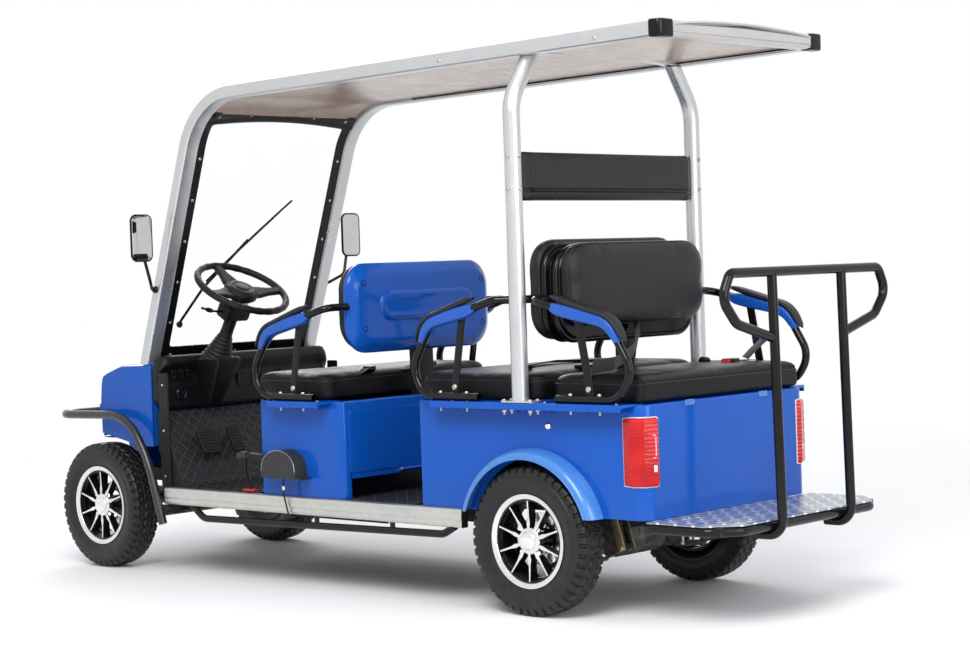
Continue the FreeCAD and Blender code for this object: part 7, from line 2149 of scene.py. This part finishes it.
def build_undercarriage():
    """Gold shackle plates and U-bolts on the springs, and the axle housing's ribs."""
    gold, steel = Solid(), Solid()
    for x in (-0.3, 0.3):
        for at, top_at in ((0.263, 0.236), (-0.263, -0.263)):
            for side in (-0.0245, 0.0245):
                line = np.array([(x + side, at, 0.207), (x + side, top_at, 0.302)])
                gold.capped(swept(line, rounded_box(0.002, 0.0145, 0.0012), Y_AXIS)[:, ::-1])
                gold.spun([(0.0075, 0.0), (0.0075, 0.006), (0.006, 0.0075), (0.002, 0.0075)],
                          (x + side * 1.08, at, 0.214), (np.sign(side), 0, 0), 12)
        for y in (-0.046, 0.046):
            bolt = filleted([(x - 0.028, y, 0.15), (x - 0.028, y, 0.2755), (x + 0.028, y, 0.2755),
                             (x + 0.028, y, 0.15)], [0, 0.026, 0.026, 0], 8)
            steel.bar(bolt, circle(0.0048, 12), Y_AXIS)
            for side in (-0.028, 0.028):
                steel.bar([(x + side, y, 0.1495), (x + side, y, 0.1425)], circle(0.0085, 6), Y_AXIS)
    gold.piece("shackle_plates", "gold_plate", slot="dark_steel", sharp=40)
    steel.piece("spring_u_bolts", "bolt", slot="dark_steel")
    ribs = Solid()
    for r, x in ((0.0935, -0.02), (0.0775, 0.06), (0.0775, 0.11), (0.0775, 0.16)):
        y, z = (0.0, WHEEL_Z) if x < 0 else (0.128, 0.243)
        ribs.spun([(r - 0.004, -0.004), (r, -0.003), (r, 0.003), (r - 0.004, 0.004)], (x, y, z), X_AXIS, 40)
    ribs.piece("drive_ribs", "dark_steel", slot="dark_steel")


LOCK_Y = 0.067


def build_body_hardware():
    """Locks, hinge tabs, shelf bolts, and small clips on the painted bodies."""
    brass = Solid()
    round_lock(brass, (BODY_HALF + 0.0002, LOCK_Y, 0.598), X_AXIS, 0.011)
    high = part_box("seat_box_door")[1]
    round_lock(brass, (0.0, high[1] - AXLE_Y, 0.6), Y_AXIS, 0.0105, 0.004)
    brass.piece("body_locks", "chrome", slot="dark_steel")
    tabs = Solid()
    ring = rounded_box(0.023, 0.0075, 0.003, 3)
    for x in (-0.184, 0.205):
        tabs.tiers(ring, standing(0.448, 0.664, x), ((1.0, 0.0), (1.0, 0.0042), (0.94, 0.0052), (0.6, 0.0054)))
        tabs.bar([(x - 0.021, 0.4512, 0.6715), (x + 0.021, 0.4512, 0.6715)], circle(0.003, 10))
    # The tabs take the lip paint, whose lighter blue is a painted highlight.
    tabs.piece("lid_hinge_tabs", "lip", slot="blue_paint")
    bolts = Solid()
    for y in (-0.3, -0.235, 0.09, 0.375):
        bolt_head(bolts, (0.47, y, BODY_TOP + 0.003), Z_AXIS, 0.005, 0.003)
        bolts.bar([(0.47, y, 0.6708), (0.47, y, 0.66)], circle(0.003, 8), X_AXIS)
    for y in (-1.16, -0.94):
        bolt_head(bolts, (0.47, y, BOX_TOP + 0.003), Z_AXIS, 0.005, 0.003)
    for z in (0.36, 0.53, 0.7):
        bolt_head(bolts, (BODY_HALF + 0.0046, -1.82, z), X_AXIS, 0.0048, 0.0024)
    bolts.pair("body_bolts", "bolt", slot="dark_steel")


CARRIED = {
    "frame_rails": "frame_black", "cross_members": "frame_black", "wheel_liners": "rubber",
    "battery_block": "smooth_plastic",
    "knuckle_left": "dark_steel", "knuckle_right": "dark_steel", "tie_rod": "dark_steel", "front_axle": "dark_steel",
    "rear_axle": "dark_steel", "rear_springs": "spring_steel", "front_springs": "spring_steel",
}


def dress_nodes():
    """Gives every CAD node its finish, also those that a piece stands for."""
    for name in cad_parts:
        node = bpy.data.objects.get(name)
        if node is None or node.type != "MESH":
            continue
        material = look(CARRIED.get(name, "plastic"))
        if not node.data.materials:
            node.data.materials.append(material)
        for slot in node.material_slots:
            slot.material = material


# Stage

def build_stage():
    """Pale floor that fades out, soft lamps, a white surround and the photograph's camera."""
    scene = bpy.context.scene
    mesh = bpy.data.meshes.new("ground")
    span = 14.0
    mesh.from_pydata([(-span, -span, 0), (span, -span, 0), (span, span, 0), (-span, span, 0)], [], [(0, 1, 2, 3)])
    ground = bpy.data.objects.new("ground", mesh)
    bpy.context.collection.objects.link(ground)
    material, tree, shader = new_material("pale_floor")
    place = tree.place()
    cloud = tree.noise(place, 3.0, 3.0)
    colour = tree.mix(cloud, (0.9, 0.9, 0.9, 1), (0.93, 0.93, 0.93, 1))
    away = tree.add("ShaderNodeVectorMath", {0: place}, out=1, operation="LENGTH")
    tree.fill(shader, {"Base Color": colour, "Roughness": 0.9, "Alpha": tree.smooth(away, 6.5, 2.4)})
    mesh.materials.append(material)

    world = bpy.data.worlds.new("surround")
    scene.world = world
    world.use_nodes = True
    tree = Tree(world.node_tree)
    back = world.node_tree.nodes["Background"]
    back.inputs["Color"].default_value = (1, 1, 1, 1)
    back.inputs["Strength"].default_value = 1.0
    soft = world.node_tree.nodes.new("ShaderNodeBackground")
    gradient = tree.add("ShaderNodeSeparateXYZ", {0: tree.add("ShaderNodeTexCoord", out=0)}, out=2)
    sky = tree.mix(tree.smooth(gradient, -0.2, 0.9), (0.55, 0.56, 0.58, 1), (0.95, 0.97, 1.0, 1))
    world.node_tree.links.new(sky, soft.inputs["Color"])
    soft.inputs["Strength"].default_value = 0.75
    rays = world.node_tree.nodes.new("ShaderNodeLightPath")
    seen = tree.math("ADD", rays.outputs["Is Camera Ray"], rays.outputs["Is Transmission Ray"], clamp=True)
    seen = tree.math("ADD", seen, rays.outputs["Is Glossy Ray"], clamp=True)
    mixed = world.node_tree.nodes.new("ShaderNodeMixShader")
    world.node_tree.links.new(seen, mixed.inputs[0])
    world.node_tree.links.new(soft.outputs[0], mixed.inputs[1])
    world.node_tree.links.new(back.outputs[0], mixed.inputs[2])
    world.node_tree.links.new(mixed.outputs[0], world.node_tree.nodes["World Output"].inputs["Surface"])

    for name, spot, aim, size, power in (
            ("key", (4.5, 3.0, 5.0), (0, 0.2, 0.6), 3.5, 330.0),
            ("fill", (1.0, 6.0, 2.4), (0, 0.5, 0.7), 3.5, 120.0),
            ("front", (-3.5, -5.0, 4.0), (0, -0.5, 0.8), 4.0, 140.0)):
        data = bpy.data.lights.new(name, "AREA")
        data.shape = "DISK"
        data.size = size
        data.energy = power
        lamp = bpy.data.objects.new(name, data)
        lamp.location = spot
        lamp.rotation_euler = (Vector(aim) - Vector(spot)).to_track_quat("-Z", "Y").to_euler()
        bpy.context.collection.objects.link(lamp)
    build_camera()
    scene.view_settings.view_transform = "Standard"


def build_camera():
    """Camera at the photograph's place: yaw about Z, then pitch, then roll, focal length in pixels."""
    yaw, pitch, roll, focal = 0.8292, 0.0281, -0.0333, 2106.06
    away = Vector((math.sin(yaw) * math.cos(pitch), math.cos(yaw) * math.cos(pitch), math.sin(pitch)))
    right = Vector(Z_AXIS).cross(away).normalized()
    up = away.cross(right)
    across = right * math.cos(roll) + up * math.sin(roll)
    above = up * math.cos(roll) - right * math.sin(roll)
    centre = across * -0.4573 + above * 0.9 + away * 6.9503
    data = bpy.data.cameras.new("photo_view")
    data.sensor_width = 36.0
    data.lens = focal * data.sensor_width / PHOTO_WIDTH
    camera = bpy.data.objects.new("photo_view", data)
    matrix = Matrix.Identity(4)
    for row in range(3):
        matrix[row][0], matrix[row][1], matrix[row][2] = across[row], above[row], away[row]
        matrix[row][3] = centre[row]
    matrix[1][3] += AXLE_Y
    camera.matrix_world = matrix
    bpy.context.collection.objects.link(camera)
    bpy.context.scene.camera = camera


# Operators, panel and run


class CART_OT_floor(bpy.types.Operator):
    """Builds the floor pan, its quilted mats and the toe board sides."""
    bl_idname = "cart.floor"
    bl_label = "Floor"

    def execute(self, context):
        build_floor()
        build_toe_sides()
        return {"FINISHED"}


class CART_OT_sides(bpy.types.Operator):
    """Builds the sills, the bars under them and the door post trims."""
    bl_idname = "cart.sides"
    bl_label = "Sills and bars"

    def execute(self, context):
        build_sills()
        build_side_bars()
        build_side_trims()
        return {"FINISHED"}


class CART_OT_body(bpy.types.Operator):
    """Builds the rear body, its arch flares and the side shelves."""
    bl_idname = "cart.body"
    bl_label = "Rear body"

    def execute(self, context):
        build_rear_body()
        build_shelves()
        return {"FINISHED"}


class CART_OT_seat_box(bpy.types.Operator):
    """Builds the front seat box and its rear flap."""
    bl_idname = "cart.seat_box"
    bl_label = "Front seat box"

    def execute(self, context):
        build_seat_box()
        build_door()
        return {"FINISHED"}


class CART_OT_cowl(bpy.types.Operator):
    """Builds the front cowl and the linings of its arches."""
    bl_idname = "cart.cowl"
    bl_label = "Front cowl"

    def execute(self, context):
        build_cowl()
        return {"FINISHED"}


class CART_OT_dash(bpy.types.Operator):
    """Builds the dashboard, the column's boot and the stalk."""
    bl_idname = "cart.dash"
    bl_label = "Dashboard"

    def execute(self, context):
        build_dashboard()
        return {"FINISHED"}


class CART_OT_steering(bpy.types.Operator):
    """Builds the steering wheel on its column."""
    bl_idname = "cart.steering"
    bl_label = "Steering wheel"

    def execute(self, context):
        build_steering_wheel()
        return {"FINISHED"}


class CART_OT_cushions(bpy.types.Operator):
    """Builds the three seat cushions with their piping."""
    bl_idname = "cart.cushions"
    bl_label = "Seat cushions"

    def execute(self, context):
        build_cushion("front_seat_cushion", "front_cushion", "front_cushion", -1.306, -0.942, 0.6583, 0.745,
                      (0.02, 0.06))
        build_cushion("middle_seat_cushion", "middle_cushion", "chassis", -0.49, 0.028, 0.6743, 0.757, (0.02, 0.06))
        build_cushion("rear_seat_cushion", "rear_cushion", "rear_cushion", 0.058, 0.438, 0.6743, 0.752, (0.06, 0.02))
        return {"FINISHED"}


class CART_OT_back_pads(bpy.types.Operator):
    """Builds the three padded backrests."""
    bl_idname = "cart.back_pads"
    bl_label = "Back pads"

    def execute(self, context):
        panel_pad("front_back_pad", "front_backrest_pad", 0.36, 0.823, 1.128, 0.095, -0.95, -0.9123, 0.012)
        panel_pad("middle_back_pad", "middle_backrest", 0.366, 0.858, 1.186, 0.09, -0.06, -0.008, 0.014)
        panel_pad("rear_back_pad", "rear_backrest", 0.352, 0.9, 1.172, 0.085, 0.114, 0.062, 0.014)
        return {"FINISHED"}


class CART_OT_back_shells(bpy.types.Operator):
    """Builds the painted and the black shells behind the pads and their foot plates."""
    bl_idname = "cart.back_shells"
    bl_label = "Back shells"

    def execute(self, context):
        build_front_shell()
        build_seat_brackets()
        build_rear_shells()
        return {"FINISHED"}


class CART_OT_armrests(bpy.types.Operator):
    """Builds the three pairs of armrests with their pads."""
    bl_idname = "cart.armrests"
    bl_label = "Armrests"

    def execute(self, context):
        for arm in ARMS:
            build_armrest(arm)
        return {"FINISHED"}


class CART_OT_belts(bpy.types.Operator):
    """Builds the belts and buckles of each bench."""
    bl_idname = "cart.belts"
    bl_label = "Lap belts"

    def execute(self, context):
        build_belts()
        return {"FINISHED"}


class CART_OT_roof(bpy.types.Operator):
    """Builds the side mouldings, the roof skin, its beams and posts."""
    bl_idname = "cart.roof"
    bl_label = "Roof"

    def execute(self, context):
        build_roof_sides()
        build_roof_panel()
        build_roof_posts()
        return {"FINISHED"}


class CART_OT_headrest(bpy.types.Operator):
    """Builds the padded bar between the roof posts."""
    bl_idname = "cart.headrest"
    bl_label = "Headrest"

    def execute(self, context):
        build_headrest()
        return {"FINISHED"}


class CART_OT_screen(bpy.types.Operator):
    """Builds the windshield frame, its pane and the wiper."""
    bl_idname = "cart.screen"
    bl_label = "Windshield"

    def execute(self, context):
        build_windshield()
        build_wiper()
        return {"FINISHED"}


class CART_OT_mirrors(bpy.types.Operator):
    """Builds both door mirrors on their arms."""
    bl_idname = "cart.mirrors"
    bl_label = "Mirrors"

    def execute(self, context):
        build_mirrors()
        return {"FINISHED"}


class CART_OT_guard(bpy.types.Operator):
    """Builds the bent tube round the nose."""
    bl_idname = "cart.guard"
    bl_label = "Front guard"

    def execute(self, context):
        build_guard()
        return {"FINISHED"}


class CART_OT_rear_step(bpy.types.Operator):
    """Builds the rear step and the handrail behind it."""
    bl_idname = "cart.rear_step"
    bl_label = "Rear step"

    def execute(self, context):
        build_rear_step()
        build_handrail()
        return {"FINISHED"}


class CART_OT_lamps(bpy.types.Operator):
    """Builds the tail lamps and the head lamps."""
    bl_idname = "cart.lamps"
    bl_label = "Lamps"

    def execute(self, context):
        build_tail_lamps()
        build_head_lamps()
        return {"FINISHED"}


class CART_OT_controls(bpy.types.Operator):
    """Builds the parking brake, its cable and the pedals."""
    bl_idname = "cart.controls"
    bl_label = "Controls"

    def execute(self, context):
        build_parking_brake()
        build_cable()
        build_pedals()
        return {"FINISHED"}


class CART_OT_wheels(bpy.types.Operator):
    """Builds the tyres, rims, hub caps and brake discs."""
    bl_idname = "cart.wheels"
    bl_label = "Wheels"

    def execute(self, context):
        for name, side, y in WHEELS:
            build_wheel(name, side, y)
        return {"FINISHED"}


class CART_OT_undercarriage(bpy.types.Operator):
    """Builds the spring shackles, the U-bolts and the drive's ribs."""
    bl_idname = "cart.undercarriage"
    bl_label = "Undercarriage"

    def execute(self, context):
        build_undercarriage()
        return {"FINISHED"}


class CART_OT_hardware(bpy.types.Operator):
    """Builds the locks, hinge tabs and bolts on the painted bodies."""
    bl_idname = "cart.hardware"
    bl_label = "Body hardware"

    def execute(self, context):
        build_body_hardware()
        return {"FINISHED"}


class CART_OT_finishes(bpy.types.Operator):
    """Gives every carried-over node its finish."""
    bl_idname = "cart.finishes"
    bl_label = "Frame finishes"

    def execute(self, context):
        dress_nodes()
        return {"FINISHED"}


class CART_OT_stage(bpy.types.Operator):
    """Builds the floor, the lamps, the surround and the camera."""
    bl_idname = "cart.stage"
    bl_label = "Stage"

    def execute(self, context):
        build_stage()
        return {"FINISHED"}


OPERATORS = (
    CART_OT_floor, CART_OT_sides, CART_OT_body, CART_OT_seat_box, CART_OT_cowl, CART_OT_dash,
    CART_OT_steering, CART_OT_cushions, CART_OT_back_pads, CART_OT_back_shells, CART_OT_armrests,
    CART_OT_belts, CART_OT_roof, CART_OT_headrest, CART_OT_screen, CART_OT_mirrors, CART_OT_guard,
    CART_OT_rear_step, CART_OT_lamps, CART_OT_controls, CART_OT_wheels, CART_OT_undercarriage,
    CART_OT_hardware, CART_OT_finishes, CART_OT_stage,
)


class CART_PT_panel(bpy.types.Panel):
    """Lists the cart's builders and the sizes and colours that they read."""
    bl_idname = "CART_PT_panel"
    bl_label = "Cart"
    bl_space_type = "VIEW_3D"
    bl_region_type = "UI"
    bl_category = "Cart"

    def draw(self, context):
        for group in (context.scene.cart_sizes, context.scene.cart_colours):
            for name in group.bl_rna.properties.keys():
                if name not in {"rna_type", "name"}:
                    self.layout.prop(group, name)
        for kind in OPERATORS:
            self.layout.operator(kind.bl_idname)


CLASSES = (CartSizes, CartColours, CART_PT_panel) + OPERATORS


def register():
    """Adds the cart's classes and its two groups of properties."""
    for kind in CLASSES:
        bpy.utils.register_class(kind)
    bpy.types.Scene.cart_sizes = PointerProperty(type=CartSizes)
    bpy.types.Scene.cart_colours = PointerProperty(type=CartColours)


def unregister():
    """Takes them out again."""
    del bpy.types.Scene.cart_colours
    del bpy.types.Scene.cart_sizes
    for kind in reversed(CLASSES):
        bpy.utils.unregister_class(kind)


def main():
    """Builds every group in order."""
    register()
    for kind in OPERATORS:
        call = getattr(bpy.ops.cart, kind.bl_idname.split(".")[1])
        if call() != {"FINISHED"}:
            raise RuntimeError(kind.bl_label + " did not finish")


if __name__ == "__main__":
    main()
